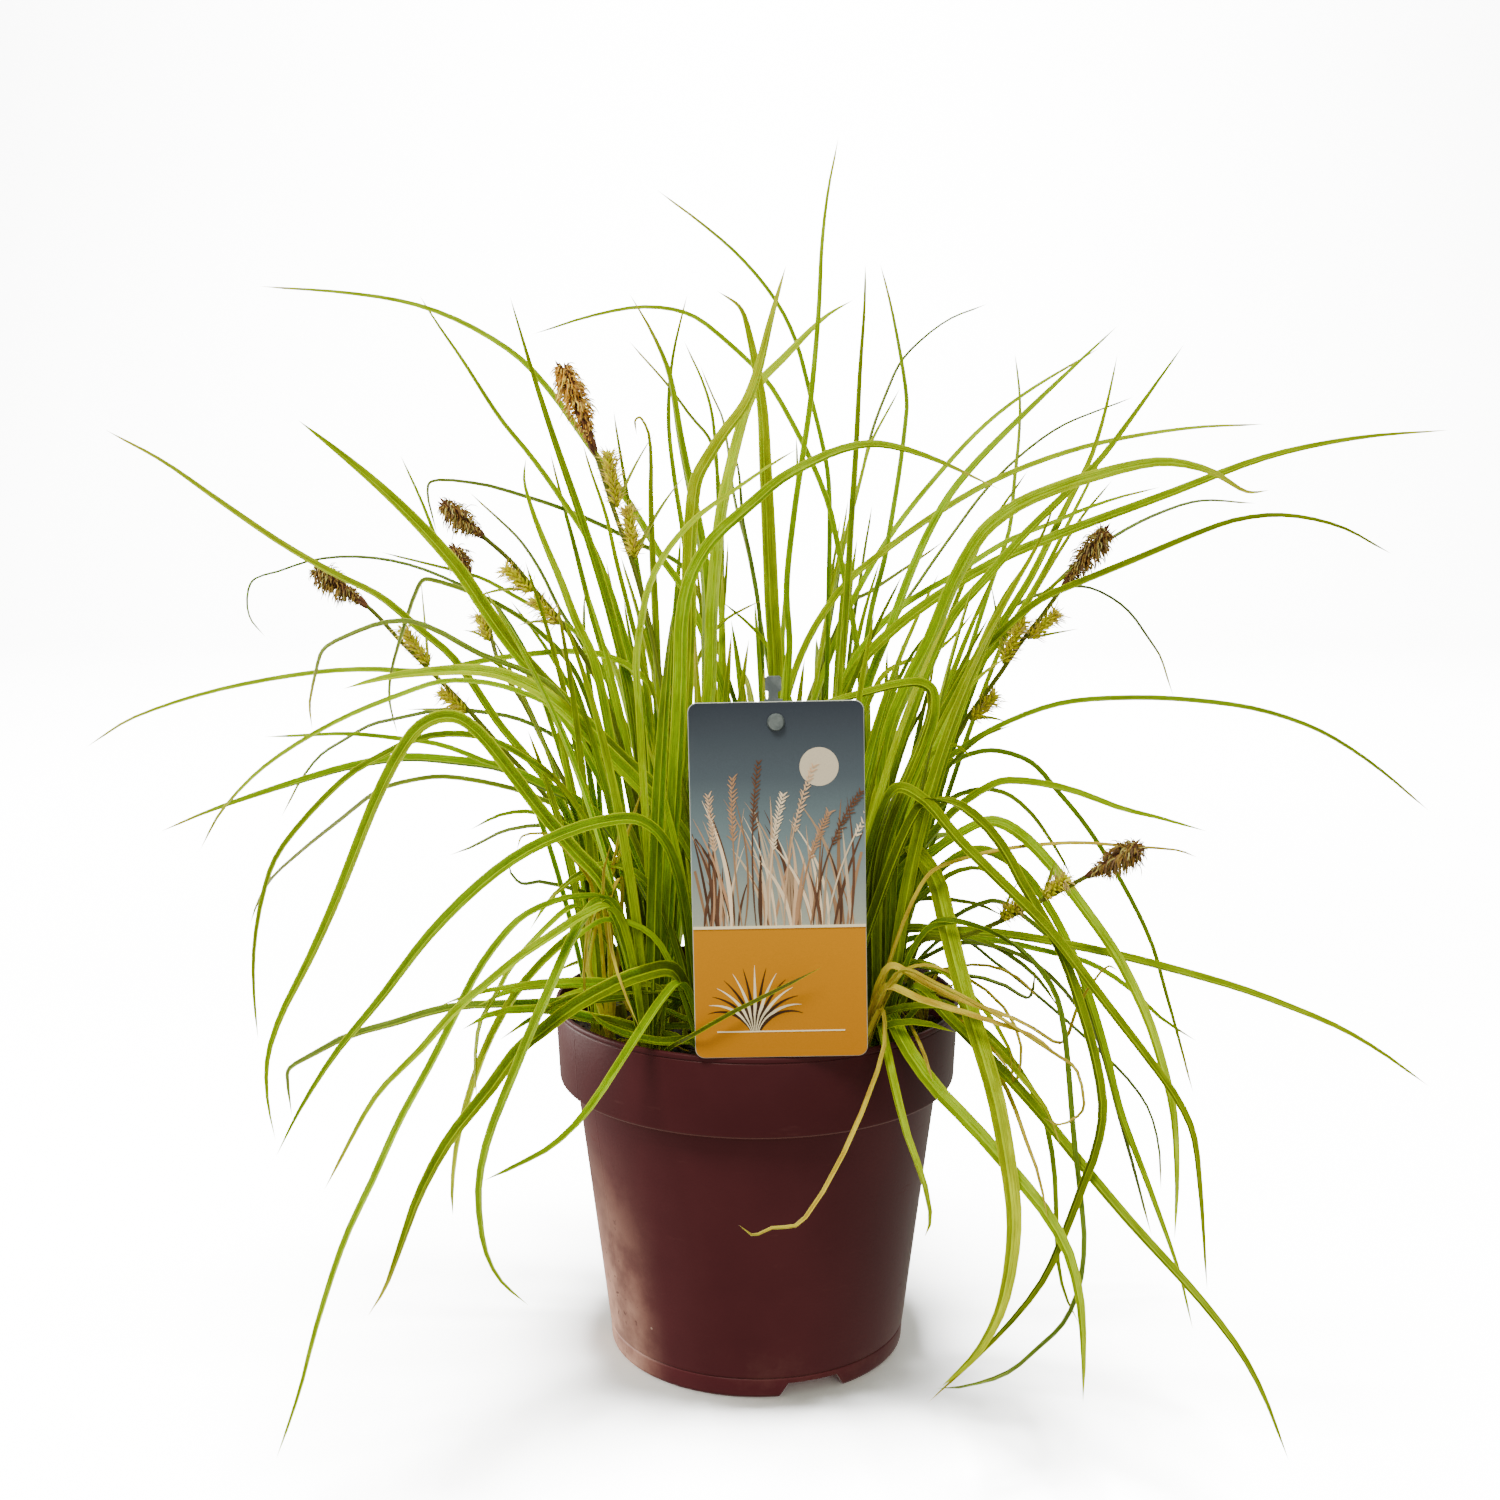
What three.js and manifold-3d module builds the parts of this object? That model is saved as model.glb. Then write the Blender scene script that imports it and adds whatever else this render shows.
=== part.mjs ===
// A tufted sedge with lime arching blades and bristly flower spikes, growing in a round
// plastic nursery pot with a plain card tag on a stake.  Millimetres, +Z up.  The origin is
// the centre of the pot's foot on the floor and the tag is on the -Y side.
import * as THREE from 'three';
import { mergeVertices } from 'three/addons/utils/BufferGeometryUtils.js';
import Module from 'manifold-3d';

const wasm = await Module();
wasm.setup();

// ---- Driving dimensions -------------------------------------------------------------------
const GAP = 0.3;                  // clearance between neighbouring pieces
const POT_HEIGHT = 124;
const RIM_RADIUS = 70;
const COLLAR_BOTTOM = 97.5;       // lower edge of the upright collar
const BODY_TOP_RADIUS = 63.1;     // the tapered body where it meets the collar's underside
const FOOT_RADIUS = 51.7;
const FOOT_HEIGHT = 6.9;
const WALL = 1.2;
const FLOOR_THICKNESS = 1.6;
const POT_SIDES = 33;
const NOTCH_COUNT = 3;
const NOTCH_BEARING = -68.5;      // degrees from +X to the notch at the front
const SOIL_LEVEL = 110;
const CROWN_BOTTOM = 99;          // depth to which the tillers' crowns are sunk
const CROWN_TOP = 117;
const CARD_WIDTH = 54;
const CARD_HEIGHT = 112;
const CARD_THICKNESS = 0.7;
const CARD_CORNER = 3;
const CARD_LEAN = 0.0192;         // radians, the card's top leans towards -X
const CARD_TILT = 0.0312;         // radians, the card's foot leans out over the rim
const PIN_PLACE = [5.8, -66, 230];
const PIN_DROP = 6.3;             // from the card's top edge to its hole
const PIN_RADIUS = 1.5;
const STAKE_WIDTH = 5.6;
const STAKE_THICKNESS = 1.4;
const STAKE_DEPTH = -64.2;
const STAKE_FOOT = 99;
const STAKE_TOP = 243.9;
const STEM_RADIUS = 1.3;
const STEM_FOOT = 99;
const BLADE_SCALE = 1 / 2.9;      // millimetres to a unit of the elevation sheet
const BLADE_GAP = 0.5;            // room kept between blades of different tillers
const FLOOR_ROOM = 3;             // least height of a hanging blade's centre line

// ---- Tillers: where each leafy shoot or tuft stands ---------------------------------------
const TILLERS = [
  ['tiller_front_1', 'green', -35, -40], ['tiller_front_2', 'green', -16, -41],
  ['tiller_front_3', 'green', 4, -39], ['tiller_front_4', 'green', 23, -40],
  ['tiller_front_5', 'green', 41, -38],
  ['tiller_left_1', 'green', -53, -14], ['yellow_tiller_left', 'yellow', -34, -14],
  ['tiller_inner_1', 'green', -15, -15], ['yellow_tiller_middle', 'yellow', 4, -13],
  ['tiller_inner_2', 'green', 23, -14], ['yellow_tiller_right', 'yellow', 42, -13],
  ['tiller_left_2', 'green', -51, 12], ['tiller_inner_3', 'green', -32, 12],
  ['tiller_inner_4', 'green', -13, 12], ['tiller_inner_5', 'green', 6, 12],
  ['tiller_inner_6', 'green', 25, 12], ['tiller_right_1', 'green', 44, 13],
  ['tiller_back_1', 'green', -34, 38], ['tiller_back_2', 'green', -15, 38],
  ['tiller_back_3', 'green', 4, 38], ['tiller_back_4', 'green', 23, 38],
  ['tiller_back_5', 'green', 40, 36],
  ['straw_tuft_left', 'straw', -49, -29], ['straw_tuft_front', 'straw', 33, -53],
  ['straw_tuft_right', 'straw', 57, -14],
];
const ROWS = { f: [-60, -30], m: [-30, 0], n: [0, 25], b: [25, 60] };
const COLOURS = { green: '#8fa81c', yellow: '#c9cc25', straw: '#c7a765' };
const CROWN_RADIUS = { green: 5.4, yellow: 5.4, straw: 2.8 };

// ---- The elevation sheet --------------------------------------------------------------------
// The front elevation is drawn in perspective from a station 650 in front of the pot and
// 318.5 up, on a sheet 1500 units square whose middle the station looks at.
const STATION = new THREE.Vector3(0, -650, 318.5);
const STATION_PITCH = 0.165;
const SHEET_FOCUS = 1929.4;
const SHEET_MIDDLE = [757, 750];

// Each blade: width on the sheet, depth (Y) of its tip, row of its tiller, tint, and the
// points of its centre line on the sheet from the tip towards the root.
const DRAWN_BLADES = [
  // left, high
  [6, 45, 'n', 'lime', [259, 286, 340, 292, 400, 301, 440, 313, 480, 332, 520, 359, 553, 395,
    585, 440, 610, 475, 640, 520, 663, 560, 690, 600]],
  [6, 70, 'n', 'lime', [419, 295, 440, 328, 460, 357, 500, 419, 530, 456, 560, 498, 600, 565]],
  [6, 25, 'm', 'yellow', [105, 430, 160, 460, 220, 502, 280, 543, 330, 572, 380, 597, 420, 630,
    450, 655, 470, 680, 500, 725, 530, 760, 560, 800]],
  [13, -30, 'm', 'yellow', [297, 420, 340, 454, 380, 488, 420, 527, 460, 573, 480, 603,
    510, 645, 540, 680, 580, 720, 620, 760, 660, 800]],
  [4, 60, 'b', 'grey', [437, 535, 427, 493, 430, 482, 480, 484, 520, 495, 560, 508, 600, 525,
    640, 545, 680, 565, 700, 600]],
  [2, 90, 'b', 'grey', [265, 637, 250, 620, 246, 600, 252, 580, 280, 570, 310, 560, 350, 556,
    400, 562, 450, 580, 500, 610]],
  [4, 80, 'b', 'olive', [380, 552, 440, 567, 480, 578, 520, 600, 560, 622, 590, 650]],
  [4, 10, 'n', 'grey', [398, 735, 390, 705, 390, 680, 397, 650, 405, 625, 415, 595, 424, 580,
    440, 582, 470, 592, 500, 605, 540, 632, 580, 680]],
  [5, -70, 'm', 'grey', [312, 730, 309, 705, 315, 675, 323, 650, 350, 635, 380, 624, 410, 622,
    440, 633, 480, 655, 520, 670, 560, 695]],
  [5, 12, 'n', 'lime', [85, 748, 124, 722, 167, 705, 215, 691, 268, 680, 325, 672, 370, 670,
    430, 672, 480, 662, 520, 656, 570, 652, 600, 655, 630, 668, 660, 700]],
  [12, -60, 'm', 'yellow', [342, 690, 383, 679, 430, 673, 478, 672, 517, 682, 555, 705,
    600, 750, 640, 790, 680, 835]],
  [4, -35, 'm', 'pale', [264, 737, 310, 735, 350, 734, 400, 739, 440, 745, 480, 760, 520, 780]],
  [4, -45, 'm', 'lime', [200, 850, 215, 820, 230, 800, 260, 770, 300, 742, 350, 715, 400, 695,
    440, 682, 480, 682, 520, 692, 560, 715]],
  [3, 55, 'n', 'grey', [281, 817, 300, 780, 320, 755, 340, 742, 370, 725, 400, 718, 440, 710,
    480, 712, 520, 720, 560, 740, 600, 770]],
  // left, low
  [9, -5, 'm', 'olive', [160, 832, 200, 815, 250, 797, 300, 781, 345, 768, 380, 761, 410, 758,
    450, 761, 500, 768, 540, 785, 600, 820]],
  [4, 50, 'n', 'grey', [250, 924, 256, 905, 270, 880, 300, 852, 340, 820, 380, 790, 415, 780,
    440, 777, 470, 780, 500, 786, 530, 795, 590, 830]],
  [5, -80, 'm', 'olive', [258, 1040, 254, 1000, 254, 950, 262, 900, 275, 860, 300, 825, 350, 775,
    380, 757, 410, 742, 440, 735, 480, 737, 520, 755, 570, 800]],
  [12, -105, 'f', 'pale', [276, 1141, 268, 1100, 268, 1060, 280, 1020, 310, 960, 335, 905,
    355, 855, 375, 805, 400, 755, 420, 728, 440, 717, 460, 717, 480, 730, 510, 765, 545, 810,
    580, 850, 610, 885]],
  [10, -125, 'f', 'lime', [276, 1157, 300, 1110, 335, 1055, 380, 1000, 430, 935, 480, 885,
    520, 855, 560, 835, 600, 822, 640, 820, 670, 850]],
  [6, -150, 'f', 'lime', [276, 1460, 300, 1390, 316, 1329, 345, 1240, 373, 1180, 400, 1120,
    430, 1065, 455, 1015, 475, 975, 495, 945, 520, 918, 550, 902, 580, 895, 610, 900]],
  [14, -152, 'f', 'olive', [368, 1317, 385, 1290, 400, 1250, 420, 1195, 450, 1140, 490, 1090,
    520, 1050, 545, 1030, 570, 1010, 600, 992, 640, 975, 675, 972]],
  [8, -135, 'f', 'lime', [528, 1305, 500, 1280, 485, 1250, 478, 1200, 480, 1170, 490, 1130,
    510, 1080, 530, 1030, 550, 985, 565, 950, 580, 920, 600, 900]],
  [7, -140, 'f', 'lime', [324, 1190, 345, 1150, 370, 1105, 385, 1085, 420, 1050, 455, 1010,
    490, 980, 520, 955, 550, 935, 580, 915, 610, 905]],
  [6, -110, 'm', 'yellow', [453, 1216, 452, 1190, 458, 1140, 468, 1100, 485, 1050, 505, 1010,
    530, 975, 560, 945, 590, 925]],
  [4, -95, 'm', 'lime', [478, 1100, 476, 1060, 482, 1020, 497, 995, 510, 970, 535, 940, 580, 905]],
  [8, -128, 'f', 'lime', [484, 1180, 520, 1163, 550, 1147, 575, 1125, 595, 1100, 617, 1066,
    640, 1030, 660, 1000, 680, 980]],
  [7, -90, 'f', 'grey', [292, 1118, 288, 1085, 289, 1070, 310, 1057, 345, 1038, 400, 1022,
    440, 1010, 470, 1006, 530, 1004, 600, 1000, 650, 1000]],
  [3, 20, 'n', 'grey', [450, 855, 475, 845, 500, 832, 520, 827, 545, 825, 575, 832, 605, 855]],
  [3, -20, 'm', 'grey', [508, 862, 512, 875, 522, 884, 540, 882, 560, 886, 585, 893, 610, 908]],
  [5, -80, 'f', 'lime', [440, 1006, 470, 995, 500, 989, 540, 983, 580, 981, 620, 983, 660, 990]],
  // upright, in the middle
  [5, 0, 'n', 'lime', [838, 138, 828, 190, 822, 245, 819, 310, 811, 400, 804, 450, 795, 510,
    787, 590, 790, 640, 788, 690]],
  [4, 60, 'b', 'lime', [657, 190, 700, 222, 740, 257, 775, 300, 795, 340, 811, 400, 821, 440,
    828, 480, 828, 600, 826, 690]],
  [12, -35, 'm', 'yellow', [786, 265, 772, 315, 757, 375, 745, 405, 725, 432, 710, 455, 697, 480,
    692, 520, 690, 560, 690, 640]],
  [13, -10, 'm', 'yellow', [717, 291, 740, 308, 750, 340, 757, 375, 762, 410, 765, 470, 768, 530,
    771, 600, 775, 680]],
  [11, 15, 'm', 'yellow', [853, 300, 825, 317, 780, 362, 762, 380, 748, 405, 735, 450, 728, 480,
    722, 510, 716, 560, 712, 620, 710, 690]],
  [5, 40, 'n', 'lime', [533, 334, 590, 316, 645, 307, 690, 315, 730, 345, 767, 382, 790, 420,
    810, 460, 828, 505, 838, 550, 846, 590, 858, 660]],
  [13, 0, 'n', 'olive', [629, 294, 650, 330, 668, 372, 680, 440, 690, 490, 700, 540, 706, 600,
    706, 690]],
  [5, 60, 'b', 'lime', [687, 295, 672, 360, 668, 420, 674, 480, 682, 530, 690, 600]],
  [9, 15, 'n', 'olive', [509, 296, 530, 368, 553, 440, 577, 510, 590, 550, 605, 600, 618, 650,
    630, 700]],
  [3, 90, 'b', 'olive', [629, 341, 668, 385, 690, 415, 710, 440, 718, 480, 722, 540]],
  [4, 75, 'b', 'lime', [682, 341, 700, 380, 709, 410, 714, 460, 716, 520, 718, 600]],
  [2, 100, 'b', 'grey', [700, 365, 715, 400, 722, 415, 727, 440, 735, 500, 750, 560]],
  [7, -25, 'm', 'lime', [637, 435, 635, 420, 640, 417, 648, 430, 651, 450, 651, 500, 653, 560,
    656, 620, 660, 700]],
  [5, 30, 'n', 'lime', [614, 411, 620, 450, 628, 500, 636, 560, 646, 620, 655, 690]],
  [5, 45, 'n', 'pale', [582, 443, 590, 470, 605, 515, 615, 560, 630, 620, 645, 690]],
  [7, -15, 'm', 'yellow', [526, 458, 524, 480, 530, 505, 545, 545, 560, 580, 575, 620, 595, 665]],
  [6, 70, 'b', 'olive', [550, 452, 563, 505, 575, 550, 590, 610, 605, 665]],
  [3, 85, 'b', 'grey', [469, 492, 500, 520, 520, 540, 540, 570, 560, 610, 585, 650]],
  [6, -45, 'f', 'pale', [797, 449, 775, 462, 735, 490, 700, 515, 680, 535, 665, 555, 650, 585,
    643, 615, 637, 660, 640, 710]],
  [14, -50, 'f', 'lime', [1001, 490, 975, 478, 941, 462, 900, 448, 870, 444, 840, 450, 810, 463,
    780, 480, 745, 510, 722, 530, 705, 550, 690, 580, 682, 620, 680, 690]],
  [4, 65, 'b', 'grey', [730, 440, 738, 470, 742, 520, 750, 560, 758, 610, 762, 690]],
  [4, 85, 'b', 'olive', [796, 435, 797, 480, 792, 540, 784, 620, 782, 690]],
  // right, high
  [6, 5, 'n', 'olive', [865, 264, 864, 311, 860, 373, 856, 454, 851, 530, 847, 600, 842, 660,
    836, 710]],
  [5, 35, 'b', 'lime', [880, 264, 893, 316, 907, 400, 906, 420, 900, 470, 892, 520, 885, 560,
    872, 610, 862, 680]],
  [2, 110, 'b', 'grey', [987, 304, 950, 318, 920, 340, 900, 362, 885, 395, 872, 430, 860, 480,
    845, 540]],
  [4, 75, 'b', 'pale', [900, 388, 885, 415, 870, 445, 858, 490, 840, 560, 825, 630]],
  [8, 20, 'n', 'lime', [1117, 326, 1085, 356, 1047, 392, 1008, 430, 975, 464, 950, 495, 930, 530,
    910, 575, 890, 630, 870, 680]],
  [5, 65, 'b', 'lime', [1099, 348, 1023, 395, 980, 430, 930, 485, 895, 530, 870, 570, 845, 620]],
  [4, 90, 'b', 'olive', [1015, 354, 1020, 400, 1019, 440, 1015, 480, 1010, 530, 990, 590]],
  [8, 35, 'n', 'olive', [1117, 355, 1104, 416, 1090, 460, 1070, 500, 1050, 540, 1030, 580,
    1005, 620, 970, 680, 935, 745, 905, 810]],
  [9, 0, 'm', 'lime', [1184, 344, 1133, 416, 1100, 460, 1060, 500, 1020, 540, 990, 575, 955, 615,
    935, 655, 915, 710, 895, 770, 880, 830]],
  [2, 115, 'b', 'grey', [1133, 397, 1100, 409, 1060, 426, 1020, 455, 985, 490, 955, 530,
    920, 580, 895, 620]],
  [6, 50, 'n', 'pale', [1264, 424, 1190, 428, 1085, 447, 1000, 478, 940, 512, 880, 555, 850, 580,
    820, 620, 800, 660, 785, 710]],
  [10, 12, 'n', 'olive', [1449, 430, 1357, 438, 1267, 457, 1166, 495, 1056, 536, 1000, 560,
    956, 585, 900, 625, 860, 665, 835, 710]],
  [12, -30, 'm', 'yellow', [1269, 490, 1247, 492, 1209, 471, 1161, 462, 1094, 476, 1060, 487,
    1018, 505, 985, 530, 965, 560, 950, 590, 930, 640, 905, 690, 885, 750]],
  [3, 95, 'b', 'grey', [1255, 503, 1200, 500, 1160, 512, 1120, 532, 1080, 560, 1040, 598,
    1000, 640, 960, 700]],
  [6, -15, 'm', 'olive', [1391, 554, 1338, 526, 1281, 515, 1235, 520, 1200, 532, 1133, 560,
    1080, 582, 1040, 600, 1010, 625, 975, 660, 940, 720, 910, 780]],
  [2, 80, 'b', 'grey', [1173, 696, 1160, 655, 1150, 640, 1130, 612, 1110, 596, 1085, 586,
    1050, 590, 1000, 620]],
  [12, -55, 'f', 'olive', [845, 699, 870, 692, 900, 684, 920, 683, 930, 688, 932, 705, 922, 740,
    905, 780, 885, 830, 875, 880]],
  [4, -20, 'm', 'olive', [1428, 810, 1386, 774, 1350, 748, 1314, 728, 1260, 710, 1200, 701,
    1133, 698, 1060, 704, 1000, 726, 960, 750, 920, 790]],
  // right, low
  [4, 30, 'n', 'olive', [1193, 1092, 1182, 1050, 1165, 990, 1150, 940, 1120, 880, 1085, 825,
    1056, 790, 1030, 762, 1000, 751, 980, 751, 955, 760, 925, 785]],
  [9, -100, 'f', 'olive', [1207, 1288, 1203, 1230, 1200, 1190, 1192, 1130, 1175, 1095, 1150, 1060,
    1100, 995, 1050, 930, 1000, 880, 960, 840, 925, 800, 900, 790, 880, 830]],
  [8, -90, 'm', 'yellow', [1174, 1238, 1176, 1180, 1172, 1110, 1160, 1060, 1145, 1015, 1115, 955,
    1080, 905, 1045, 860, 1020, 835, 1000, 823, 985, 821, 960, 832, 930, 852, 900, 880]],
  [7, -45, 'm', 'pale', [1207, 831, 1160, 818, 1120, 808, 1080, 793, 1050, 785, 1020, 781,
    1000, 782, 975, 795, 950, 815, 920, 850, 890, 885]],
  [16, -125, 'm', 'yellow', [941, 1387, 975, 1355, 1000, 1310, 1012, 1250, 1013, 1209, 1005, 1150,
    994, 1094, 975, 1030, 960, 980, 945, 920, 935, 880, 918, 855, 905, 846, 893, 850, 880, 868]],
  [9, -110, 'f', 'olive', [927, 1403, 975, 1358, 1020, 1310, 1045, 1275, 1065, 1230, 1080, 1190,
    1095, 1150, 1102, 1110, 1095, 1060, 1078, 1000, 1060, 950, 1035, 905, 1020, 880, 1003, 848,
    980, 820, 950, 800, 925, 800, 905, 830]],
  [14, -130, 'f', 'lime', [1077, 1410, 1077, 1370, 1074, 1320, 1068, 1290, 1058, 1262, 1032, 1223,
    1000, 1190, 960, 1150, 920, 1115, 895, 1085, 882, 1060, 876, 1035]],
  [9, -152, 'f', 'lime', [1289, 1459, 1262, 1390, 1240, 1350, 1210, 1310, 1180, 1275, 1130, 1220,
    1080, 1160, 1040, 1110, 1000, 1065, 975, 1040, 950, 1015, 915, 985]],
  [7, -60, 'f', 'olive', [1428, 1086, 1380, 1052, 1338, 1028, 1290, 1008, 1240, 990, 1180, 973,
    1120, 958, 1060, 946, 1000, 937, 940, 934, 900, 936]],
  [5, -35, 'm', 'olive', [1197, 1042, 1160, 1018, 1130, 990, 1090, 965, 1040, 952, 1000, 944,
    950, 940, 900, 945]],
  [7, -65, 'm', 'lime', [1193, 1329, 1180, 1275, 1150, 1190, 1120, 1110, 1105, 1050, 1090, 1000,
    1075, 960, 1050, 910, 1020, 870, 980, 850, 940, 870]],
  [3, -50, 'm', 'grey', [1152, 1235, 1135, 1170, 1118, 1110, 1105, 1060, 1085, 1000, 1060, 950,
    1030, 920, 990, 900]],
  [4, -120, 'f', 'grey', [938, 1387, 975, 1383, 1010, 1370, 1040, 1345, 1065, 1320, 1080, 1285,
    1085, 1240, 1082, 1200, 1075, 1140, 1070, 1080, 1065, 1030, 1055, 990, 1025, 950, 980, 925,
    930, 925]],
  [4, -85, 'f', 'olive', [1079, 1324, 1065, 1295, 1058, 1265, 1055, 1200, 1052, 1160, 1040, 1110,
    1010, 1060, 975, 1025, 930, 1000]],
  [2, 30, 'n', 'grey', [1161, 1190, 1160, 1150, 1150, 1110, 1130, 1080, 1100, 1050, 1050, 1005,
    1000, 965, 950, 935]],
  [8, -120, 'f', 'lime', [918, 1252, 923, 1238, 915, 1200, 898, 1161, 885, 1120, 875, 1080,
    871, 1045]],
  [4, -5, 'm', 'olive', [1073, 880, 1062, 858, 1048, 836, 1030, 812, 1005, 793, 975, 790, 935, 812]],
  [3, -60, 'm', 'grey', [1036, 968, 1028, 997, 1005, 985, 985, 978, 960, 974, 930, 972, 905, 985]],
  [4, -25, 'm', 'olive', [1005, 918, 980, 906, 950, 901, 920, 900, 900, 905, 885, 920]],
  // low over the compost and the rim
  [9, -42, 'f', 'lime', [553, 1016, 575, 1015, 600, 1019, 625, 1026, 650, 1034, 676, 1040]],
  [7, -56, 'f', 'olive', [588, 1016, 605, 1031, 630, 1041, 660, 1046, 692, 1044]],
  [6, -22, 'm', 'lime', [548, 1004, 570, 995, 595, 990, 625, 992, 655, 998, 692, 1002]],
  [5, -8, 'm', 'olive', [552, 975, 580, 963, 610, 958, 645, 961, 680, 972]],
  [5, -38, 'm', 'yellow', [642, 998, 660, 1008, 680, 1018, 704, 1026]],
  [7, 8, 'm', 'olive', [956, 1018, 925, 1022, 895, 1026, 860, 1028]],
  [6, 4, 'n', 'olive', [948, 1006, 915, 1008, 885, 1010, 855, 1012]],
  [4, 30, 'n', 'olive', [955, 986, 925, 978, 895, 972, 862, 968]],
  // straw and dead blades
  [5, -30, 'm', 'straw', [1197, 856, 1180, 849, 1133, 845, 1080, 841, 1040, 843, 1000, 848,
    960, 858, 925, 875]],
  [4, -100, 'm', 'straw', [1043, 1117, 1060, 1125, 1083, 1110, 1082, 1085, 1074, 1066, 1050, 1050,
    1020, 1030, 980, 1005, 940, 985, 900, 970]],
  [4, -75, 'm', 'straw', [1118, 970, 1108, 965, 1080, 1000, 1060, 1042, 1020, 1020, 970, 1005,
    920, 990]],
  [8, -95, 'm', 'straw', [1040, 1228, 1030, 1180, 1015, 1140, 1000, 1100, 975, 1060, 945, 1020,
    905, 1000]],
  [6, -78, 'm', 'straw', [1012, 1078, 990, 1050, 970, 1030, 950, 1015, 930, 1000, 905, 978]],
  [7, -116, 'f', 'straw', [738, 1233, 755, 1244, 774, 1238, 798, 1238, 831, 1195, 872, 1109,
    884, 1070, 880, 1045]],
  [4, -93, 'f', 'straw', [931, 1085, 922, 1055, 908, 1025, 895, 1005]],
  [6, -62, 'm', 'straw', [592, 1010, 585, 985, 586, 960, 590, 930, 597, 905, 608, 885]],
  [5, -70, 'm', 'straw', [638, 1030, 625, 1000, 612, 960, 607, 925, 609, 895, 618, 880]],
  [5, -50, 'm', 'straw', [645, 788, 636, 815, 628, 840, 616, 870, 612, 900]],
  [4, -55, 'm', 'straw', [517, 850, 522, 836, 545, 833, 560, 843, 575, 860, 592, 885]],
];

// Flower stems: depth of the tip, foot in plan, centre line on the sheet from the top down,
// length of the top spike, then the lower spikelets as [place along the stem from the top,
// length, side].
const FLOWER_STEMS = [
  [40, [-42, 25], [316, 570, 345, 590, 372, 610, 400, 640, 420, 660, 460, 700, 500, 745, 560, 815],
    27, [[44, 17, -1], [68, 12, 1]]],
  [-8, [-25, -2], [445, 505, 465, 522, 485, 538, 510, 560, 535, 590, 560, 620, 580, 650, 610, 710],
    20, [[34, 12, 1], [48, 12, 1]]],
  [65, [-24, 25], [452, 550, 462, 562, 472, 578, 487, 620, 500, 665, 525, 705, 545, 745, 575, 800],
    14, [[32, 10, 1]]],
  [-20, [-5, -28], [563, 368, 580, 410, 597, 455, 615, 510, 633, 560, 645, 600, 655, 640, 665, 690,
    675, 740], 34, [[38, 18, -1], [56, 17, -1]]],
  [-12, [33, 0], [1106, 533, 1085, 560, 1061, 591, 1040, 620, 1020, 645, 1000, 675, 985, 695,
    960, 730, 930, 785], 27, [[36, 13, -1], [46, 16, 1], [70, 12, -1]]],
  [-80, [52, -27], [1137, 846, 1110, 862, 1080, 879, 1050, 895, 1030, 905, 1000, 920, 960, 935,
    920, 940], 25, [[32, 11, 1], [50, 10, 1]]],
];

// ---- Seeded draws -----------------------------------------------------------------------------
function seededDraw(seed) {
  let state = seed;
  return () => {
    state = (state * 16807) % 2147483647;
    return state / 2147483647;
  };
}

// ---- Elevation sheet to space ----------------------------------------------------------------
function fromSheet(across, down, depth) {
  const right = (across - SHEET_MIDDLE[0]) / SHEET_FOCUS;
  const up = (SHEET_MIDDLE[1] - down) / SHEET_FOCUS;
  const cos = Math.cos(STATION_PITCH);
  const sin = Math.sin(STATION_PITCH);
  const reach = (depth - STATION.y) / (cos + up * sin);
  return new THREE.Vector3(reach * right, depth, STATION.z + reach * (up * cos - sin));
}

// ---- Smooth curve through hand-placed points ---------------------------------------------------
function smoothPath(points, steps) {
  const knots = [0];
  for (let i = 1; i < points.length; i += 1) {
    knots.push(knots[i - 1] + Math.sqrt(points[i].distanceTo(points[i - 1])));
  }
  const tangents = points.map((point, i) => pathTangent(points, knots, i));
  const path = [points[0].clone()];
  for (let i = 0; i + 1 < points.length; i += 1) {
    const span = knots[i + 1] - knots[i];
    for (let step = 1; step <= steps; step += 1) {
      const u = step / steps;
      const point = new THREE.Vector3();
      point.addScaledVector(points[i], 2 * u * u * u - 3 * u * u + 1);
      point.addScaledVector(tangents[i], (u * u * u - 2 * u * u + u) * span);
      point.addScaledVector(points[i + 1], 3 * u * u - 2 * u * u * u);
      point.addScaledVector(tangents[i + 1], (u * u * u - u * u) * span);
      path.push(point);
    }
  }
  return path;
}

function pathTangent(points, knots, i) {
  const last = points.length - 1;
  if (i === 0) {
    return points[1].clone().sub(points[0]).divideScalar(knots[1] - knots[0]);
  }
  if (i === last) {
    return points[last].clone().sub(points[last - 1]).divideScalar(knots[last] - knots[last - 1]);
  }
  const before = points[i].clone().sub(points[i - 1]).divideScalar(knots[i] - knots[i - 1]);
  const after = points[i + 1].clone().sub(points[i]).divideScalar(knots[i + 1] - knots[i]);
  const across = points[i + 1].clone().sub(points[i - 1]);
  across.divideScalar(knots[i + 1] - knots[i - 1]);
  return before.add(after).sub(across);
}

// Stations along a path, closer together where it bends.
function stations(path, count) {
  const weight = [0];
  for (let i = 1; i < path.length; i += 1) {
    const step = path[i].clone().sub(path[i - 1]);
    let turn = 0;
    if (i > 1) {
      const previous = path[i - 1].clone().sub(path[i - 2]);
      turn = step.angleTo(previous);
    }
    weight.push(weight[i - 1] + step.length() + 30 * turn);
  }
  const total = weight[weight.length - 1];
  const chosen = [path[0].clone()];
  let index = 1;
  for (let k = 1; k < count - 1; k += 1) {
    const target = total * k / (count - 1);
    while (weight[index] < target) {
      index += 1;
    }
    const u = (target - weight[index - 1]) / (weight[index] - weight[index - 1]);
    chosen.push(path[index - 1].clone().lerp(path[index], u));
  }
  chosen.push(path[path.length - 1].clone());
  return chosen;
}

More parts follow.
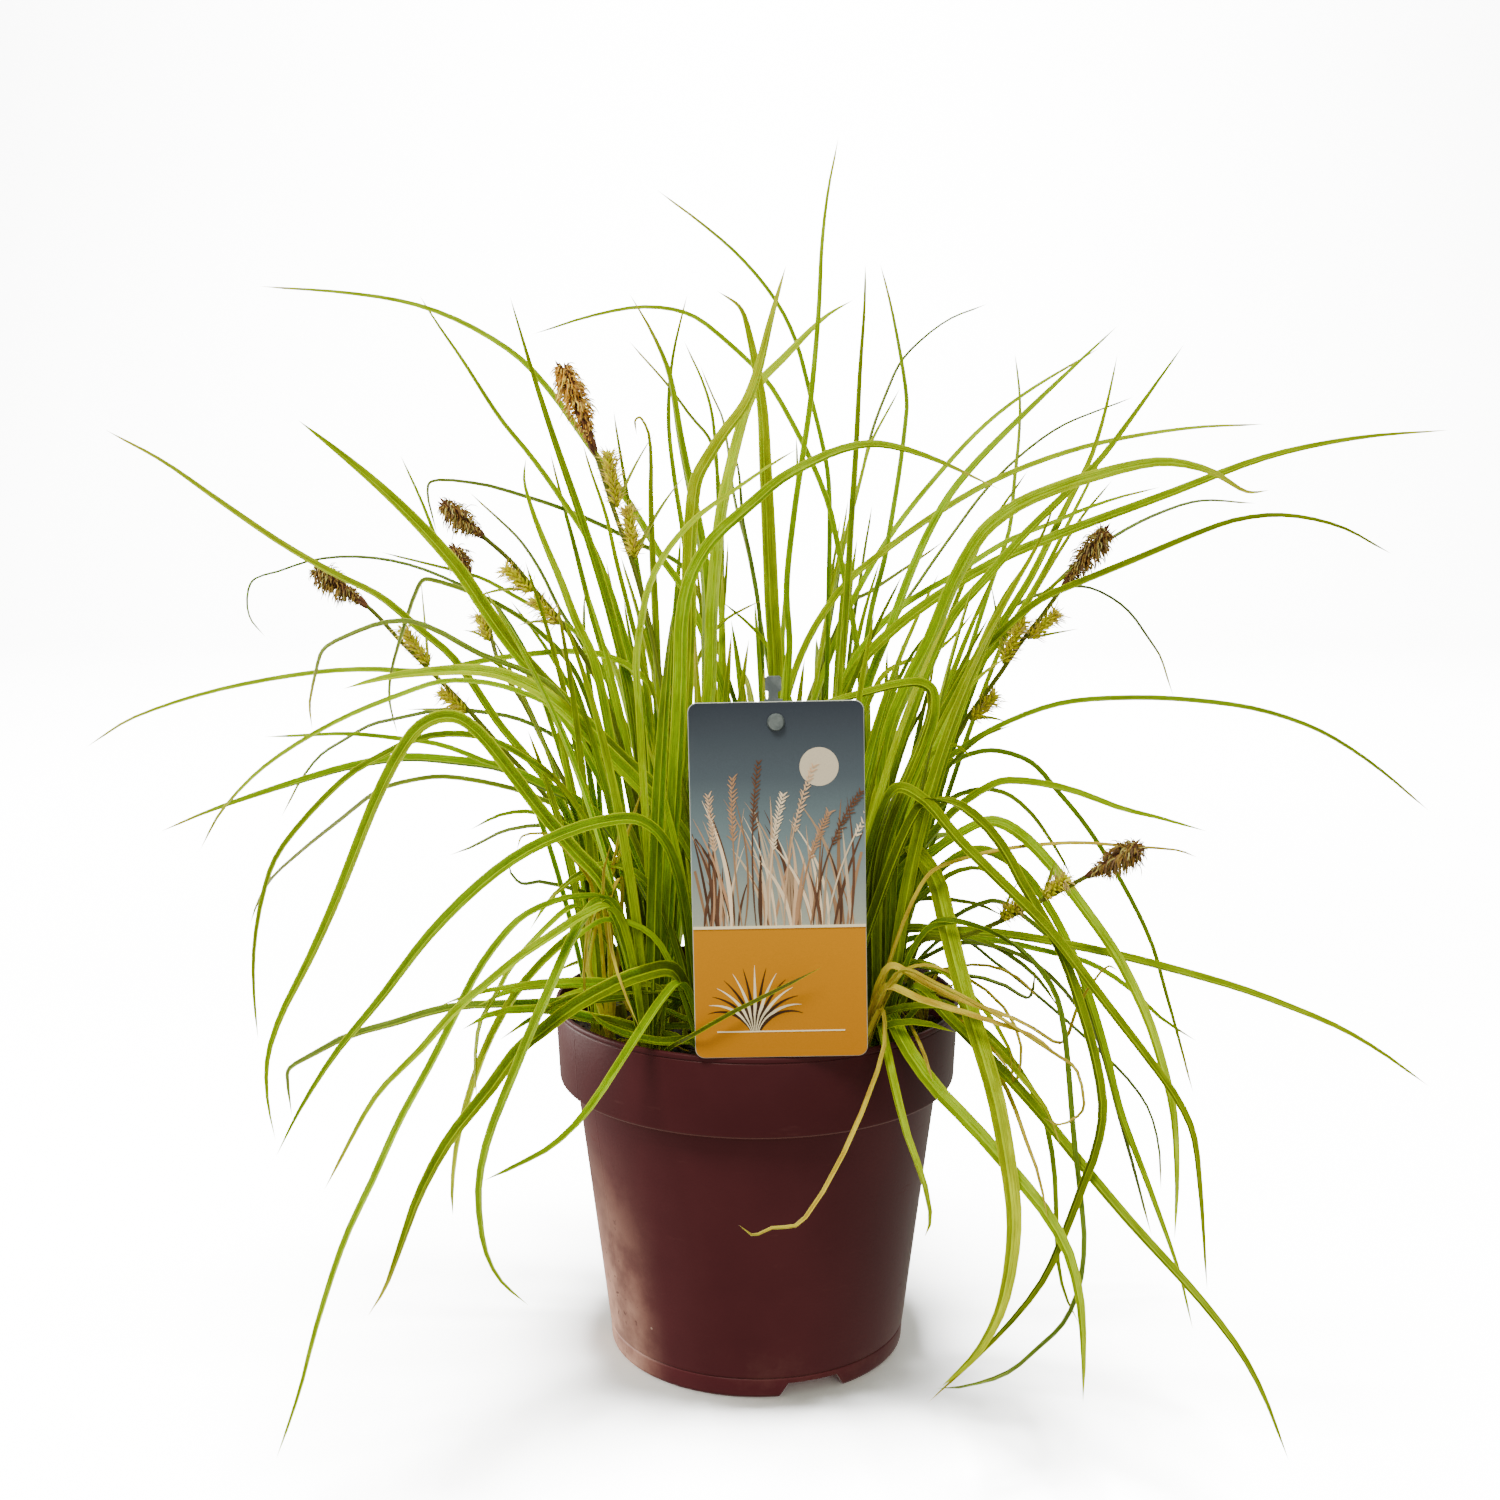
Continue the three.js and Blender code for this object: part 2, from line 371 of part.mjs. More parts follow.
// ---- Centre lines of all blades and stems --------------------------------------------------------
function nearestTiller(kind, row, across) {
  let best = -1;
  let bestDistance = Infinity;
  TILLERS.forEach(([, tillerKind, x, y], index) => {
    const inRow = kind !== 'green' || (y >= ROWS[row][0] && y < ROWS[row][1]);
    const distance = Math.abs(x - across);
    if (tillerKind === kind && inRow && distance < bestDistance) {
      best = index;
      bestDistance = distance;
    }
  });
  return best;
}

function kindOf(tint) {
  if (tint === 'yellow' || tint === 'straw') {
    return tint;
  }
  return 'green';
}

// Where a drawn line would meet the soil if it ran on from its two lowest points.
function footAcross(points) {
  const n = points.length;
  const low = fromSheet(points[n - 2], points[n - 1], 0);
  const high = fromSheet(points[n - 4], points[n - 3], 0);
  const drop = Math.max(low.z - SOIL_LEVEL, 0);
  const fall = Math.max(high.z - low.z, 6);
  const run = (low.x - high.x) / fall * drop * 0.55;
  return low.x + THREE.MathUtils.clamp(run, -0.3 * drop, 0.3 * drop);
}

function drawnPath(points, root, tipDepth) {
  const marks = [];
  for (let i = points.length - 2; i >= 0; i -= 2) {
    marks.push([points[i], points[i + 1]]);
  }
  const start = root[1];
  const lowest = fromSheet(marks[0][0], marks[0][1], 0);
  const length = [Math.max(lowest.distanceTo(new THREE.Vector3(start.x, 0, start.z)), 8)];
  for (let i = 1; i < marks.length; i += 1) {
    const step = Math.hypot(marks[i][0] - marks[i - 1][0], marks[i][1] - marks[i - 1][1]);
    length.push(length[i - 1] + step * BLADE_SCALE);
  }
  const total = length[length.length - 1];
  const line = [root[0], root[1]];
  marks.forEach((mark, i) => {
    const share = Math.pow(length[i] / total, 1.2);
    line.push(fromSheet(mark[0], mark[1], start.y + (tipDepth - start.y) * share));
  });
  return line;
}

function bladeRoot(tiller, toward, spread) {
  const [, , x, y] = TILLERS[tiller];
  const aim = Math.atan2(toward.y - y, toward.x - x);
  const inner = 0.8 * spread;
  const low = new THREE.Vector3(x + inner * Math.cos(aim), y + inner * Math.sin(aim), CROWN_TOP - 9);
  const high = new THREE.Vector3(x + spread * Math.cos(aim), y + spread * Math.sin(aim), CROWN_TOP - 1);
  return [low, high];
}

function stationCount(coordinates) {
  if (coordinates > 18) {
    return 10;
  }
  if (coordinates > 12) {
    return 8;
  }
  return coordinates > 10 ? 6 : 5;
}

function drawnBlades() {
  const blades = [];
  DRAWN_BLADES.forEach(([seen, depth, row, tint, points]) => {
    const kind = kindOf(tint);
    const tiller = nearestTiller(kind, row, footAcross(points));
    const toward = fromSheet(points[0], points[1], depth);
    const root = bladeRoot(tiller, toward, kind === 'straw' ? 1 : 2.7);
    const path = smoothPath(drawnPath(points, root, depth), 10);
    const count = stationCount(points.length);
    const seenWidth = seen * BLADE_SCALE;
    blades.push({
      tiller, tint, width: 1.0 + 0.9 * seenWidth, seen: seenWidth,
      line: [path[0]].concat(stations(path.slice(10), count)),
    });
  });
  return blades;
}

// An arching blade by rule: it leaves its tiller at one lean from upright and ends at another.
function archPath(root, bearing, length, leanFoot, leanTip, bow) {
  const path = [root[0], root[1]];
  const steps = 16;
  for (let i = 0; i < steps; i += 1) {
    const lean = leanFoot + (leanTip - leanFoot) * Math.pow((i + 0.5) / steps, bow);
    const from = path[path.length - 1];
    const step = length / steps;
    path.push(new THREE.Vector3(
      from.x + step * Math.sin(lean) * Math.cos(bearing),
      from.y + step * Math.sin(lean) * Math.sin(bearing),
      from.z + step * Math.cos(lean),
    ));
  }
  return path;
}

function ruledBlade(tiller, draw, bearing, length, leanFoot, leanTip, bow, width, count) {
  const [, , x, y] = TILLERS[tiller];
  const toward = new THREE.Vector3(x + Math.cos(bearing), y + Math.sin(bearing), 0);
  const root = bladeRoot(tiller, toward, 2.7);
  const path = archPath(root, bearing, length, leanFoot, leanTip, bow);
  return {
    tiller, ruled: true, width, turn: (draw() - 0.5) * 1.6,
    tint: ['lime', 'olive', 'lime', 'pale'][Math.floor(4 * draw())],
    line: [path[0]].concat(stations(path.slice(1), count)),
  };
}

// Upright blades that make the heart of the clump dense, and arching ones on its far side.
function ruledBlades() {
  const draw = seededDraw(90417);
  const blades = [];
  TILLERS.forEach(([, kind, x, y], tiller) => {
    if (kind !== 'green') {
      return;
    }
    const outward = Math.atan2(y, x + 0.1);
    const upright = y > 30 ? 3 : 4;
    for (let i = 0; i < upright; i += 1) {
      const bearing = outward + (i - 1.5) * 0.7 + (draw() - 0.5) * 0.5;
      const lean = 0.03 + 0.16 * draw() + 0.0022 * Math.abs(x);
      const length = 95 + 75 * draw();
      const width = 3.6 + 1.6 * draw();
      blades.push(ruledBlade(tiller, draw, bearing, length, lean * 0.5, lean * 2.4, 1.4, width, 5));
    }
    if (y > 30) {
      for (let i = 0; i < 4; i += 1) {
        const bearing = Math.PI / 2 - x * 0.006 + (i - 1.5) * 0.25 + (draw() - 0.5) * 0.15;
        const length = 100 + 30 * (i % 3) + 15 * draw();
        const leanFoot = 0.24 - 0.08 * (i % 3);
        const leanTip = 2.4 - 0.35 * (i % 3) - 0.4 * draw();
        const width = 3.4 + 1.8 * draw();
        blades.push(ruledBlade(tiller, draw, bearing, length, leanFoot, leanTip, 1.1, width, 6));
      }
    }
  });
  return blades;
}

function flowerStems() {
  return FLOWER_STEMS.map(([depth, foot, points, spikeLength, spikelets]) => {
    const low = new THREE.Vector3(foot[0], foot[1], STEM_FOOT);
    const high = new THREE.Vector3(foot[0], foot[1], CROWN_TOP - 1);
    const path = smoothPath(drawnPath(points, [low, high], depth), 10);
    return { spikeLength, spikelets, line: [path[0]].concat(stations(path.slice(10), 10)) };
  });
}

// ---- Room between tillers: centre lines are bent clear of each other -------------------------------
// Every centre line is a chain of links.  A link knows its section, so the room that two links
// need is measured along the line between their closest points.
const ROUNDS = 240;
const LOOK_AGAIN = 8;             // rounds between searches for neighbouring links
const MOST_LACK = 0.3;            // crowding beyond which a blade by rule is left out

function sectionFrames(line, turn) {
  const last = line.length - 1;
  const bearing = Math.atan2(line[last].y - line[1].y, line[last].x - line[1].x);
  const level = new THREE.Vector3(-Math.sin(bearing), Math.cos(bearing), 0);
  return line.map((point, i) => {
    const before = line[Math.max(i - 1, 0)];
    const after = line[Math.min(i + 1, last)];
    const along = after.clone().sub(before).normalize();
    const flat = level.clone().addScaledVector(along, -level.dot(along)).normalize();
    const normal = along.clone().cross(flat);
    const cos = Math.cos(turn);
    const sin = Math.sin(turn);
    const wide = flat.clone().multiplyScalar(cos).addScaledVector(normal, sin);
    const upper = normal.multiplyScalar(cos).addScaledVector(flat, -sin);
    return { along, wide, upper };
  });
}

// The turn about its own length at which a drawn blade shows its drawn width.
function shownTurn(blade) {
  const middle = Math.floor(blade.line.length * 0.55);
  const { wide, upper } = sectionFrames(blade.line, 0)[middle];
  const sight = blade.line[middle].clone().sub(STATION).normalize();
  let best = Infinity;
  let chosen = 0;
  for (let k = -18; k <= 18; k += 1) {
    const turn = k * Math.PI / 36;
    const side = wide.clone().multiplyScalar(Math.cos(turn)).addScaledVector(upper, Math.sin(turn));
    const shown = blade.width * Math.sqrt(1 - side.dot(sight) ** 2);
    const miss = Math.abs(shown - blade.seen) + 0.01 * Math.abs(k);
    if (miss < best) {
      best = miss;
      chosen = turn;
    }
  }
  return chosen;
}

function lengthShares(line) {
  const lengths = [0];
  for (let i = 1; i < line.length; i += 1) {
    lengths.push(lengths[i - 1] + line[i].distanceTo(line[i - 1]));
  }
  const total = lengths[lengths.length - 1];
  return { total, shares: lengths.map((length) => length / total) };
}

function bladeHalfWidth(width, share) {
  return 0.5 * width * Math.min(1, 0.5 + 3 * share) * Math.pow(1 - share ** 3, 0.8);
}

function keelDepth(half) {
  return 0.7 + 0.24 * half;
}

// Room a flower stem needs: wide where it carries spikes.
function stemRoom(stem, share, total) {
  const fromTop = (1 - share) * total;
  if (fromTop < stem.spikeLength + 2) {
    return 5.5;
  }
  const beside = stem.spikelets.some(([place, length]) => Math.abs(fromTop - place) < length * 0.6 + 4);
  return beside ? 5 : 1.4;
}

function makeChains(blades, stems) {
  const chains = [];
  blades.forEach((blade) => {
    const { shares } = lengthShares(blade.line);
    blade.turn = blade.ruled ? blade.turn : shownTurn(blade);
    blade.half = shares.map((share) => bladeHalfWidth(blade.width, share));
    chains.push({ group: blade.tiller, item: blade, line: blade.line, half: blade.half });
  });
  stems.forEach((stem, index) => {
    const { total, shares } = lengthShares(stem.line);
    stem.half = shares.map((share) => stemRoom(stem, share, total));
    chains.push({ group: 100 + index, item: stem, line: stem.line, half: stem.half, round: true });
  });
  TILLERS.forEach(([, kind, x, y], index) => {
    const line = [new THREE.Vector3(x, y, 100), new THREE.Vector3(x, y, CROWN_TOP)];
    const room = CROWN_RADIUS[kind] + 0.2;
    chains.push({ group: index, line, half: [room, room], round: true, fixed: true });
  });
  for (let k = -4; k <= 4; k += 1) {
    const x = PIN_PLACE[0] + 6.4 * k;
    const low = new THREE.Vector3(x + 2, PIN_PLACE[1] - 0.8, POT_HEIGHT + 2);
    const high = new THREE.Vector3(x, PIN_PLACE[1], k === 0 ? STAKE_TOP : POT_HEIGHT + CARD_HEIGHT);
    chains.push({ group: 200, line: [low, high], half: [3.4, 3.4], round: true, fixed: true });
  }
  return chains;
}

// How far a point must move to stand clear of the pot, the soil and the floor.
function clearOfPot(point, half) {
  const move = new THREE.Vector3();
  const radius = Math.hypot(point.x, point.y);
  const room = Math.min(half, 2.5) + 0.8;
  const above = POT_HEIGHT + room - point.z;
  const outside = RIM_RADIUS + room - radius;
  const inside = radius - (RIM_RADIUS - 2.5 - room);
  if (above > 0 && outside > 0 && inside > 0) {
    if (above < outside || radius < RIM_RADIUS - 2) {
      move.z = above;
    } else {
      move.set(point.x * outside / radius, point.y * outside / radius, 0);
    }
  } else if (inside <= 0 && point.z < SOIL_LEVEL + 2.5) {
    move.z = SOIL_LEVEL + 2.5 - point.z;
  } else if (point.z < FLOOR_ROOM) {
    move.z = FLOOR_ROOM - point.z;
  }
  return move;
}

function makeLinks(chains) {
  const links = [];
  chains.forEach((chain) => {
    for (let i = 0; i + 1 < chain.line.length; i += 1) {
      links.push({ chain, i, a: chain.line[i], b: chain.line[i + 1] });
    }
  });
  return links;
}

function neighbours(links) {
  links.forEach((link) => {
    const { a, b, chain, i } = link;
    link.middle = [(a.x + b.x) / 2, (a.y + b.y) / 2, (a.z + b.z) / 2];
    link.reach = a.distanceTo(b) / 2 + Math.max(chain.half[i], chain.half[i + 1]) + 2;
  });
  const pairs = [];
  for (let m = 0; m < links.length; m += 1) {
    const one = links[m];
    for (let n = m + 1; n < links.length; n += 1) {
      const two = links[n];
      const reach = one.reach + two.reach;
      const dx = one.middle[0] - two.middle[0];
      const dy = one.middle[1] - two.middle[1];
      const dz = one.middle[2] - two.middle[2];
      const apart = one.chain.group !== two.chain.group || (one.i > 1 && two.i > 1);
      const free = !(one.chain.fixed && two.chain.fixed) && one.chain !== two.chain;
      if (apart && free && dx * dx + dy * dy + dz * dz < reach * reach) {
        pairs.push([one, two]);
      }
    }
  }
  return pairs;
}

// Shares along two links at which they are closest.
function closestShares(one, two) {
  const ux = one.b.x - one.a.x;
  const uy = one.b.y - one.a.y;
  const uz = one.b.z - one.a.z;
  const vx = two.b.x - two.a.x;
  const vy = two.b.y - two.a.y;
  const vz = two.b.z - two.a.z;
  const wx = one.a.x - two.a.x;
  const wy = one.a.y - two.a.y;
  const wz = one.a.z - two.a.z;
  const uu = ux * ux + uy * uy + uz * uz;
  const uv = ux * vx + uy * vy + uz * vz;
  const vv = vx * vx + vy * vy + vz * vz;
  const uw = ux * wx + uy * wy + uz * wz;
  const vw = vx * wx + vy * wy + vz * wz;
  const spread = Math.max(uu * vv - uv * uv, 1e-6 * uu * vv);
  let s = Math.min(Math.max((uv * vw - vv * uw) / spread, 0), 1);
  let t = Math.min(Math.max((uv * s + vw) / vv, 0), 1);
  s = Math.min(Math.max((uv * t - uw) / uu, 0), 1);
  t = Math.min(Math.max((uv * s + vw) / vv, 0), 1);
  return [s, t];
}

// Half the thickness of a link's section measured along a direction.
function reachAlong(link, share, x, y, z) {
  const { chain, i } = link;
  const half = chain.half[i] * (1 - share) + chain.half[i + 1] * share;
  if (chain.round) {
    return half;
  }
  const { wide, upper } = chain.frames[i];
  const next = chain.frames[i + 1];
  const keel = keelDepth(half);
  const nearWide = wide.x * x + wide.y * y + wide.z * z;
  const farWide = next.wide.x * x + next.wide.y * y + next.wide.z * z;
  const nearUp = upper.x * x + upper.y * y + upper.z * z;
  const farUp = next.upper.x * x + next.upper.y * y + next.upper.z * z;
  const across = Math.abs(nearWide * (1 - share) + farWide * share);
  const over = nearUp * (1 - share) + farUp * share;
  return Math.max(half * across + 0.35 * keel * over, -0.65 * keel * over);
}

// The lack of room between two links, with the line between their closest points.
function crowding([one, two]) {
  const [s, t] = closestShares(one, two);
  const dx = one.a.x + (one.b.x - one.a.x) * s - two.a.x - (two.b.x - two.a.x) * t;
  const dy = one.a.y + (one.b.y - one.a.y) * s - two.a.y - (two.b.y - two.a.y) * t;
  const dz = one.a.z + (one.b.z - one.a.z) * s - two.a.z - (two.b.z - two.a.z) * t;
  const distance = Math.max(Math.sqrt(dx * dx + dy * dy + dz * dz), 1e-4);
  const x = dx / distance;
  const y = dy / distance;
  const z = dz / distance;
  const need = reachAlong(one, s, -x, -y, -z) + reachAlong(two, t, x, y, z) + BLADE_GAP;
  return { s, t, x, y, z, lack: need - distance };
}

function shift(link, share, x, y, z, amount) {
  if (link.chain.fixed) {
    return;
  }
  const { chain, i } = link;
  [[i, 1 - share], [i + 1, share]].forEach(([k, weight]) => {
    const sum = chain.pushes[k];
    sum.x += x * amount * weight;
    sum.y += y * amount * weight;
    sum.z += z * amount * weight;
    sum.weight += weight;
  });
}

function pushApart(pair) {
  const { s, t, x, y, z, lack } = crowding(pair);
  if (lack <= 0) {
    return;
  }
  // The push leans towards the depth of the elevation, which keeps the drawn outline.
  const side = y < 0 ? -1 : 1;
  const length = Math.sqrt(x * x + (y + 0.8 * side) ** 2 + z * z);
  const px = x / length;
  const py = (y + 0.8 * side) / length;
  const pz = z / length;
  const gain = x * px + y * py + z * pz;
  const both = pair[0].chain.fixed || pair[1].chain.fixed ? 1 : 0.5;
  const amount = 1.1 * both * lack / gain;
  shift(pair[0], s, px, py, pz, amount);
  shift(pair[1], t, px, py, pz, -amount);
}

function settle(chain) {
  const { line, pushes, moved } = chain;
  for (let k = 2; k < line.length; k += 1) {
    const push = pushes[k];
    const scale = 1 / Math.max(1, push.weight);
    const step = new THREE.Vector3(push.x * scale, push.y * scale, push.z * scale);
    moved[k].add(step.clampLength(0, 2.5));
  }
  const soft = moved.map((move) => move.clone());
  for (let k = 2; k < line.length; k += 1) {
    const after = moved[Math.min(k + 1, line.length - 1)];
    soft[k].lerp(moved[k - 1].clone().add(after).multiplyScalar(0.5), 0.06);
    moved[k] = soft[k];
    line[k].copy(chain.origin[k]).add(soft[k]);
  }
}

function potRoom(chain) {
  const { line, half } = chain;
  for (let k = 1; k + 1 < line.length; k += 1) {
    for (let step = 1; step <= 8; step += 1) {
      const share = step / 8;
      const point = line[k].clone().lerp(line[k + 1], share);
      const move = clearOfPot(point, half[k] * (1 - share) + half[k + 1] * share);
      if (move.lengthSq() > 0) {
        shift({ chain, i: k }, share, move.x, move.y, move.z, 1);
      }
    }
  }
}

function bendClear(chains) {
  const free = chains.filter((chain) => !chain.fixed);
  const links = makeLinks(chains);
  free.forEach((chain) => {
    chain.origin = chain.line.map((point) => point.clone());
    chain.moved = chain.line.map(() => new THREE.Vector3());
  });
  let pairs = [];
  for (let round = 0; round < ROUNDS; round += 1) {
    if (round % LOOK_AGAIN === 0) {
      free.filter((chain) => !chain.round).forEach((chain) => {
        chain.frames = sectionFrames(chain.line, chain.item.turn);
      });
      pairs = neighbours(links);
    }
    free.forEach((chain) => {
      chain.pushes = chain.line.map(() => ({ x: 0, y: 0, z: 0, weight: 0 }));
    });
    pairs.forEach(pushApart);
    free.forEach(potRoom);
    free.forEach(settle);
  }
  free.filter((chain) => !chain.round).forEach((chain) => {
    chain.frames = sectionFrames(chain.line, chain.item.turn);
  });
  return neighbours(links).filter(([one, two]) => (
    one.chain.group !== two.chain.group && crowding([one, two]).lack > MOST_LACK
  ));
}

// ---- Solids --------------------------------------------------------------------------------------
function solidFrom(positions, triangles) {
  const vertProperties = Float32Array.from(positions);
  const triVerts = Uint32Array.from(triangles);
  const solid = new wasm.Manifold(new wasm.Mesh({ numProp: 3, vertProperties, triVerts }));
  if (solid.volume() > 0) {
    return solid;
  }
  triVerts.reverse();
  return new wasm.Manifold(new wasm.Mesh({ numProp: 3, vertProperties, triVerts }));
}

// A closed skin over rings of points; the first ring is capped and the last closes on a point.
function ringSolid(rings, tip) {
  const sides = rings[0].length;
  const positions = rings.flat().concat([tip]).flatMap((point) => [point.x, point.y, point.z]);
  const triangles = [];
  for (let k = 1; k + 1 < sides; k += 1) {
    triangles.push(0, k + 1, k);
  }
  for (let r = 0; r + 1 < rings.length; r += 1) {
    for (let k = 0; k < sides; k += 1) {
      const a = r * sides + k;
      const b = r * sides + (k + 1) % sides;
      triangles.push(a, b, b + sides, a, b + sides, a + sides);
    }
  }
  const top = (rings.length - 1) * sides;
  for (let k = 0; k < sides; k += 1) {
    triangles.push(top + k, top + (k + 1) % sides, rings.length * sides);
  }
  return solidFrom(positions, triangles);
}

function solidFromGeometry(geometry) {
  const plain = geometry.clone();
  plain.deleteAttribute('normal');
  plain.deleteAttribute('uv');
  const merged = mergeVertices(plain, 1e-4);
  const index = merged.index.array;
  const triangles = [];
  for (let i = 0; i < index.length; i += 3) {
    const [a, b, c] = [index[i], index[i + 1], index[i + 2]];
    if (a !== b && b !== c && a !== c) {
      triangles.push(a, b, c);
    }
  }
  return solidFrom(merged.attributes.position.array, triangles);
}

function meshFrom(name, solid, colour, roughness, metalness) {
  const { numProp, vertProperties, triVerts } = solid.getMesh();
  const geometry = new THREE.BufferGeometry();
  const positions = new Float32Array(vertProperties.length / numProp * 3);
  for (let i = 0; i < positions.length / 3; i += 1) {
    positions.set(vertProperties.subarray(i * numProp, i * numProp + 3), i * 3);
  }
  geometry.setAttribute('position', new THREE.BufferAttribute(positions, 3));
  geometry.setIndex(new THREE.BufferAttribute(Uint32Array.from(triVerts), 1));
  geometry.computeVertexNormals();
  const material = new THREE.MeshStandardMaterial({ color: colour, roughness, metalness });
  const mesh = new THREE.Mesh(geometry, material);
  mesh.name = name;
  return mesh;
}

// The outer skin alone: pockets closed in between crossing leaves are filled.
function filled(solid) {
  return solid.decompose().reduce((most, part) => (part.volume() > most.volume() ? part : most));
}

function prism(sides, x, y, levels, turn) {
  const rings = levels.map(([z, radius]) => {
    const ring = [];
    for (let k = 0; k < sides; k += 1) {
      const angle = 2 * Math.PI * k / sides + turn;
      ring.push(new THREE.Vector3(x + radius * Math.cos(angle), y + radius * Math.sin(angle), z));
    }
    return ring;
  });
  const [topZ] = levels[levels.length - 1];
  return ringSolid(rings, new THREE.Vector3(x, y, topZ));
}

// ---- Pot and soil -----------------------------------------------------------------------------------
function lathe(profile, sides) {
  const points = profile.map(([radius, height]) => new THREE.Vector2(radius, height));
  return new THREE.LatheGeometry(points, sides).rotateX(Math.PI / 2);
}

function potSolid() {
  const profile = [
    [0, FOOT_HEIGHT - 0.9], [FOOT_RADIUS - 2.5, FOOT_HEIGHT - 0.9], [FOOT_RADIUS - 2.2, 0],
    [FOOT_RADIUS - 0.7, 0], [FOOT_RADIUS, 0.9],
    [FOOT_RADIUS + 0.3, FOOT_HEIGHT - 0.4], [FOOT_RADIUS - 0.1, FOOT_HEIGHT],
    [FOOT_RADIUS + 0.5, FOOT_HEIGHT + 0.5],
    [BODY_TOP_RADIUS, COLLAR_BOTTOM - 1], [RIM_RADIUS - 2, COLLAR_BOTTOM - 0.8],
    [RIM_RADIUS - 1.3, COLLAR_BOTTOM], [RIM_RADIUS - 0.2, POT_HEIGHT - 2.3],
    [RIM_RADIUS - 0.5, POT_HEIGHT - 2], [RIM_RADIUS, POT_HEIGHT - 1.6],
    [RIM_RADIUS, POT_HEIGHT - 0.4], [RIM_RADIUS - 0.5, POT_HEIGHT],
    [RIM_RADIUS - 1.4, POT_HEIGHT], [RIM_RADIUS - 1.2 - WALL, COLLAR_BOTTOM + 1.2],
    [RIM_RADIUS - 1.8 - WALL, COLLAR_BOTTOM + 0.6], [BODY_TOP_RADIUS - WALL, COLLAR_BOTTOM + 0.4],
    [FOOT_RADIUS - 0.5, FOOT_HEIGHT + FLOOR_THICKNESS],
    [0, FOOT_HEIGHT - 0.9 + FLOOR_THICKNESS],
  ];
  let pot = solidFromGeometry(lathe(profile, POT_SIDES));
  const outline = new THREE.Shape([
    new THREE.Vector2(-12.5, -1), new THREE.Vector2(12.5, -1),
    new THREE.Vector2(8.8, 5), new THREE.Vector2(-8.8, 5),
  ]);
  const notch = new THREE.ExtrudeGeometry(outline, { depth: 12, bevelEnabled: false });
  notch.rotateX(Math.PI / 2);
  notch.rotateZ(Math.PI / 2);
  notch.translate(FOOT_RADIUS - 8, 0, 0);
  for (let k = 0; k < NOTCH_COUNT; k += 1) {
    const turned = notch.clone();
    turned.rotateZ(THREE.MathUtils.degToRad(NOTCH_BEARING + 360 / NOTCH_COUNT * k));
    pot = pot.subtract(solidFromGeometry(turned));
  }
  return pot;
}

function soilHeight(x, y) {
  const waves = Math.sin(0.21 * x + 0.9) * Math.cos(0.17 * y - 0.4) + 0.6 * Math.sin(0.43 * y + 0.31 * x);
  return SOIL_LEVEL - 1.2 + 0.7 * waves;
}

function soilSolid() {
  const profile = [
    [0, FOOT_HEIGHT + FLOOR_THICKNESS - 0.5],
    [FOOT_RADIUS - 0.9, FOOT_HEIGHT + FLOOR_THICKNESS + 0.4],
    [BODY_TOP_RADIUS - WALL - 0.4, COLLAR_BOTTOM + 0.8],
    [RIM_RADIUS - 2.1 - WALL, COLLAR_BOTTOM + 1.1], [RIM_RADIUS - 1.6 - WALL, COLLAR_BOTTOM + 1.7],
    [RIM_RADIUS - 2.4, SOIL_LEVEL - 2], [55, SOIL_LEVEL], [0, SOIL_LEVEL],
  ];
  const geometry = lathe(profile, 20);
  const place = geometry.attributes.position;
  for (let i = 0; i < place.count; i += 1) {
    if (place.getZ(i) > SOIL_LEVEL - 1) {
      place.setZ(i, soilHeight(place.getX(i), place.getY(i)));
    }
  }
  let soil = solidFromGeometry(geometry);
  TILLERS.forEach(([, kind, x, y]) => {
    const radius = CROWN_RADIUS[kind] + GAP * 1.3;
    soil = soil.subtract(prism(5, x, y, [[CROWN_BOTTOM - GAP, radius], [SOIL_LEVEL + 5, radius]], 0));
  });
  FLOWER_STEMS.forEach(([, [x, y]]) => {
    const radius = STEM_RADIUS + GAP * 2;
    soil = soil.subtract(prism(5, x, y, [[STEM_FOOT - GAP, radius], [SOIL_LEVEL + 5, radius]], 0));
  });
  const slot = new THREE.BoxGeometry(STAKE_WIDTH + 2 * GAP, STAKE_THICKNESS + 2 * GAP, 20);
  slot.translate(stakeAcross(SOIL_LEVEL), STAKE_DEPTH, STAKE_FOOT - GAP + 10);
  return soil.subtract(solidFromGeometry(slot));
}

// ---- Tag: card and stake -----------------------------------------------------------------------------
function roundedRectangle(width, height, corner) {
  const x = width / 2;
  const y = height / 2;
  const shape = new THREE.Shape();
  shape.moveTo(-x + corner, -y);
  shape.lineTo(x - corner, -y);
  shape.absarc(x - corner, -y + corner, corner, -Math.PI / 2, 0, false);
  shape.lineTo(x, y - corner);
  shape.absarc(x - corner, y - corner, corner, 0, Math.PI / 2, false);
  shape.lineTo(-x + corner, y);
  shape.absarc(-x + corner, y - corner, corner, Math.PI / 2, Math.PI, false);
  shape.lineTo(-x, -y + corner);
  shape.absarc(-x + corner, -y + corner, corner, Math.PI, 1.5 * Math.PI, false);
  return shape;
}

function stakeAcross(z) {
  return PIN_PLACE[0] - 0.6 - (z - PIN_PLACE[2]) * CARD_LEAN;
}

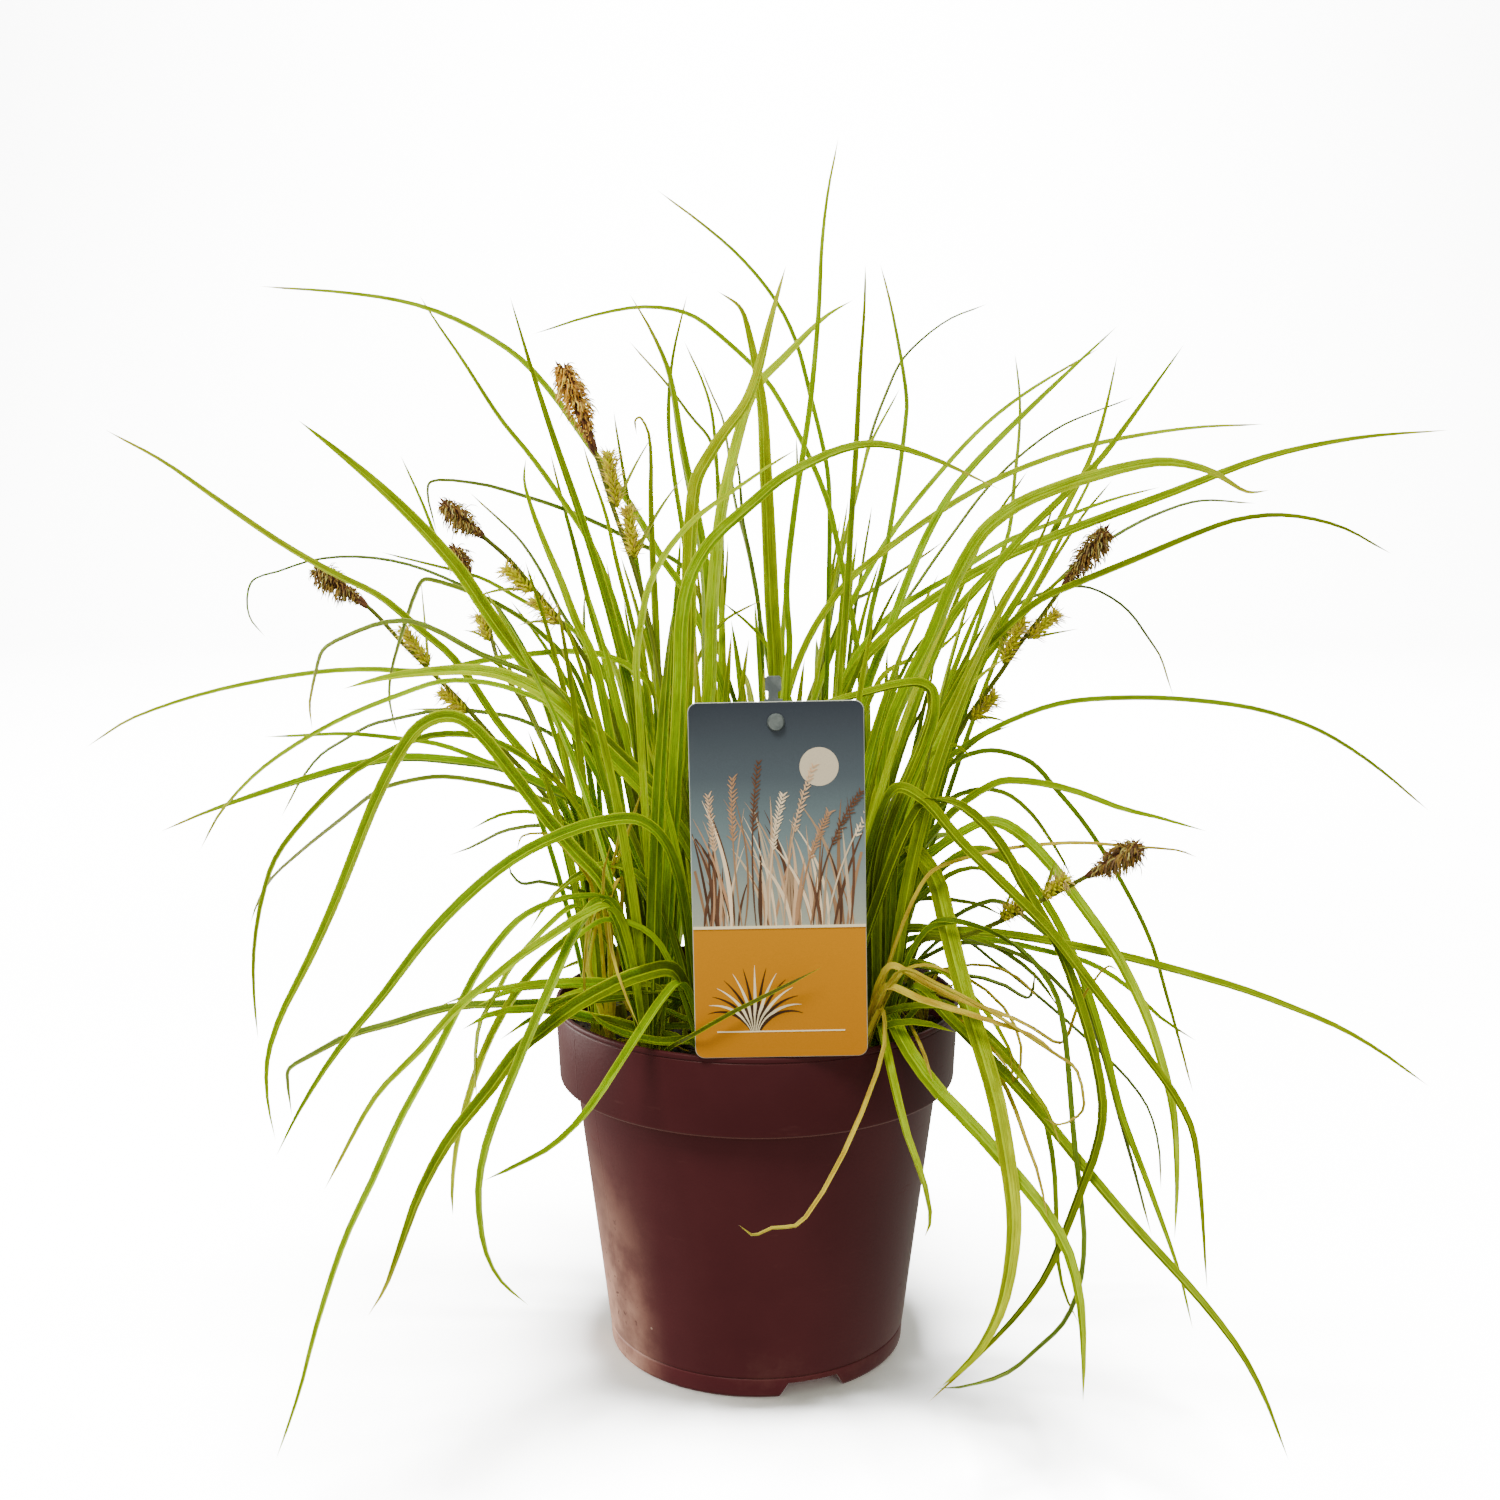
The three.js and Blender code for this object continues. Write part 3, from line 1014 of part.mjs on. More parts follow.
function cardSolid() {
  const shape = roundedRectangle(CARD_WIDTH, CARD_HEIGHT, CARD_CORNER);
  const hole = new THREE.Path();
  const holeHeight = CARD_HEIGHT / 2 - PIN_DROP;
  hole.absarc(0, holeHeight, PIN_RADIUS + GAP, 0, 2 * Math.PI, true);
  shape.holes.push(hole);
  const options = { depth: CARD_THICKNESS, bevelEnabled: false, curveSegments: 4 };
  const card = new THREE.ExtrudeGeometry(shape, options);
  card.translate(0, -holeHeight, -CARD_THICKNESS / 2);
  card.rotateX(Math.PI / 2);
  card.rotateY(-CARD_LEAN);
  card.rotateX(-CARD_TILT);
  card.translate(...PIN_PLACE);
  return solidFromGeometry(card);
}

function stakeSolid() {
  const half = STAKE_WIDTH / 2;
  const top = STAKE_TOP - PIN_PLACE[2];
  const foot = STAKE_FOOT - PIN_PLACE[2];
  const outline = new THREE.Shape([
    new THREE.Vector2(0, foot), new THREE.Vector2(half, foot + 5), new THREE.Vector2(half, top - 7.2),
    new THREE.Vector2(1.4, top - 7), new THREE.Vector2(1.4, top - 4.8), new THREE.Vector2(2.5, top - 4.3),
    new THREE.Vector2(2.5, top - 0.6), new THREE.Vector2(1.9, top), new THREE.Vector2(-1.9, top),
    new THREE.Vector2(-2.5, top - 0.6), new THREE.Vector2(-2.5, top - 4.3),
    new THREE.Vector2(-1.4, top - 4.8), new THREE.Vector2(-1.4, top - 7),
    new THREE.Vector2(-half, top - 7.2), new THREE.Vector2(-half, foot + 5),
  ]);
  const stick = new THREE.ExtrudeGeometry(outline, { depth: STAKE_THICKNESS, bevelEnabled: false });
  stick.translate(-0.6, 0, -STAKE_THICKNESS / 2);
  stick.rotateX(Math.PI / 2);
  stick.rotateY(-CARD_LEAN);
  stick.translate(PIN_PLACE[0], STAKE_DEPTH, PIN_PLACE[2]);
  const front = PIN_PLACE[1] - CARD_THICKNESS / 2 - GAP;
  const pin = new THREE.CylinderGeometry(PIN_RADIUS, PIN_RADIUS, STAKE_DEPTH - front + 0.5, 12);
  pin.translate(PIN_PLACE[0], (STAKE_DEPTH + front - 0.5) / 2, PIN_PLACE[2]);
  const knob = new THREE.CylinderGeometry(2.75, 2.3, 1.4, 16);
  knob.translate(PIN_PLACE[0], front - 0.7, PIN_PLACE[2]);
  return solidFromGeometry(stick).add(solidFromGeometry(pin)).add(solidFromGeometry(knob));
}

// ---- Leaves, stems and spikes ----------------------------------------------------------------------
// A blade is three-sided: a nearly flat upper face and a keel beneath.
function bladeSolid(blade) {
  const frames = sectionFrames(blade.line, blade.turn);
  const last = blade.line.length - 1;
  const rings = [];
  for (let i = 0; i < last; i += 1) {
    const { wide, upper } = frames[i];
    const half = blade.half[i];
    const keel = keelDepth(half);
    const top = blade.line[i].clone().addScaledVector(upper, 0.35 * keel);
    rings.push([
      top.clone().addScaledVector(wide, half),
      top.clone().addScaledVector(wide, -half),
      blade.line[i].clone().addScaledVector(upper, -0.65 * keel),
    ]);
  }
  return ringSolid(rings, blade.line[last]);
}

function tillerSolid(index, blades) {
  const [, kind, x, y] = TILLERS[index];
  const radius = CROWN_RADIUS[kind];
  const levels = [[CROWN_BOTTOM, radius - 0.4], [SOIL_LEVEL, radius], [CROWN_TOP, 0.8 * radius]];
  let solid = prism(5, x, y, levels, 0);
  blades.filter((blade) => blade.tiller === index).forEach((blade) => {
    solid = solid.add(bladeSolid(blade));
  });
  return filled(solid);
}

// A place on a chain measured down from its top, with the direction towards the top.
function downFromTop(line, distance) {
  let left = distance;
  let i = line.length - 1;
  while (i > 1 && left > line[i].distanceTo(line[i - 1])) {
    left -= line[i].distanceTo(line[i - 1]);
    i -= 1;
  }
  const along = line[i].clone().sub(line[i - 1]).normalize();
  return { i, along, point: line[i].clone().addScaledVector(along, -left) };
}

function acrossFrame(along) {
  const side = new THREE.Vector3(0, -1, 0).cross(along).normalize();
  return { side, facing: along.clone().cross(side).normalize() };
}

function stemSolid(stem) {
  const end = downFromTop(stem.line, stem.spikeLength + GAP);
  const centres = stem.line.slice(0, end.i).concat([end.point]);
  const rings = centres.map((centre, k) => {
    const next = centres[Math.min(k + 1, centres.length - 1)];
    const before = centres[Math.max(k - 1, 0)];
    const { side, facing } = acrossFrame(next.clone().sub(before).normalize());
    const radius = STEM_RADIUS * (1 - 0.3 * k / centres.length);
    return [0, 1, 2].map((corner) => {
      const angle = 2 * Math.PI * corner / 3 + Math.PI / 6;
      const point = centre.clone().addScaledVector(side, radius * Math.cos(angle));
      return point.addScaledVector(facing, radius * Math.sin(angle));
    });
  });
  return ringSolid(rings, end.point);
}

// A spindle core bristling with pointed scales.
function spikeSolid(axis, radius, scales, scaleLength, draw, bareSide) {
  const shape = [[0, 0.42], [0.1, 0.75], [0.3, 1], [0.6, 1], [0.85, 0.65]];
  const rings = shape.map(([share, width]) => {
    const { point, along } = axis(share);
    const { side, facing } = acrossFrame(along);
    return [0, 1, 2, 3, 4].map((corner) => {
      const angle = 2 * Math.PI * corner / 5;
      const place = point.clone().addScaledVector(side, radius * width * Math.cos(angle));
      return place.addScaledVector(facing, radius * width * Math.sin(angle));
    });
  });
  let solid = ringSolid(rings, axis(1).point);
  for (let k = 0; k < scales; k += 1) {
    const share = 0.12 + 0.78 * (k + draw() * 0.6) / scales;
    const angle = 2.4 * k + 0.5 * draw();
    const { point, along } = axis(share);
    const { side, facing } = acrossFrame(along);
    const out = side.multiplyScalar(Math.cos(angle)).addScaledVector(facing, Math.sin(angle));
    const reach = scaleLength * (0.75 + 0.5 * draw());
    if (out.dot(bareSide) < 0.25) {
      const aim = out.clone().addScaledVector(along, 0.9).normalize();
      const { side: baseSide, facing: baseFacing } = acrossFrame(aim);
      const base = [0, 1, 2].map((corner) => {
        const turn = 2 * Math.PI * corner / 3;
        const place = point.clone().addScaledVector(baseSide, 0.75 * Math.cos(turn));
        return place.addScaledVector(baseFacing, 0.75 * Math.sin(turn));
      });
      solid = solid.add(ringSolid([base], point.clone().addScaledVector(aim, reach)));
    }
  }
  return filled(solid);
}

function topSpike(stem, draw) {
  const axis = (share) => downFromTop(stem.line, stem.spikeLength * (1 - share));
  const size = 1.5 + stem.spikeLength * 0.025;
  const scales = Math.round(6 + stem.spikeLength * 0.25);
  return spikeSolid(axis, size, scales, 2.6 * size, draw, new THREE.Vector3());
}

function lowerSpikelet(stem, [place, length, hand], draw) {
  const start = downFromTop(stem.line, place + length / 2);
  const { side } = acrossFrame(start.along);
  side.multiplyScalar(hand);
  const radius = 1.2 + length * 0.04;
  const away = start.along.clone().addScaledVector(side, 0.3).normalize();
  const seat = STEM_RADIUS * 0.8 + GAP + radius * 0.42;
  const foot = start.point.clone().addScaledVector(side, seat);
  const axis = (share) => ({ point: foot.clone().addScaledVector(away, length * share), along: away });
  return spikeSolid(axis, radius, 7, 2.2 * radius, draw, side.clone().negate());
}

// ---- The whole plant in its pot ---------------------------------------------------------------------
const blades = drawnBlades().concat(ruledBlades());
const stems = flowerStems();
const crowded = bendClear(makeChains(blades, stems));
const leftOut = new Set(crowded.map(([one, two]) => (
  one.chain.item.ruled ? one.chain.item : two.chain.item
)));
const kept = blades.filter((blade) => !leftOut.has(blade) || !blade.ruled);

const group = new THREE.Group();
group.add(meshFrom('nursery_pot', potSolid(), '#5a2a2c', 0.45, 0));
group.add(meshFrom('potting_soil', soilSolid(), '#2a1c14', 0.95, 0));
group.add(meshFrom('tag_card', cardSolid(), '#c98a33', 0.5, 0));
group.add(meshFrom('tag_stake', stakeSolid(), '#5b5d60', 0.5, 0));
TILLERS.forEach(([name, kind], index) => {
  group.add(meshFrom(name, tillerSolid(index, kept), COLOURS[kind], 0.55, 0));
});
const draw = seededDraw(5521);
stems.forEach((stem, index) => {
  const number = index + 1;
  group.add(meshFrom(`flower_stem_${number}`, stemSolid(stem), '#4d5a1c', 0.6, 0));
  group.add(meshFrom(`top_spike_${number}`, topSpike(stem, draw), '#7c5138', 0.85, 0));
  stem.spikelets.forEach((spikelet, k) => {
    const name = `spikelet_${number}_${k + 1}`;
    group.add(meshFrom(name, lowerSpikelet(stem, spikelet, draw), '#b3a32c', 0.8, 0));
  });
});

export default group;
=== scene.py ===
"""Looks of a potted sedge: fine leaves, stems, spikes, soil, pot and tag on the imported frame.

Lengths are in millimetres until a mesh is made, and angles are in radians.  The frame's axes
are the row's: +Z up, the tag on the -Y side, the origin at the centre of the pot's foot.
"""
import math

import bmesh
import bpy
import numpy as np
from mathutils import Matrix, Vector, noise


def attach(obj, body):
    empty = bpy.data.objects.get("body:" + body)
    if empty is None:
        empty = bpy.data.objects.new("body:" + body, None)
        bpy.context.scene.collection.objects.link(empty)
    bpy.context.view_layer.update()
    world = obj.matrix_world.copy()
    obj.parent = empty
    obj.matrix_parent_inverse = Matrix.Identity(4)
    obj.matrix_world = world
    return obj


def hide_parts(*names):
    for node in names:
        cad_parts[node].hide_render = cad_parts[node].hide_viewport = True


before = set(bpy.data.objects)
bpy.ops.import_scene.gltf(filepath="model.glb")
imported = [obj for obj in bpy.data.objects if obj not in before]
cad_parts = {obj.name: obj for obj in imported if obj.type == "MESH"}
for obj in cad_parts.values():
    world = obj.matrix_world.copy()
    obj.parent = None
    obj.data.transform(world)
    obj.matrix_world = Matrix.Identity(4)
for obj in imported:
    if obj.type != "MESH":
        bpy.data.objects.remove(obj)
# A new file's own cube, light and camera would count in the boxes.
for spare in ("Cube", "Light", "Camera"):
    if spare in bpy.data.objects:
        bpy.data.objects.remove(bpy.data.objects[spare])
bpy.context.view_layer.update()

# ---- Driving dimensions, as in the solids ---------------------------------------------------
POT_HEIGHT = 124.0
RIM_RADIUS = 70.0
COLLAR_BOTTOM = 97.5
BODY_TOP_RADIUS = 63.1
FOOT_RADIUS = 51.7
FOOT_HEIGHT = 6.9
WALL = 1.2
FLOOR_THICKNESS = 1.6
NOTCH_COUNT = 3
NOTCH_BEARING = math.radians(-68.5)
SOIL_LEVEL = 110.0
CROWN_BOTTOM = 99.0
CROWN_TOP = 117.0
CARD_WIDTH = 54.0
CARD_HEIGHT = 112.0
CARD_THICKNESS = 0.7
CARD_CORNER = 3.0
CARD_LEAN = 0.0192
CARD_TILT = 0.0312
PIN_PLACE = np.array([5.8, -66.0, 230.0])
PIN_DROP = 6.3
PIN_RADIUS = 1.5
STAKE_TOP = 243.9
STEM_RADIUS = 1.3
STEM_FOOT = 99.0
BLADE_SCALE = 1 / 2.9           # millimetres to a unit of the elevation sheet
BLADE_GAP = 0.5
FLOOR_ROOM = 3.0

SEEDS = {"ruled blades": 90417, "leaves": 5501, "stems": 6203, "top spikes": (7001, 97),
         "spikelets": (8101, 89, 31), "compost": 3307, "litter": 2909, "print": 4409}

# ---- Tillers: name, kind and place -----------------------------------------------------------
TILLERS = [
    ("tiller_front_1", "green", -35, -40), ("tiller_front_2", "green", -16, -41),
    ("tiller_front_3", "green", 4, -39), ("tiller_front_4", "green", 23, -40),
    ("tiller_front_5", "green", 41, -38),
    ("tiller_left_1", "green", -53, -14), ("yellow_tiller_left", "yellow", -34, -14),
    ("tiller_inner_1", "green", -15, -15), ("yellow_tiller_middle", "yellow", 4, -13),
    ("tiller_inner_2", "green", 23, -14), ("yellow_tiller_right", "yellow", 42, -13),
    ("tiller_left_2", "green", -51, 12), ("tiller_inner_3", "green", -32, 12),
    ("tiller_inner_4", "green", -13, 12), ("tiller_inner_5", "green", 6, 12),
    ("tiller_inner_6", "green", 25, 12), ("tiller_right_1", "green", 44, 13),
    ("tiller_back_1", "green", -34, 38), ("tiller_back_2", "green", -15, 38),
    ("tiller_back_3", "green", 4, 38), ("tiller_back_4", "green", 23, 38),
    ("tiller_back_5", "green", 40, 36),
    ("straw_tuft_left", "straw", -49, -29), ("straw_tuft_front", "straw", 33, -53),
    ("straw_tuft_right", "straw", 57, -14),
]
ROWS = {"f": (-60, -30), "m": (-30, 0), "n": (0, 25), "b": (25, 60)}
CROWN_RADIUS = {"green": 5.4, "yellow": 5.4, "straw": 2.8}

# ---- Elevation sheet -------------------------------------------------------------------------
# The front elevation is drawn in perspective from a station in front of the pot, on a sheet
# 1500 units square.  The camera stands at the same station.
STATION = np.array([0.0, -650.0, 318.5])
STATION_PITCH = 0.165
SHEET_FOCUS = 1929.4
SHEET_SIZE = 1500.0
SHEET_MIDDLE = (757.0, 750.0)

# Each blade: width on the sheet, depth (Y) of its tip, row of its tiller, tint, and the points
# of its centre line on the sheet from the tip towards the root, each across and then down.
DRAWN_BLADES = [
    # left, high
    [6, 45, "n", "lime", [259, 286, 340, 292, 400, 301, 440, 313, 480, 332, 520, 359, 553, 395,
     585, 440, 610, 475, 640, 520, 663, 560, 690, 600]],
    [6, 70, "n", "lime", [419, 295, 440, 328, 460, 357, 500, 419, 530, 456, 560, 498, 600, 565]],
    [6, 25, "m", "yellow", [105, 430, 160, 460, 220, 502, 280, 543, 330, 572, 380, 597, 420, 630,
     450, 655, 470, 680, 500, 725, 530, 760, 560, 800]],
    [13, -30, "m", "yellow", [297, 420, 340, 454, 380, 488, 420, 527, 460, 573, 480, 603,
     510, 645, 540, 680, 580, 720, 620, 760, 660, 800]],
    [4, 60, "b", "grey", [437, 535, 427, 493, 430, 482, 480, 484, 520, 495, 560, 508, 600, 525,
     640, 545, 680, 565, 700, 600]],
    [2, 90, "b", "grey", [265, 637, 250, 620, 246, 600, 252, 580, 280, 570, 310, 560, 350, 556,
     400, 562, 450, 580, 500, 610]],
    [4, 80, "b", "olive", [380, 552, 440, 567, 480, 578, 520, 600, 560, 622, 590, 650]],
    [4, 10, "n", "grey", [398, 735, 390, 705, 390, 680, 397, 650, 405, 625, 415, 595, 424, 580,
     440, 582, 470, 592, 500, 605, 540, 632, 580, 680]],
    [5, -70, "m", "grey", [312, 730, 309, 705, 315, 675, 323, 650, 350, 635, 380, 624, 410, 622,
     440, 633, 480, 655, 520, 670, 560, 695]],
    [5, 12, "n", "lime", [85, 748, 124, 722, 167, 705, 215, 691, 268, 680, 325, 672, 370, 670,
     430, 672, 480, 662, 520, 656, 570, 652, 600, 655, 630, 668, 660, 700]],
    [12, -60, "m", "yellow", [342, 690, 383, 679, 430, 673, 478, 672, 517, 682, 555, 705,
     600, 750, 640, 790, 680, 835]],
    [4, -35, "m", "pale", [264, 737, 310, 735, 350, 734, 400, 739, 440, 745, 480, 760, 520, 780]],
    [4, -45, "m", "lime", [200, 850, 215, 820, 230, 800, 260, 770, 300, 742, 350, 715, 400, 695,
     440, 682, 480, 682, 520, 692, 560, 715]],
    [3, 55, "n", "grey", [281, 817, 300, 780, 320, 755, 340, 742, 370, 725, 400, 718, 440, 710,
     480, 712, 520, 720, 560, 740, 600, 770]],
    # left, low
    [9, -5, "m", "olive", [160, 832, 200, 815, 250, 797, 300, 781, 345, 768, 380, 761, 410, 758,
     450, 761, 500, 768, 540, 785, 600, 820]],
    [4, 50, "n", "grey", [250, 924, 256, 905, 270, 880, 300, 852, 340, 820, 380, 790, 415, 780,
     440, 777, 470, 780, 500, 786, 530, 795, 590, 830]],
    [5, -80, "m", "olive", [258, 1040, 254, 1000, 254, 950, 262, 900, 275, 860, 300, 825, 350, 775,
     380, 757, 410, 742, 440, 735, 480, 737, 520, 755, 570, 800]],
    [12, -105, "f", "pale", [276, 1141, 268, 1100, 268, 1060, 280, 1020, 310, 960, 335, 905,
     355, 855, 375, 805, 400, 755, 420, 728, 440, 717, 460, 717, 480, 730, 510, 765, 545, 810,
     580, 850, 610, 885]],
    [10, -125, "f", "lime", [276, 1157, 300, 1110, 335, 1055, 380, 1000, 430, 935, 480, 885,
     520, 855, 560, 835, 600, 822, 640, 820, 670, 850]],
    [6, -150, "f", "lime", [276, 1460, 300, 1390, 316, 1329, 345, 1240, 373, 1180, 400, 1120,
     430, 1065, 455, 1015, 475, 975, 495, 945, 520, 918, 550, 902, 580, 895, 610, 900]],
    [14, -152, "f", "olive", [368, 1317, 385, 1290, 400, 1250, 420, 1195, 450, 1140, 490, 1090,
     520, 1050, 545, 1030, 570, 1010, 600, 992, 640, 975, 675, 972]],
    [8, -135, "f", "lime", [528, 1305, 500, 1280, 485, 1250, 478, 1200, 480, 1170, 490, 1130,
     510, 1080, 530, 1030, 550, 985, 565, 950, 580, 920, 600, 900]],
    [7, -140, "f", "lime", [324, 1190, 345, 1150, 370, 1105, 385, 1085, 420, 1050, 455, 1010,
     490, 980, 520, 955, 550, 935, 580, 915, 610, 905]],
    [6, -110, "m", "yellow", [453, 1216, 452, 1190, 458, 1140, 468, 1100, 485, 1050, 505, 1010,
     530, 975, 560, 945, 590, 925]],
    [4, -95, "m", "lime", [478, 1100, 476, 1060, 482, 1020, 497, 995, 510, 970, 535, 940,
     580, 905]],
    [8, -128, "f", "lime", [484, 1180, 520, 1163, 550, 1147, 575, 1125, 595, 1100, 617, 1066,
     640, 1030, 660, 1000, 680, 980]],
    [7, -90, "f", "grey", [292, 1118, 288, 1085, 289, 1070, 310, 1057, 345, 1038, 400, 1022,
     440, 1010, 470, 1006, 530, 1004, 600, 1000, 650, 1000]],
    [3, 20, "n", "grey", [450, 855, 475, 845, 500, 832, 520, 827, 545, 825, 575, 832, 605, 855]],
    [3, -20, "m", "grey", [508, 862, 512, 875, 522, 884, 540, 882, 560, 886, 585, 893, 610, 908]],
    [5, -80, "f", "lime", [440, 1006, 470, 995, 500, 989, 540, 983, 580, 981, 620, 983, 660, 990]],
    # upright, in the middle
    [5, 0, "n", "lime", [838, 138, 828, 190, 822, 245, 819, 310, 811, 400, 804, 450, 795, 510,
     787, 590, 790, 640, 788, 690]],
    [4, 60, "b", "lime", [657, 190, 700, 222, 740, 257, 775, 300, 795, 340, 811, 400, 821, 440,
     828, 480, 828, 600, 826, 690]],
    [12, -35, "m", "yellow", [786, 265, 772, 315, 757, 375, 745, 405, 725, 432, 710, 455, 697, 480,
     692, 520, 690, 560, 690, 640]],
    [13, -10, "m", "yellow", [717, 291, 740, 308, 750, 340, 757, 375, 762, 410, 765, 470, 768, 530,
     771, 600, 775, 680]],
    [11, 15, "m", "yellow", [853, 300, 825, 317, 780, 362, 762, 380, 748, 405, 735, 450, 728, 480,
     722, 510, 716, 560, 712, 620, 710, 690]],
    [5, 40, "n", "lime", [533, 334, 590, 316, 645, 307, 690, 315, 730, 345, 767, 382, 790, 420,
     810, 460, 828, 505, 838, 550, 846, 590, 858, 660]],
    [13, 0, "n", "olive", [629, 294, 650, 330, 668, 372, 680, 440, 690, 490, 700, 540, 706, 600,
     706, 690]],
    [5, 60, "b", "lime", [687, 295, 672, 360, 668, 420, 674, 480, 682, 530, 690, 600]],
    [9, 15, "n", "olive", [509, 296, 530, 368, 553, 440, 577, 510, 590, 550, 605, 600, 618, 650,
     630, 700]],
    [3, 90, "b", "olive", [629, 341, 668, 385, 690, 415, 710, 440, 718, 480, 722, 540]],
    [4, 75, "b", "lime", [682, 341, 700, 380, 709, 410, 714, 460, 716, 520, 718, 600]],
    [2, 100, "b", "grey", [700, 365, 715, 400, 722, 415, 727, 440, 735, 500, 750, 560]],
    [7, -25, "m", "lime", [637, 435, 635, 420, 640, 417, 648, 430, 651, 450, 651, 500, 653, 560,
     656, 620, 660, 700]],
    [5, 30, "n", "lime", [614, 411, 620, 450, 628, 500, 636, 560, 646, 620, 655, 690]],
    [5, 45, "n", "pale", [582, 443, 590, 470, 605, 515, 615, 560, 630, 620, 645, 690]],
    [7, -15, "m", "yellow", [526, 458, 524, 480, 530, 505, 545, 545, 560, 580, 575, 620, 595, 665]],
    [6, 70, "b", "olive", [550, 452, 563, 505, 575, 550, 590, 610, 605, 665]],
    [3, 85, "b", "grey", [469, 492, 500, 520, 520, 540, 540, 570, 560, 610, 585, 650]],
    [6, -45, "f", "pale", [797, 449, 775, 462, 735, 490, 700, 515, 680, 535, 665, 555, 650, 585,
     643, 615, 637, 660, 640, 710]],
    [14, -50, "f", "lime", [1001, 490, 975, 478, 941, 462, 900, 448, 870, 444, 840, 450, 810, 463,
     780, 480, 745, 510, 722, 530, 705, 550, 690, 580, 682, 620, 680, 690]],
    [4, 65, "b", "grey", [730, 440, 738, 470, 742, 520, 750, 560, 758, 610, 762, 690]],
    [4, 85, "b", "olive", [796, 435, 797, 480, 792, 540, 784, 620, 782, 690]],
    # right, high
    [6, 5, "n", "olive", [865, 264, 864, 311, 860, 373, 856, 454, 851, 530, 847, 600, 842, 660,
     836, 710]],
    [5, 35, "b", "lime", [880, 264, 893, 316, 907, 400, 906, 420, 900, 470, 892, 520, 885, 560,
     872, 610, 862, 680]],
    [2, 110, "b", "grey", [987, 304, 950, 318, 920, 340, 900, 362, 885, 395, 872, 430, 860, 480,
     845, 540]],
    [4, 75, "b", "pale", [900, 388, 885, 415, 870, 445, 858, 490, 840, 560, 825, 630]],
    [8, 20, "n", "lime", [1117, 326, 1085, 356, 1047, 392, 1008, 430, 975, 464, 950, 495, 930, 530,
     910, 575, 890, 630, 870, 680]],
    [5, 65, "b", "lime", [1099, 348, 1023, 395, 980, 430, 930, 485, 895, 530, 870, 570, 845, 620]],
    [4, 90, "b", "olive", [1015, 354, 1020, 400, 1019, 440, 1015, 480, 1010, 530, 990, 590]],
    [8, 35, "n", "olive", [1117, 355, 1104, 416, 1090, 460, 1070, 500, 1050, 540, 1030, 580,
     1005, 620, 970, 680, 935, 745, 905, 810]],
    [9, 0, "m", "lime", [1184, 344, 1133, 416, 1100, 460, 1060, 500, 1020, 540, 990, 575, 955, 615,
     935, 655, 915, 710, 895, 770, 880, 830]],
    [2, 115, "b", "grey", [1133, 397, 1100, 409, 1060, 426, 1020, 455, 985, 490, 955, 530,
     920, 580, 895, 620]],
    [6, 50, "n", "pale", [1264, 424, 1190, 428, 1085, 447, 1000, 478, 940, 512, 880, 555, 850, 580,
     820, 620, 800, 660, 785, 710]],
    [10, 12, "n", "olive", [1449, 430, 1357, 438, 1267, 457, 1166, 495, 1056, 536, 1000, 560,
     956, 585, 900, 625, 860, 665, 835, 710]],
    [12, -30, "m", "yellow", [1269, 490, 1247, 492, 1209, 471, 1161, 462, 1094, 476, 1060, 487,
     1018, 505, 985, 530, 965, 560, 950, 590, 930, 640, 905, 690, 885, 750]],
    [3, 95, "b", "grey", [1255, 503, 1200, 500, 1160, 512, 1120, 532, 1080, 560, 1040, 598,
     1000, 640, 960, 700]],
    [6, -15, "m", "olive", [1391, 554, 1338, 526, 1281, 515, 1235, 520, 1200, 532, 1133, 560,
     1080, 582, 1040, 600, 1010, 625, 975, 660, 940, 720, 910, 780]],
    [2, 80, "b", "grey", [1173, 696, 1160, 655, 1150, 640, 1130, 612, 1110, 596, 1085, 586,
     1050, 590, 1000, 620]],
    [12, -55, "f", "olive", [845, 699, 870, 692, 900, 684, 920, 683, 930, 688, 932, 705, 922, 740,
     905, 780, 885, 830, 875, 880]],
    [4, -20, "m", "olive", [1428, 810, 1386, 774, 1350, 748, 1314, 728, 1260, 710, 1200, 701,
     1133, 698, 1060, 704, 1000, 726, 960, 750, 920, 790]],
    # right, low
    [4, 30, "n", "olive", [1193, 1092, 1182, 1050, 1165, 990, 1150, 940, 1120, 880, 1085, 825,
     1056, 790, 1030, 762, 1000, 751, 980, 751, 955, 760, 925, 785]],
    [9, -100, "f", "olive", [1207, 1288, 1203, 1230, 1200, 1190, 1192, 1130, 1175, 1095, 1150, 1060,
     1100, 995, 1050, 930, 1000, 880, 960, 840, 925, 800, 900, 790, 880, 830]],
    [8, -90, "m", "yellow", [1174, 1238, 1176, 1180, 1172, 1110, 1160, 1060, 1145, 1015, 1115, 955,
     1080, 905, 1045, 860, 1020, 835, 1000, 823, 985, 821, 960, 832, 930, 852, 900, 880]],
    [7, -45, "m", "pale", [1207, 831, 1160, 818, 1120, 808, 1080, 793, 1050, 785, 1020, 781,
     1000, 782, 975, 795, 950, 815, 920, 850, 890, 885]],
    [16, -125, "m", "yellow", [941, 1387, 975, 1355, 1000, 1310, 1012, 1250, 1013, 1209, 1005, 1150,
     994, 1094, 975, 1030, 960, 980, 945, 920, 935, 880, 918, 855, 905, 846, 893, 850, 880, 868]],
    [9, -110, "f", "olive", [927, 1403, 975, 1358, 1020, 1310, 1045, 1275, 1065, 1230, 1080, 1190,
     1095, 1150, 1102, 1110, 1095, 1060, 1078, 1000, 1060, 950, 1035, 905, 1020, 880, 1003, 848,
     980, 820, 950, 800, 925, 800, 905, 830]],
    [14, -130, "f", "lime", [1077, 1410, 1077, 1370, 1074, 1320, 1068, 1290, 1058, 1262, 1032, 1223,
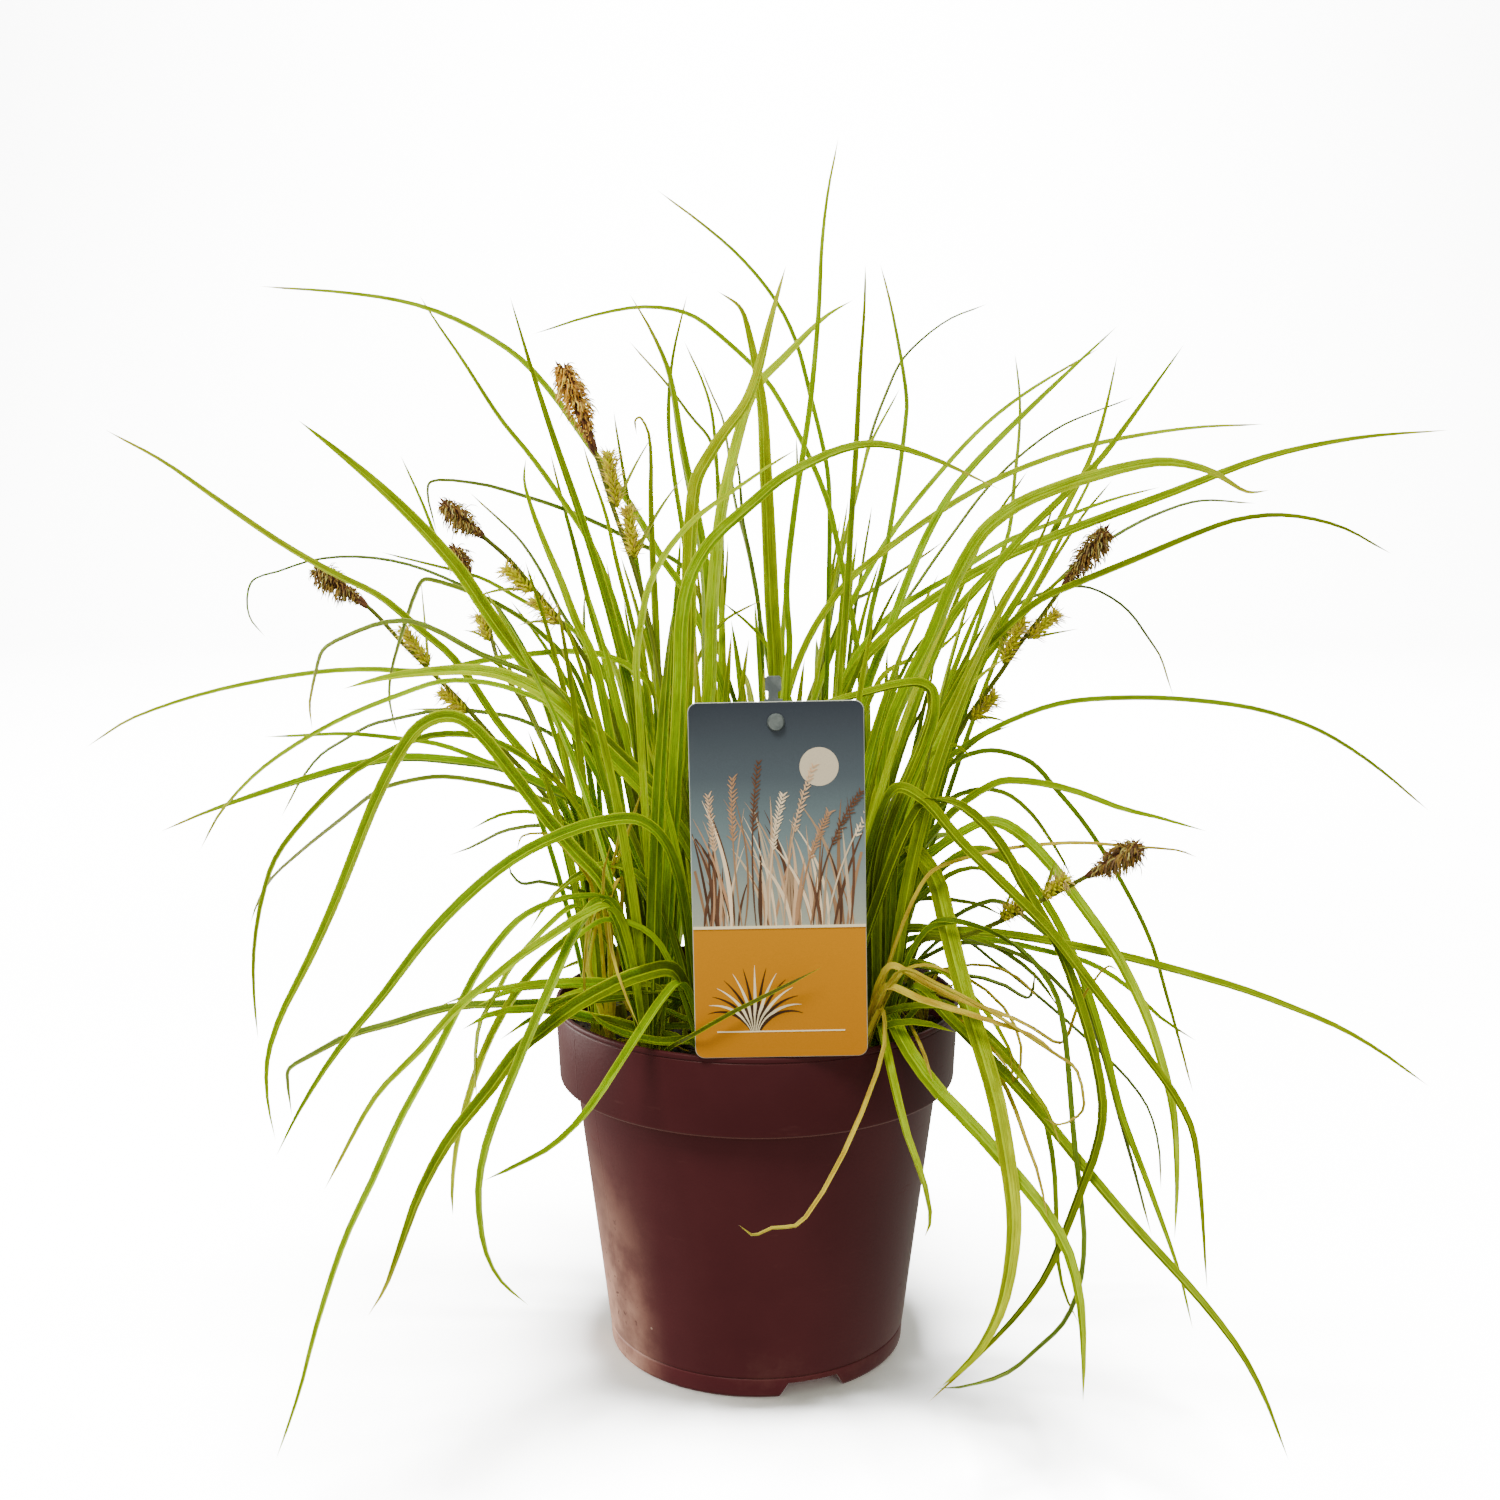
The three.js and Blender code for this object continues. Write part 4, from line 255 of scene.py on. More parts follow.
     1000, 1190, 960, 1150, 920, 1115, 895, 1085, 882, 1060, 876, 1035]],
    [9, -152, "f", "lime", [1289, 1459, 1262, 1390, 1240, 1350, 1210, 1310, 1180, 1275, 1130, 1220,
     1080, 1160, 1040, 1110, 1000, 1065, 975, 1040, 950, 1015, 915, 985]],
    [7, -60, "f", "olive", [1428, 1086, 1380, 1052, 1338, 1028, 1290, 1008, 1240, 990, 1180, 973,
     1120, 958, 1060, 946, 1000, 937, 940, 934, 900, 936]],
    [5, -35, "m", "olive", [1197, 1042, 1160, 1018, 1130, 990, 1090, 965, 1040, 952, 1000, 944,
     950, 940, 900, 945]],
    [7, -65, "m", "lime", [1193, 1329, 1180, 1275, 1150, 1190, 1120, 1110, 1105, 1050, 1090, 1000,
     1075, 960, 1050, 910, 1020, 870, 980, 850, 940, 870]],
    [3, -50, "m", "grey", [1152, 1235, 1135, 1170, 1118, 1110, 1105, 1060, 1085, 1000, 1060, 950,
     1030, 920, 990, 900]],
    [4, -120, "f", "grey", [938, 1387, 975, 1383, 1010, 1370, 1040, 1345, 1065, 1320, 1080, 1285,
     1085, 1240, 1082, 1200, 1075, 1140, 1070, 1080, 1065, 1030, 1055, 990, 1025, 950, 980, 925,
     930, 925]],
    [4, -85, "f", "olive", [1079, 1324, 1065, 1295, 1058, 1265, 1055, 1200, 1052, 1160, 1040, 1110,
     1010, 1060, 975, 1025, 930, 1000]],
    [2, 30, "n", "grey", [1161, 1190, 1160, 1150, 1150, 1110, 1130, 1080, 1100, 1050, 1050, 1005,
     1000, 965, 950, 935]],
    [8, -120, "f", "lime", [918, 1252, 923, 1238, 915, 1200, 898, 1161, 885, 1120, 875, 1080,
     871, 1045]],
    [4, -5, "m", "olive", [1073, 880, 1062, 858, 1048, 836, 1030, 812, 1005, 793,
     975, 790, 935, 812]],
    [3, -60, "m", "grey", [1036, 968, 1028, 997, 1005, 985, 985, 978, 960, 974, 930, 972,
     905, 985]],
    [4, -25, "m", "olive", [1005, 918, 980, 906, 950, 901, 920, 900, 900, 905, 885, 920]],
    # low over the compost and the rim
    [9, -42, "f", "lime", [553, 1016, 575, 1015, 600, 1019, 625, 1026, 650, 1034, 676, 1040]],
    [7, -56, "f", "olive", [588, 1016, 605, 1031, 630, 1041, 660, 1046, 692, 1044]],
    [6, -22, "m", "lime", [548, 1004, 570, 995, 595, 990, 625, 992, 655, 998, 692, 1002]],
    [5, -8, "m", "olive", [552, 975, 580, 963, 610, 958, 645, 961, 680, 972]],
    [5, -38, "m", "yellow", [642, 998, 660, 1008, 680, 1018, 704, 1026]],
    [7, 8, "m", "olive", [956, 1018, 925, 1022, 895, 1026, 860, 1028]],
    [6, 4, "n", "olive", [948, 1006, 915, 1008, 885, 1010, 855, 1012]],
    [4, 30, "n", "olive", [955, 986, 925, 978, 895, 972, 862, 968]],
    # straw and dead blades
    [5, -30, "m", "straw", [1197, 856, 1180, 849, 1133, 845, 1080, 841, 1040, 843, 1000, 848,
     960, 858, 925, 875]],
    [4, -100, "m", "straw", [1043, 1117, 1060, 1125, 1083, 1110, 1082, 1085, 1074, 1066, 1050, 1050,
     1020, 1030, 980, 1005, 940, 985, 900, 970]],
    [4, -75, "m", "straw", [1118, 970, 1108, 965, 1080, 1000, 1060, 1042, 1020, 1020, 970, 1005,
     920, 990]],
    [8, -95, "m", "straw", [1040, 1228, 1030, 1180, 1015, 1140, 1000, 1100, 975, 1060, 945, 1020,
     905, 1000]],
    [6, -78, "m", "straw", [1012, 1078, 990, 1050, 970, 1030, 950, 1015, 930, 1000, 905, 978]],
    [7, -116, "f", "straw", [738, 1233, 755, 1244, 774, 1238, 798, 1238, 831, 1195, 872, 1109,
     884, 1070, 880, 1045]],
    [4, -93, "f", "straw", [931, 1085, 922, 1055, 908, 1025, 895, 1005]],
    [6, -62, "m", "straw", [592, 1010, 585, 985, 586, 960, 590, 930, 597, 905, 608, 885]],
    [5, -70, "m", "straw", [638, 1030, 625, 1000, 612, 960, 607, 925, 609, 895, 618, 880]],
    [5, -50, "m", "straw", [645, 788, 636, 815, 628, 840, 616, 870, 612, 900]],
    [4, -55, "m", "straw", [517, 850, 522, 836, 545, 833, 560, 843, 575, 860, 592, 885]],
]

# Flower stems: depth of the tip, foot in plan, centre line on the sheet from the top down,
# length of the top spike, then the lower spikelets as [place along the stem from the top,
# length, side].
FLOWER_STEMS = [
    [40, [-42, 25], [316, 570, 345, 590, 372, 610, 400, 640, 420, 660, 460, 700,
     500, 745, 560, 815],
     27, [[44, 17, -1], [68, 12, 1]]],
    [-8, [-25, -2], [445, 505, 465, 522, 485, 538, 510, 560, 535, 590, 560, 620,
     580, 650, 610, 710],
     20, [[34, 12, 1], [48, 12, 1]]],
    [65, [-24, 25], [452, 550, 462, 562, 472, 578, 487, 620, 500, 665, 525, 705,
     545, 745, 575, 800],
     14, [[32, 10, 1]]],
    [-20, [-5, -28], [563, 368, 580, 410, 597, 455, 615, 510, 633, 560, 645, 600,
     655, 640, 665, 690,
     675, 740], 34, [[38, 18, -1], [56, 17, -1]]],
    [-12, [33, 0], [1106, 533, 1085, 560, 1061, 591, 1040, 620, 1020, 645, 1000, 675, 985, 695,
     960, 730, 930, 785], 27, [[36, 13, -1], [46, 16, 1], [70, 12, -1]]],
    [-80, [52, -27], [1137, 846, 1110, 862, 1080, 879, 1050, 895, 1030, 905, 1000, 920, 960, 935,
     920, 940], 25, [[32, 11, 1], [50, 10, 1]]],
]

# Fine leaves between the others, in the same form; the solids leave them out.
FINE_BLADES = [
    # right, inside the clump
    [6, 30, "n", "lime", [1160, 487, 1120, 497, 1080, 511, 1050, 524, 1010, 540, 980, 558, 955, 575,
     925, 592, 895, 612, 865, 645, 850, 668]],
    [6, 10, "n", "olive", [1000, 560, 985, 595, 968, 635, 955, 668, 940, 705, 925, 745]],
    [4, 0, "m", "yellow", [1032, 555, 1006, 593, 988, 628, 975, 660, 960, 700, 940, 750]],
    [5, -10, "n", "lime", [1085, 562, 1045, 592, 1020, 620, 985, 660, 955, 700, 930, 750]],
    [7, -20, "m", "olive", [1056, 499, 1040, 540, 1012, 590, 985, 640, 960, 690,
     935, 740, 915, 790]],
    [5, 40, "n", "pale", [1108, 442, 1090, 480, 1070, 520, 1045, 570, 1015, 620, 985, 660]],
    [4, 60, "n", "olive", [1112, 480, 1085, 512, 1060, 550, 1030, 600, 1000, 650]],
    [5, 50, "b", "olive", [1028, 470, 1000, 510, 982, 540, 965, 580, 945, 630, 925, 680]],
    [4, 70, "b", "grey", [945, 540, 920, 558, 895, 575, 870, 592, 850, 605]],
    [5, 45, "n", "lime", [975, 610, 950, 640, 930, 655, 905, 662, 880, 680]],
    [5, 20, "n", "olive", [940, 620, 915, 650, 895, 690, 880, 740, 870, 790]],
    [6, -30, "f", "lime", [1010, 655, 985, 672, 960, 700, 935, 750, 912, 800, 895, 850]],
    [3, 60, "b", "olive", [872, 505, 866, 540, 860, 580, 855, 610, 850, 650]],
    [5, -40, "f", "lime", [975, 760, 955, 745, 935, 752, 915, 785, 900, 830]],
    [4, 0, "m", "olive", [1012, 725, 985, 735, 960, 755, 935, 785, 915, 830]],
    [5, -45, "f", "yellow", [1000, 880, 980, 868, 955, 872, 930, 890, 905, 915]],
    [15, -59, "f", "olive", [770, 722, 810, 708, 845, 698, 872, 691, 900, 684, 920, 683, 931, 690,
     933, 710, 923, 745, 906, 785, 886, 835, 876, 880]],
    # middle, above the tag
    [4, 60, "b", "olive", [840, 520, 834, 560, 828, 600, 826, 650, 824, 690]],
    [4, 40, "n", "lime", [762, 600, 745, 608, 725, 620, 708, 640, 695, 670]],
    [5, 20, "n", "olive", [720, 600, 740, 616, 760, 636, 775, 660]],
    [5, 70, "b", "olive", [728, 540, 726, 580, 723, 620, 722, 660, 722, 690]],
    [6, 50, "b", "lime", [880, 560, 868, 600, 858, 640, 850, 680]],
    [4, 60, "b", "pale", [848, 500, 840, 550, 832, 590, 824, 640, 815, 690]],
    # left, inside the clump
    [4, 20, "n", "pale", [400, 455, 412, 480, 425, 510, 437, 540, 470, 590, 510, 650, 550, 710]],
    [4, 30, "n", "lime", [585, 590, 584, 620, 586, 660, 592, 700]],
    [3, 60, "b", "grey", [606, 560, 612, 590, 620, 625, 630, 660]],
    [6, -20, "m", "lime", [470, 600, 500, 630, 530, 665, 560, 705, 590, 750]],
    [5, 10, "n", "olive", [480, 655, 510, 672, 540, 695, 570, 725, 600, 765]],
    [5, -30, "f", "olive", [500, 740, 530, 757, 560, 785, 585, 820, 605, 860]],
    [5, 30, "n", "olive", [510, 600, 540, 640, 565, 680, 590, 730]],
    [4, -10, "m", "lime", [470, 830, 500, 815, 530, 812, 560, 822, 590, 850]],
    [6, -45, "f", "lime", [545, 905, 570, 880, 600, 865, 630, 870, 655, 895]],
    [4, -30, "f", "yellow", [530, 930, 550, 900, 575, 880, 605, 880, 630, 900]],
    [5, -60, "f", "lime", [560, 960, 580, 935, 605, 920, 635, 925, 660, 945]],
    # low on the right
    [4, -30, "f", "olive", [1060, 1010, 1040, 980, 1010, 955, 980, 940, 945, 935, 915, 945]],
    [3, -50, "m", "grey", [1095, 1060, 1085, 1020, 1060, 985, 1030, 960, 990, 945, 950, 945]],
    [4, -60, "f", "lime", [1020, 1075, 1005, 1040, 985, 1010, 960, 985, 930, 965, 905, 965]],
    [3, -70, "m", "straw", [1010, 1050, 1015, 1085, 1022, 1050, 1010, 1015, 980, 985, 940, 970]],
    [3, -60, "m", "straw", [1040, 1000, 1020, 978, 990, 965, 960, 965, 930, 975]],
    [4, -50, "m", "straw", [985, 1010, 965, 985, 945, 970, 920, 965, 900, 975]],
    [10, -72, "m", "straw", [1046, 1036, 1022, 1022, 998, 1012, 955, 998, 919, 980, 890, 966]],
    [11, -84, "m", "straw", [1062, 1058, 1034, 1036, 1000, 1024, 960, 1011, 920, 999, 885, 987]],
    [7, -92, "m", "olive", [1061, 1146, 1045, 1107, 1019, 1075, 998, 1051, 972, 1027,
     940, 1006, 915, 990]],
    # low blades over the left rim
    [9, -70, "f", "yellow", [478, 1006, 500, 995, 520, 988, 560, 985, 600, 984, 640, 990,
     680, 999]],
    [10, -85, "f", "yellow", [462, 1030, 490, 1015, 520, 1010, 560, 1012, 586, 1018, 612, 1022,
     640, 1030, 664, 1040]],
    [6, -60, "f", "straw", [612, 840, 604, 870, 603, 900, 606, 925, 609, 944, 616, 972, 626, 1000,
     636, 1020, 650, 1036, 672, 1046]],
    [7, -62, "f", "olive", [500, 1040, 530, 1020, 558, 1004, 586, 995, 620, 991,
     660, 990, 690, 992]],
    # low blades over the right rim
    [8, -70, "f", "olive", [968, 1016, 945, 1008, 920, 1006, 895, 1010, 872, 1020]],
    [8, -72, "f", "olive", [955, 1032, 930, 1024, 905, 1022, 880, 1028, 862, 1036]],
    [7, -60, "m", "olive", [975, 1000, 950, 992, 925, 990, 900, 996, 875, 1006]],
    # straw tips over the left heart
    [4, -48, "m", "straw", [622, 815, 617, 845, 610, 875, 601, 905, 594, 935, 590, 965]],
    [4, -46, "m", "straw", [590, 893, 588, 920, 587, 945, 588, 970]],
]

# A dead blade that leans out round the card's edge and lies across its front, in millimetres.
CARD_BLADE_TILLER = 0
CARD_BLADE = [
    [-33, -42, 108], [-31, -46, 116], [-27, -58, 124], [-20, -71.5, 132], [-8, -72.5, 139.5],
    [6, -73, 147], [20, -73.5, 154.5],
]

# ---- Centre lines ----------------------------------------------------------------------------
PATH_STEPS = 10                 # short lengths between two points of a smooth path
BEND_WORTH = 30                 # the length that a turn of one radian counts for
LINKS_PAST_POINTS = ((18, 10), (12, 8), (10, 6), (0, 5))
DEPTH_POWER = 1.2               # a blade comes forward more towards its tip
ROOT_REACH = 2.7                # from the crown's middle to a blade's root
STRAW_ROOT_REACH = 1
RULED_TINTS = ("lime", "olive", "lime", "pale")
HEART_LINKS, ARCH_LINKS, STEM_LINKS = 5, 6, 10
FAR_SIDE = 30                   # depth past which a tiller has arching blades


def seeded_draw(seed):
    """A function that gives the next number of one fixed series between 0 and 1."""
    state = seed

    def draw():
        nonlocal state
        state = (state * 16807) % 2147483647
        return state / 2147483647
    return draw


def norms(vectors):
    return np.linalg.norm(vectors, axis=1)


def units(vectors):
    return vectors / np.maximum(norms(vectors), 1e-9)[:, None]


def running(lengths):
    """The sum of the lengths so far, from nothing on."""
    return np.concatenate([[0], np.cumsum(lengths)])


def directions(line):
    """The way of a line at each of its points."""
    after = np.concatenate([line[1:], line[-1:]])
    before = np.concatenate([line[:1], line[:-1]])
    return units(after - before)


def angles_round(sides):
    return np.arange(sides) * 2 * math.pi / sides


def from_sheet(across, down, depth):
    """The place at a depth that lies behind a point of the sheet, seen from the station."""
    right = (across - SHEET_MIDDLE[0]) / SHEET_FOCUS
    up = (SHEET_MIDDLE[1] - down) / SHEET_FOCUS
    cos, sin = math.cos(STATION_PITCH), math.sin(STATION_PITCH)
    reach = (depth - STATION[1]) / (cos + up * sin)
    return np.array([reach * right, depth, STATION[2] + reach * (up * cos - sin)])


def smooth_path(points, steps):
    """A smooth curve through points, with `steps` short lengths between each two."""
    points = np.array(points)
    gaps = np.diff(points, axis=0)
    knots = running(np.sqrt(norms(gaps)))
    spans = np.diff(knots)[:, None]
    slopes = gaps / spans
    tangents = np.empty_like(points)
    tangents[0], tangents[-1] = slopes[0], slopes[-1]
    wide = (points[2:] - points[:-2]) / (spans[1:] + spans[:-1])
    tangents[1:-1] = slopes[:-1] + slopes[1:] - wide
    u = (np.arange(1, steps + 1) / steps)[None, :, None]
    cubic = (
        (2 * u**3 - 3 * u**2 + 1) * points[:-1, None]
        + (u**3 - 2 * u**2 + u) * spans[:, None] * tangents[:-1, None]
        + (3 * u**2 - 2 * u**3) * points[1:, None]
        + (u**3 - u**2) * spans[:, None] * tangents[1:, None]
    )
    return np.concatenate([points[:1], cubic.reshape(-1, 3)])


def bend_weights(path):
    """Running length along a path, in which a bend counts as extra length."""
    steps = np.diff(path, axis=0)
    ways = units(steps)
    turns = np.zeros(len(steps))
    turns[1:] = np.arccos(np.clip((ways[1:] * ways[:-1]).sum(1), -1, 1))
    return running(norms(steps) + BEND_WORTH * turns)


def stations(path, count):
    """Places along a path, closer together at its bends, as fractions of its point numbers."""
    weights = bend_weights(path)
    return np.interp(np.linspace(0, weights[-1], count), weights, np.arange(len(path)))


def along_path(path, places):
    """Points of a path at fractional point numbers."""
    index = np.minimum(places.astype(int), len(path) - 2)
    share = (places - index)[:, None]
    return path[index] * (1 - share) + path[index + 1] * share


def nearest_tiller(kind, row, across):
    """The number of the tiller of a kind, and of a row if it is green, nearest to an X."""
    low, high = ROWS[row]
    fits = [i for i, (_, k, _, y) in enumerate(TILLERS)
            if k == kind and (kind != "green" or low <= y < high)]
    return min(fits, key=lambda i: abs(TILLERS[i][2] - across))


def foot_across(points):
    """Where a drawn line would meet the soil if it ran on from its two lowest points."""
    low = from_sheet(points[-2], points[-1], 0)
    high = from_sheet(points[-4], points[-3], 0)
    drop = max(low[2] - SOIL_LEVEL, 0)
    least_fall, straightening, most_run = 6, 0.55, 0.3 * drop
    fall = max(high[2] - low[2], least_fall)
    run = (low[0] - high[0]) / fall * drop * straightening
    return low[0] + min(max(run, -most_run), most_run)


def drawn_path(points, root, tip_depth):
    """A drawn line in space, from its root out, with its depth spread along its length."""
    marks = np.array(points, float).reshape(-1, 2)[::-1]
    start = root[1]
    lowest = from_sheet(marks[0][0], marks[0][1], 0)
    shortest = 8
    first = max(np.linalg.norm(lowest - [start[0], 0, start[2]]), shortest)
    length = first + running(norms(np.diff(marks, axis=0)) * BLADE_SCALE)
    depths = start[1] + (tip_depth - start[1]) * (length / length[-1]) ** DEPTH_POWER
    line = [from_sheet(mark[0], mark[1], depth) for mark, depth in zip(marks, depths)]
    return [root[0], root[1]] + line


def blade_root(tiller, toward, reach):
    """The two lowest points of a blade, in its tiller's crown."""
    _, _, x, y = TILLERS[tiller]
    low, high = 9, 1
    aim = math.atan2(toward[1] - y, toward[0] - x)
    way = np.array([math.cos(aim), math.sin(aim), 0])
    foot = np.array([x, y, CROWN_TOP])
    return [foot + 0.8 * reach * way - [0, 0, low], foot + reach * way - [0, 0, high]]


def set_out(path, skip, count):
    """The path with the places of its links' ends: its first point, then stations."""
    places = np.concatenate([[0], skip + stations(path[skip:], count)])
    return {"path": path, "places": places, "line": along_path(path, places)}


def drawn_blades(sheet):
    """The blades of a list, each with the solids' link count and its width in millimetres."""
    blades = []
    for seen, depth, row, tint, points in sheet:
        kind = tint if tint in ("yellow", "straw") else "green"
        tiller = nearest_tiller(kind, row, foot_across(points))
        toward = from_sheet(points[0], points[1], depth)
        root = blade_root(tiller, toward, STRAW_ROOT_REACH if kind == "straw" else ROOT_REACH)
        path = smooth_path(drawn_path(points, root, depth), PATH_STEPS)
        count = next(links for past, links in LINKS_PAST_POINTS if len(points) > past)
        seen_width = seen * BLADE_SCALE
        blades.append({"tiller": tiller, "tint": tint, "width": 1.0 + 0.9 * seen_width,
                       "seen": seen_width, **set_out(path, PATH_STEPS, count)})
    return blades


def arch_path(root, bearing, length, lean_foot, lean_tip, bow):
    """An arch from a root, which leans from upright by more and more along its length."""
    steps = 16
    lean = lean_foot + (lean_tip - lean_foot) * ((np.arange(steps) + 0.5) / steps) ** bow
    way = np.stack([np.sin(lean) * math.cos(bearing), np.sin(lean) * math.sin(bearing),
                    np.cos(lean)], axis=1)
    points = root[1] + np.cumsum(way * length / steps, axis=0)
    return np.concatenate([np.array(root), points])


def ruled_blade(tiller, draw, bearing, length, lean_foot, lean_tip, bow, width, count):
    _, _, x, y = TILLERS[tiller]
    root = blade_root(tiller, [x + math.cos(bearing), y + math.sin(bearing)], ROOT_REACH)
    path = arch_path(root, bearing, length, lean_foot, lean_tip, bow)
    turn = (draw() - 0.5) * 1.6
    tint = RULED_TINTS[int(len(RULED_TINTS) * draw())]
    return {"tiller": tiller, "ruled": True, "width": width, "turn": turn, "tint": tint,
            **set_out(path, 1, count)}


def ruled_blades():
    """Upright blades in the heart of the clump, and arching ones on its far side."""
    draw = seeded_draw(SEEDS["ruled blades"])
    blades = []
    for tiller, (_, kind, x, y) in enumerate(TILLERS):
        if kind != "green":
            continue
        outward = math.atan2(y, x + 0.1)
        for i in range(3 if y > FAR_SIDE else 4):
            bearing = outward + (i - 1.5) * 0.7 + (draw() - 0.5) * 0.5
            lean = 0.03 + 0.16 * draw() + 0.0022 * abs(x)
            length = 95 + 75 * draw()
            width = 3.6 + 1.6 * draw()
            blades.append(ruled_blade(tiller, draw, bearing, length, lean * 0.5, lean * 2.4,
                                      1.4, width, HEART_LINKS))
        for i in range(4 if y > FAR_SIDE else 0):
            bearing = math.pi / 2 - x * 0.006 + (i - 1.5) * 0.25 + (draw() - 0.5) * 0.15
            length = 100 + 30 * (i % 3) + 15 * draw()
            lean_foot = 0.24 - 0.08 * (i % 3)
            lean_tip = 2.4 - 0.35 * (i % 3) - 0.4 * draw()
            width = 3.4 + 1.8 * draw()
            blades.append(ruled_blade(tiller, draw, bearing, length, lean_foot, lean_tip,
                                      1.1, width, ARCH_LINKS))
    return blades


def flower_stems():
    stems = []
    for depth, (x, y), points, spike_length, spikelets in FLOWER_STEMS:
        root = [np.array([x, y, STEM_FOOT]), np.array([x, y, CROWN_TOP - 1.0])]
        path = smooth_path(drawn_path(points, root, depth), PATH_STEPS)
        stems.append({"spike_length": spike_length, "spikelets": spikelets,
                      **set_out(path, PATH_STEPS, STEM_LINKS)})
    return stems


# ---- Centre lines bent clear of each other, as in the solids -----------------------------------
ROUNDS = 240
LOOK_AGAIN = 8                  # rounds between two looks for neighbours
MOST_LACK = 0.3                 # a ruled blade that stays more crowded is left out
MIDDLE_SHARE = 0.55             # place along a blade where its drawn width is taken
SPIKE_ROOM, SPIKELET_ROOM, STEM_ROOM = 5.5, 5, 1.4
STEM_GROUP, CARD_GROUP = 100, 200
CARD_RODS, CARD_ROD_STEP, CARD_ROD_ROOM = 4, 6.4, 3.4
PUSH = 1.1                      # pushes are a little longer than what is lacking
PUSH_IN_DEPTH = 0.8             # and lean towards the front or the back
LONGEST_STEP = 2.5
SMOOTHING = 0.06
POT_LOOKS = 8                   # places along a link that are kept clear of the pot


def section_frames(line, turn):
    """Directions along a line, across its leaf and up from the leaf's face, at each point."""
    bearing = math.atan2(line[-1, 1] - line[1, 1], line[-1, 0] - line[1, 0])
    level = np.array([-math.sin(bearing), math.cos(bearing), 0])
    along = directions(line)
    flat = units(level - along * (along @ level)[:, None])
    normal = np.cross(along, flat)
    cos, sin = np.cos(turn)[..., None], np.sin(turn)[..., None]
    return along, flat * cos + normal * sin, normal * cos - flat * sin


def shown_turn(blade):
    """The turn about its own length at which a drawn blade shows its drawn width."""
    line = blade["line"]
    middle = int(len(line) * MIDDLE_SHARE)
    _, wide, upper = section_frames(line, np.zeros(len(line)))
    sight = line[middle] - STATION
    sight /= np.linalg.norm(sight)
    best, chosen = math.inf, 0
    for k in range(-18, 19):
        turn = k * math.pi / 36
        side = wide[middle] * math.cos(turn) + upper[middle] * math.sin(turn)
        shown = blade["width"] * math.sqrt(max(1 - (side @ sight) ** 2, 0))
        miss = abs(shown - blade["seen"]) + 0.01 * abs(k)
        if miss < best:
            best, chosen = miss, turn
    return chosen


def length_shares(line):
    """A line's length, and the share of it at each point."""
    lengths = running(norms(np.diff(line, axis=0)))
    return lengths[-1], lengths / lengths[-1]


def blade_half_width(width, share):
    """Half the width of the solids' blades at shares of their length."""
    return 0.5 * width * np.minimum(1, 0.5 + 3 * share) * np.maximum(1 - share**3, 0) ** 0.8


def keel_depth(half):
    return 0.7 + 0.24 * half


def stem_room(stem, share, total):
    """Half the room that a stem takes at a share of its length, with its spikes."""
    from_top = (1 - share) * total
    if from_top < stem["spike_length"] + 2:
        return SPIKE_ROOM
    beside = any(abs(from_top - place) < length * 0.6 + 4
                 for place, length, _ in stem["spikelets"])
    return SPIKELET_ROOM if beside else STEM_ROOM


def make_chains(blades, stems):
    """Blades and stems as chains that move, and crowns and card as chains that stay."""
    chains = []
    for blade in blades:
        _, shares = length_shares(blade["line"])
        blade.setdefault("turn", None)
        blade["turn"] = blade["turn"] if blade.get("ruled") else shown_turn(blade)
        chains.append({"group": blade["tiller"], "item": blade, "line": blade["line"],
                       "half": blade_half_width(blade["width"], shares), "round": False})
    for index, stem in enumerate(stems):
        total, shares = length_shares(stem["line"])
        room = np.array([stem_room(stem, share, total) for share in shares])
        chains.append({"group": STEM_GROUP + index, "item": stem, "line": stem["line"],
                       "half": room, "round": True})
    for index, (_, kind, x, y) in enumerate(TILLERS):
        room = CROWN_RADIUS[kind] + 0.2
        chains.append({"group": index, "half": np.array([room, room]), "round": True,
                       "line": np.array([[x, y, 100.0], [x, y, CROWN_TOP]])})
    for k in range(-CARD_RODS, CARD_RODS + 1):
        x = PIN_PLACE[0] + CARD_ROD_STEP * k
        top = STAKE_TOP if k == 0 else POT_HEIGHT + CARD_HEIGHT
        line = np.array([[x + 2, PIN_PLACE[1] - 0.8, POT_HEIGHT + 2], [x, PIN_PLACE[1], top]])
        chains.append({"group": CARD_GROUP, "half": np.array([CARD_ROD_ROOM, CARD_ROD_ROOM]),
                       "round": True, "line": line})
    return chains


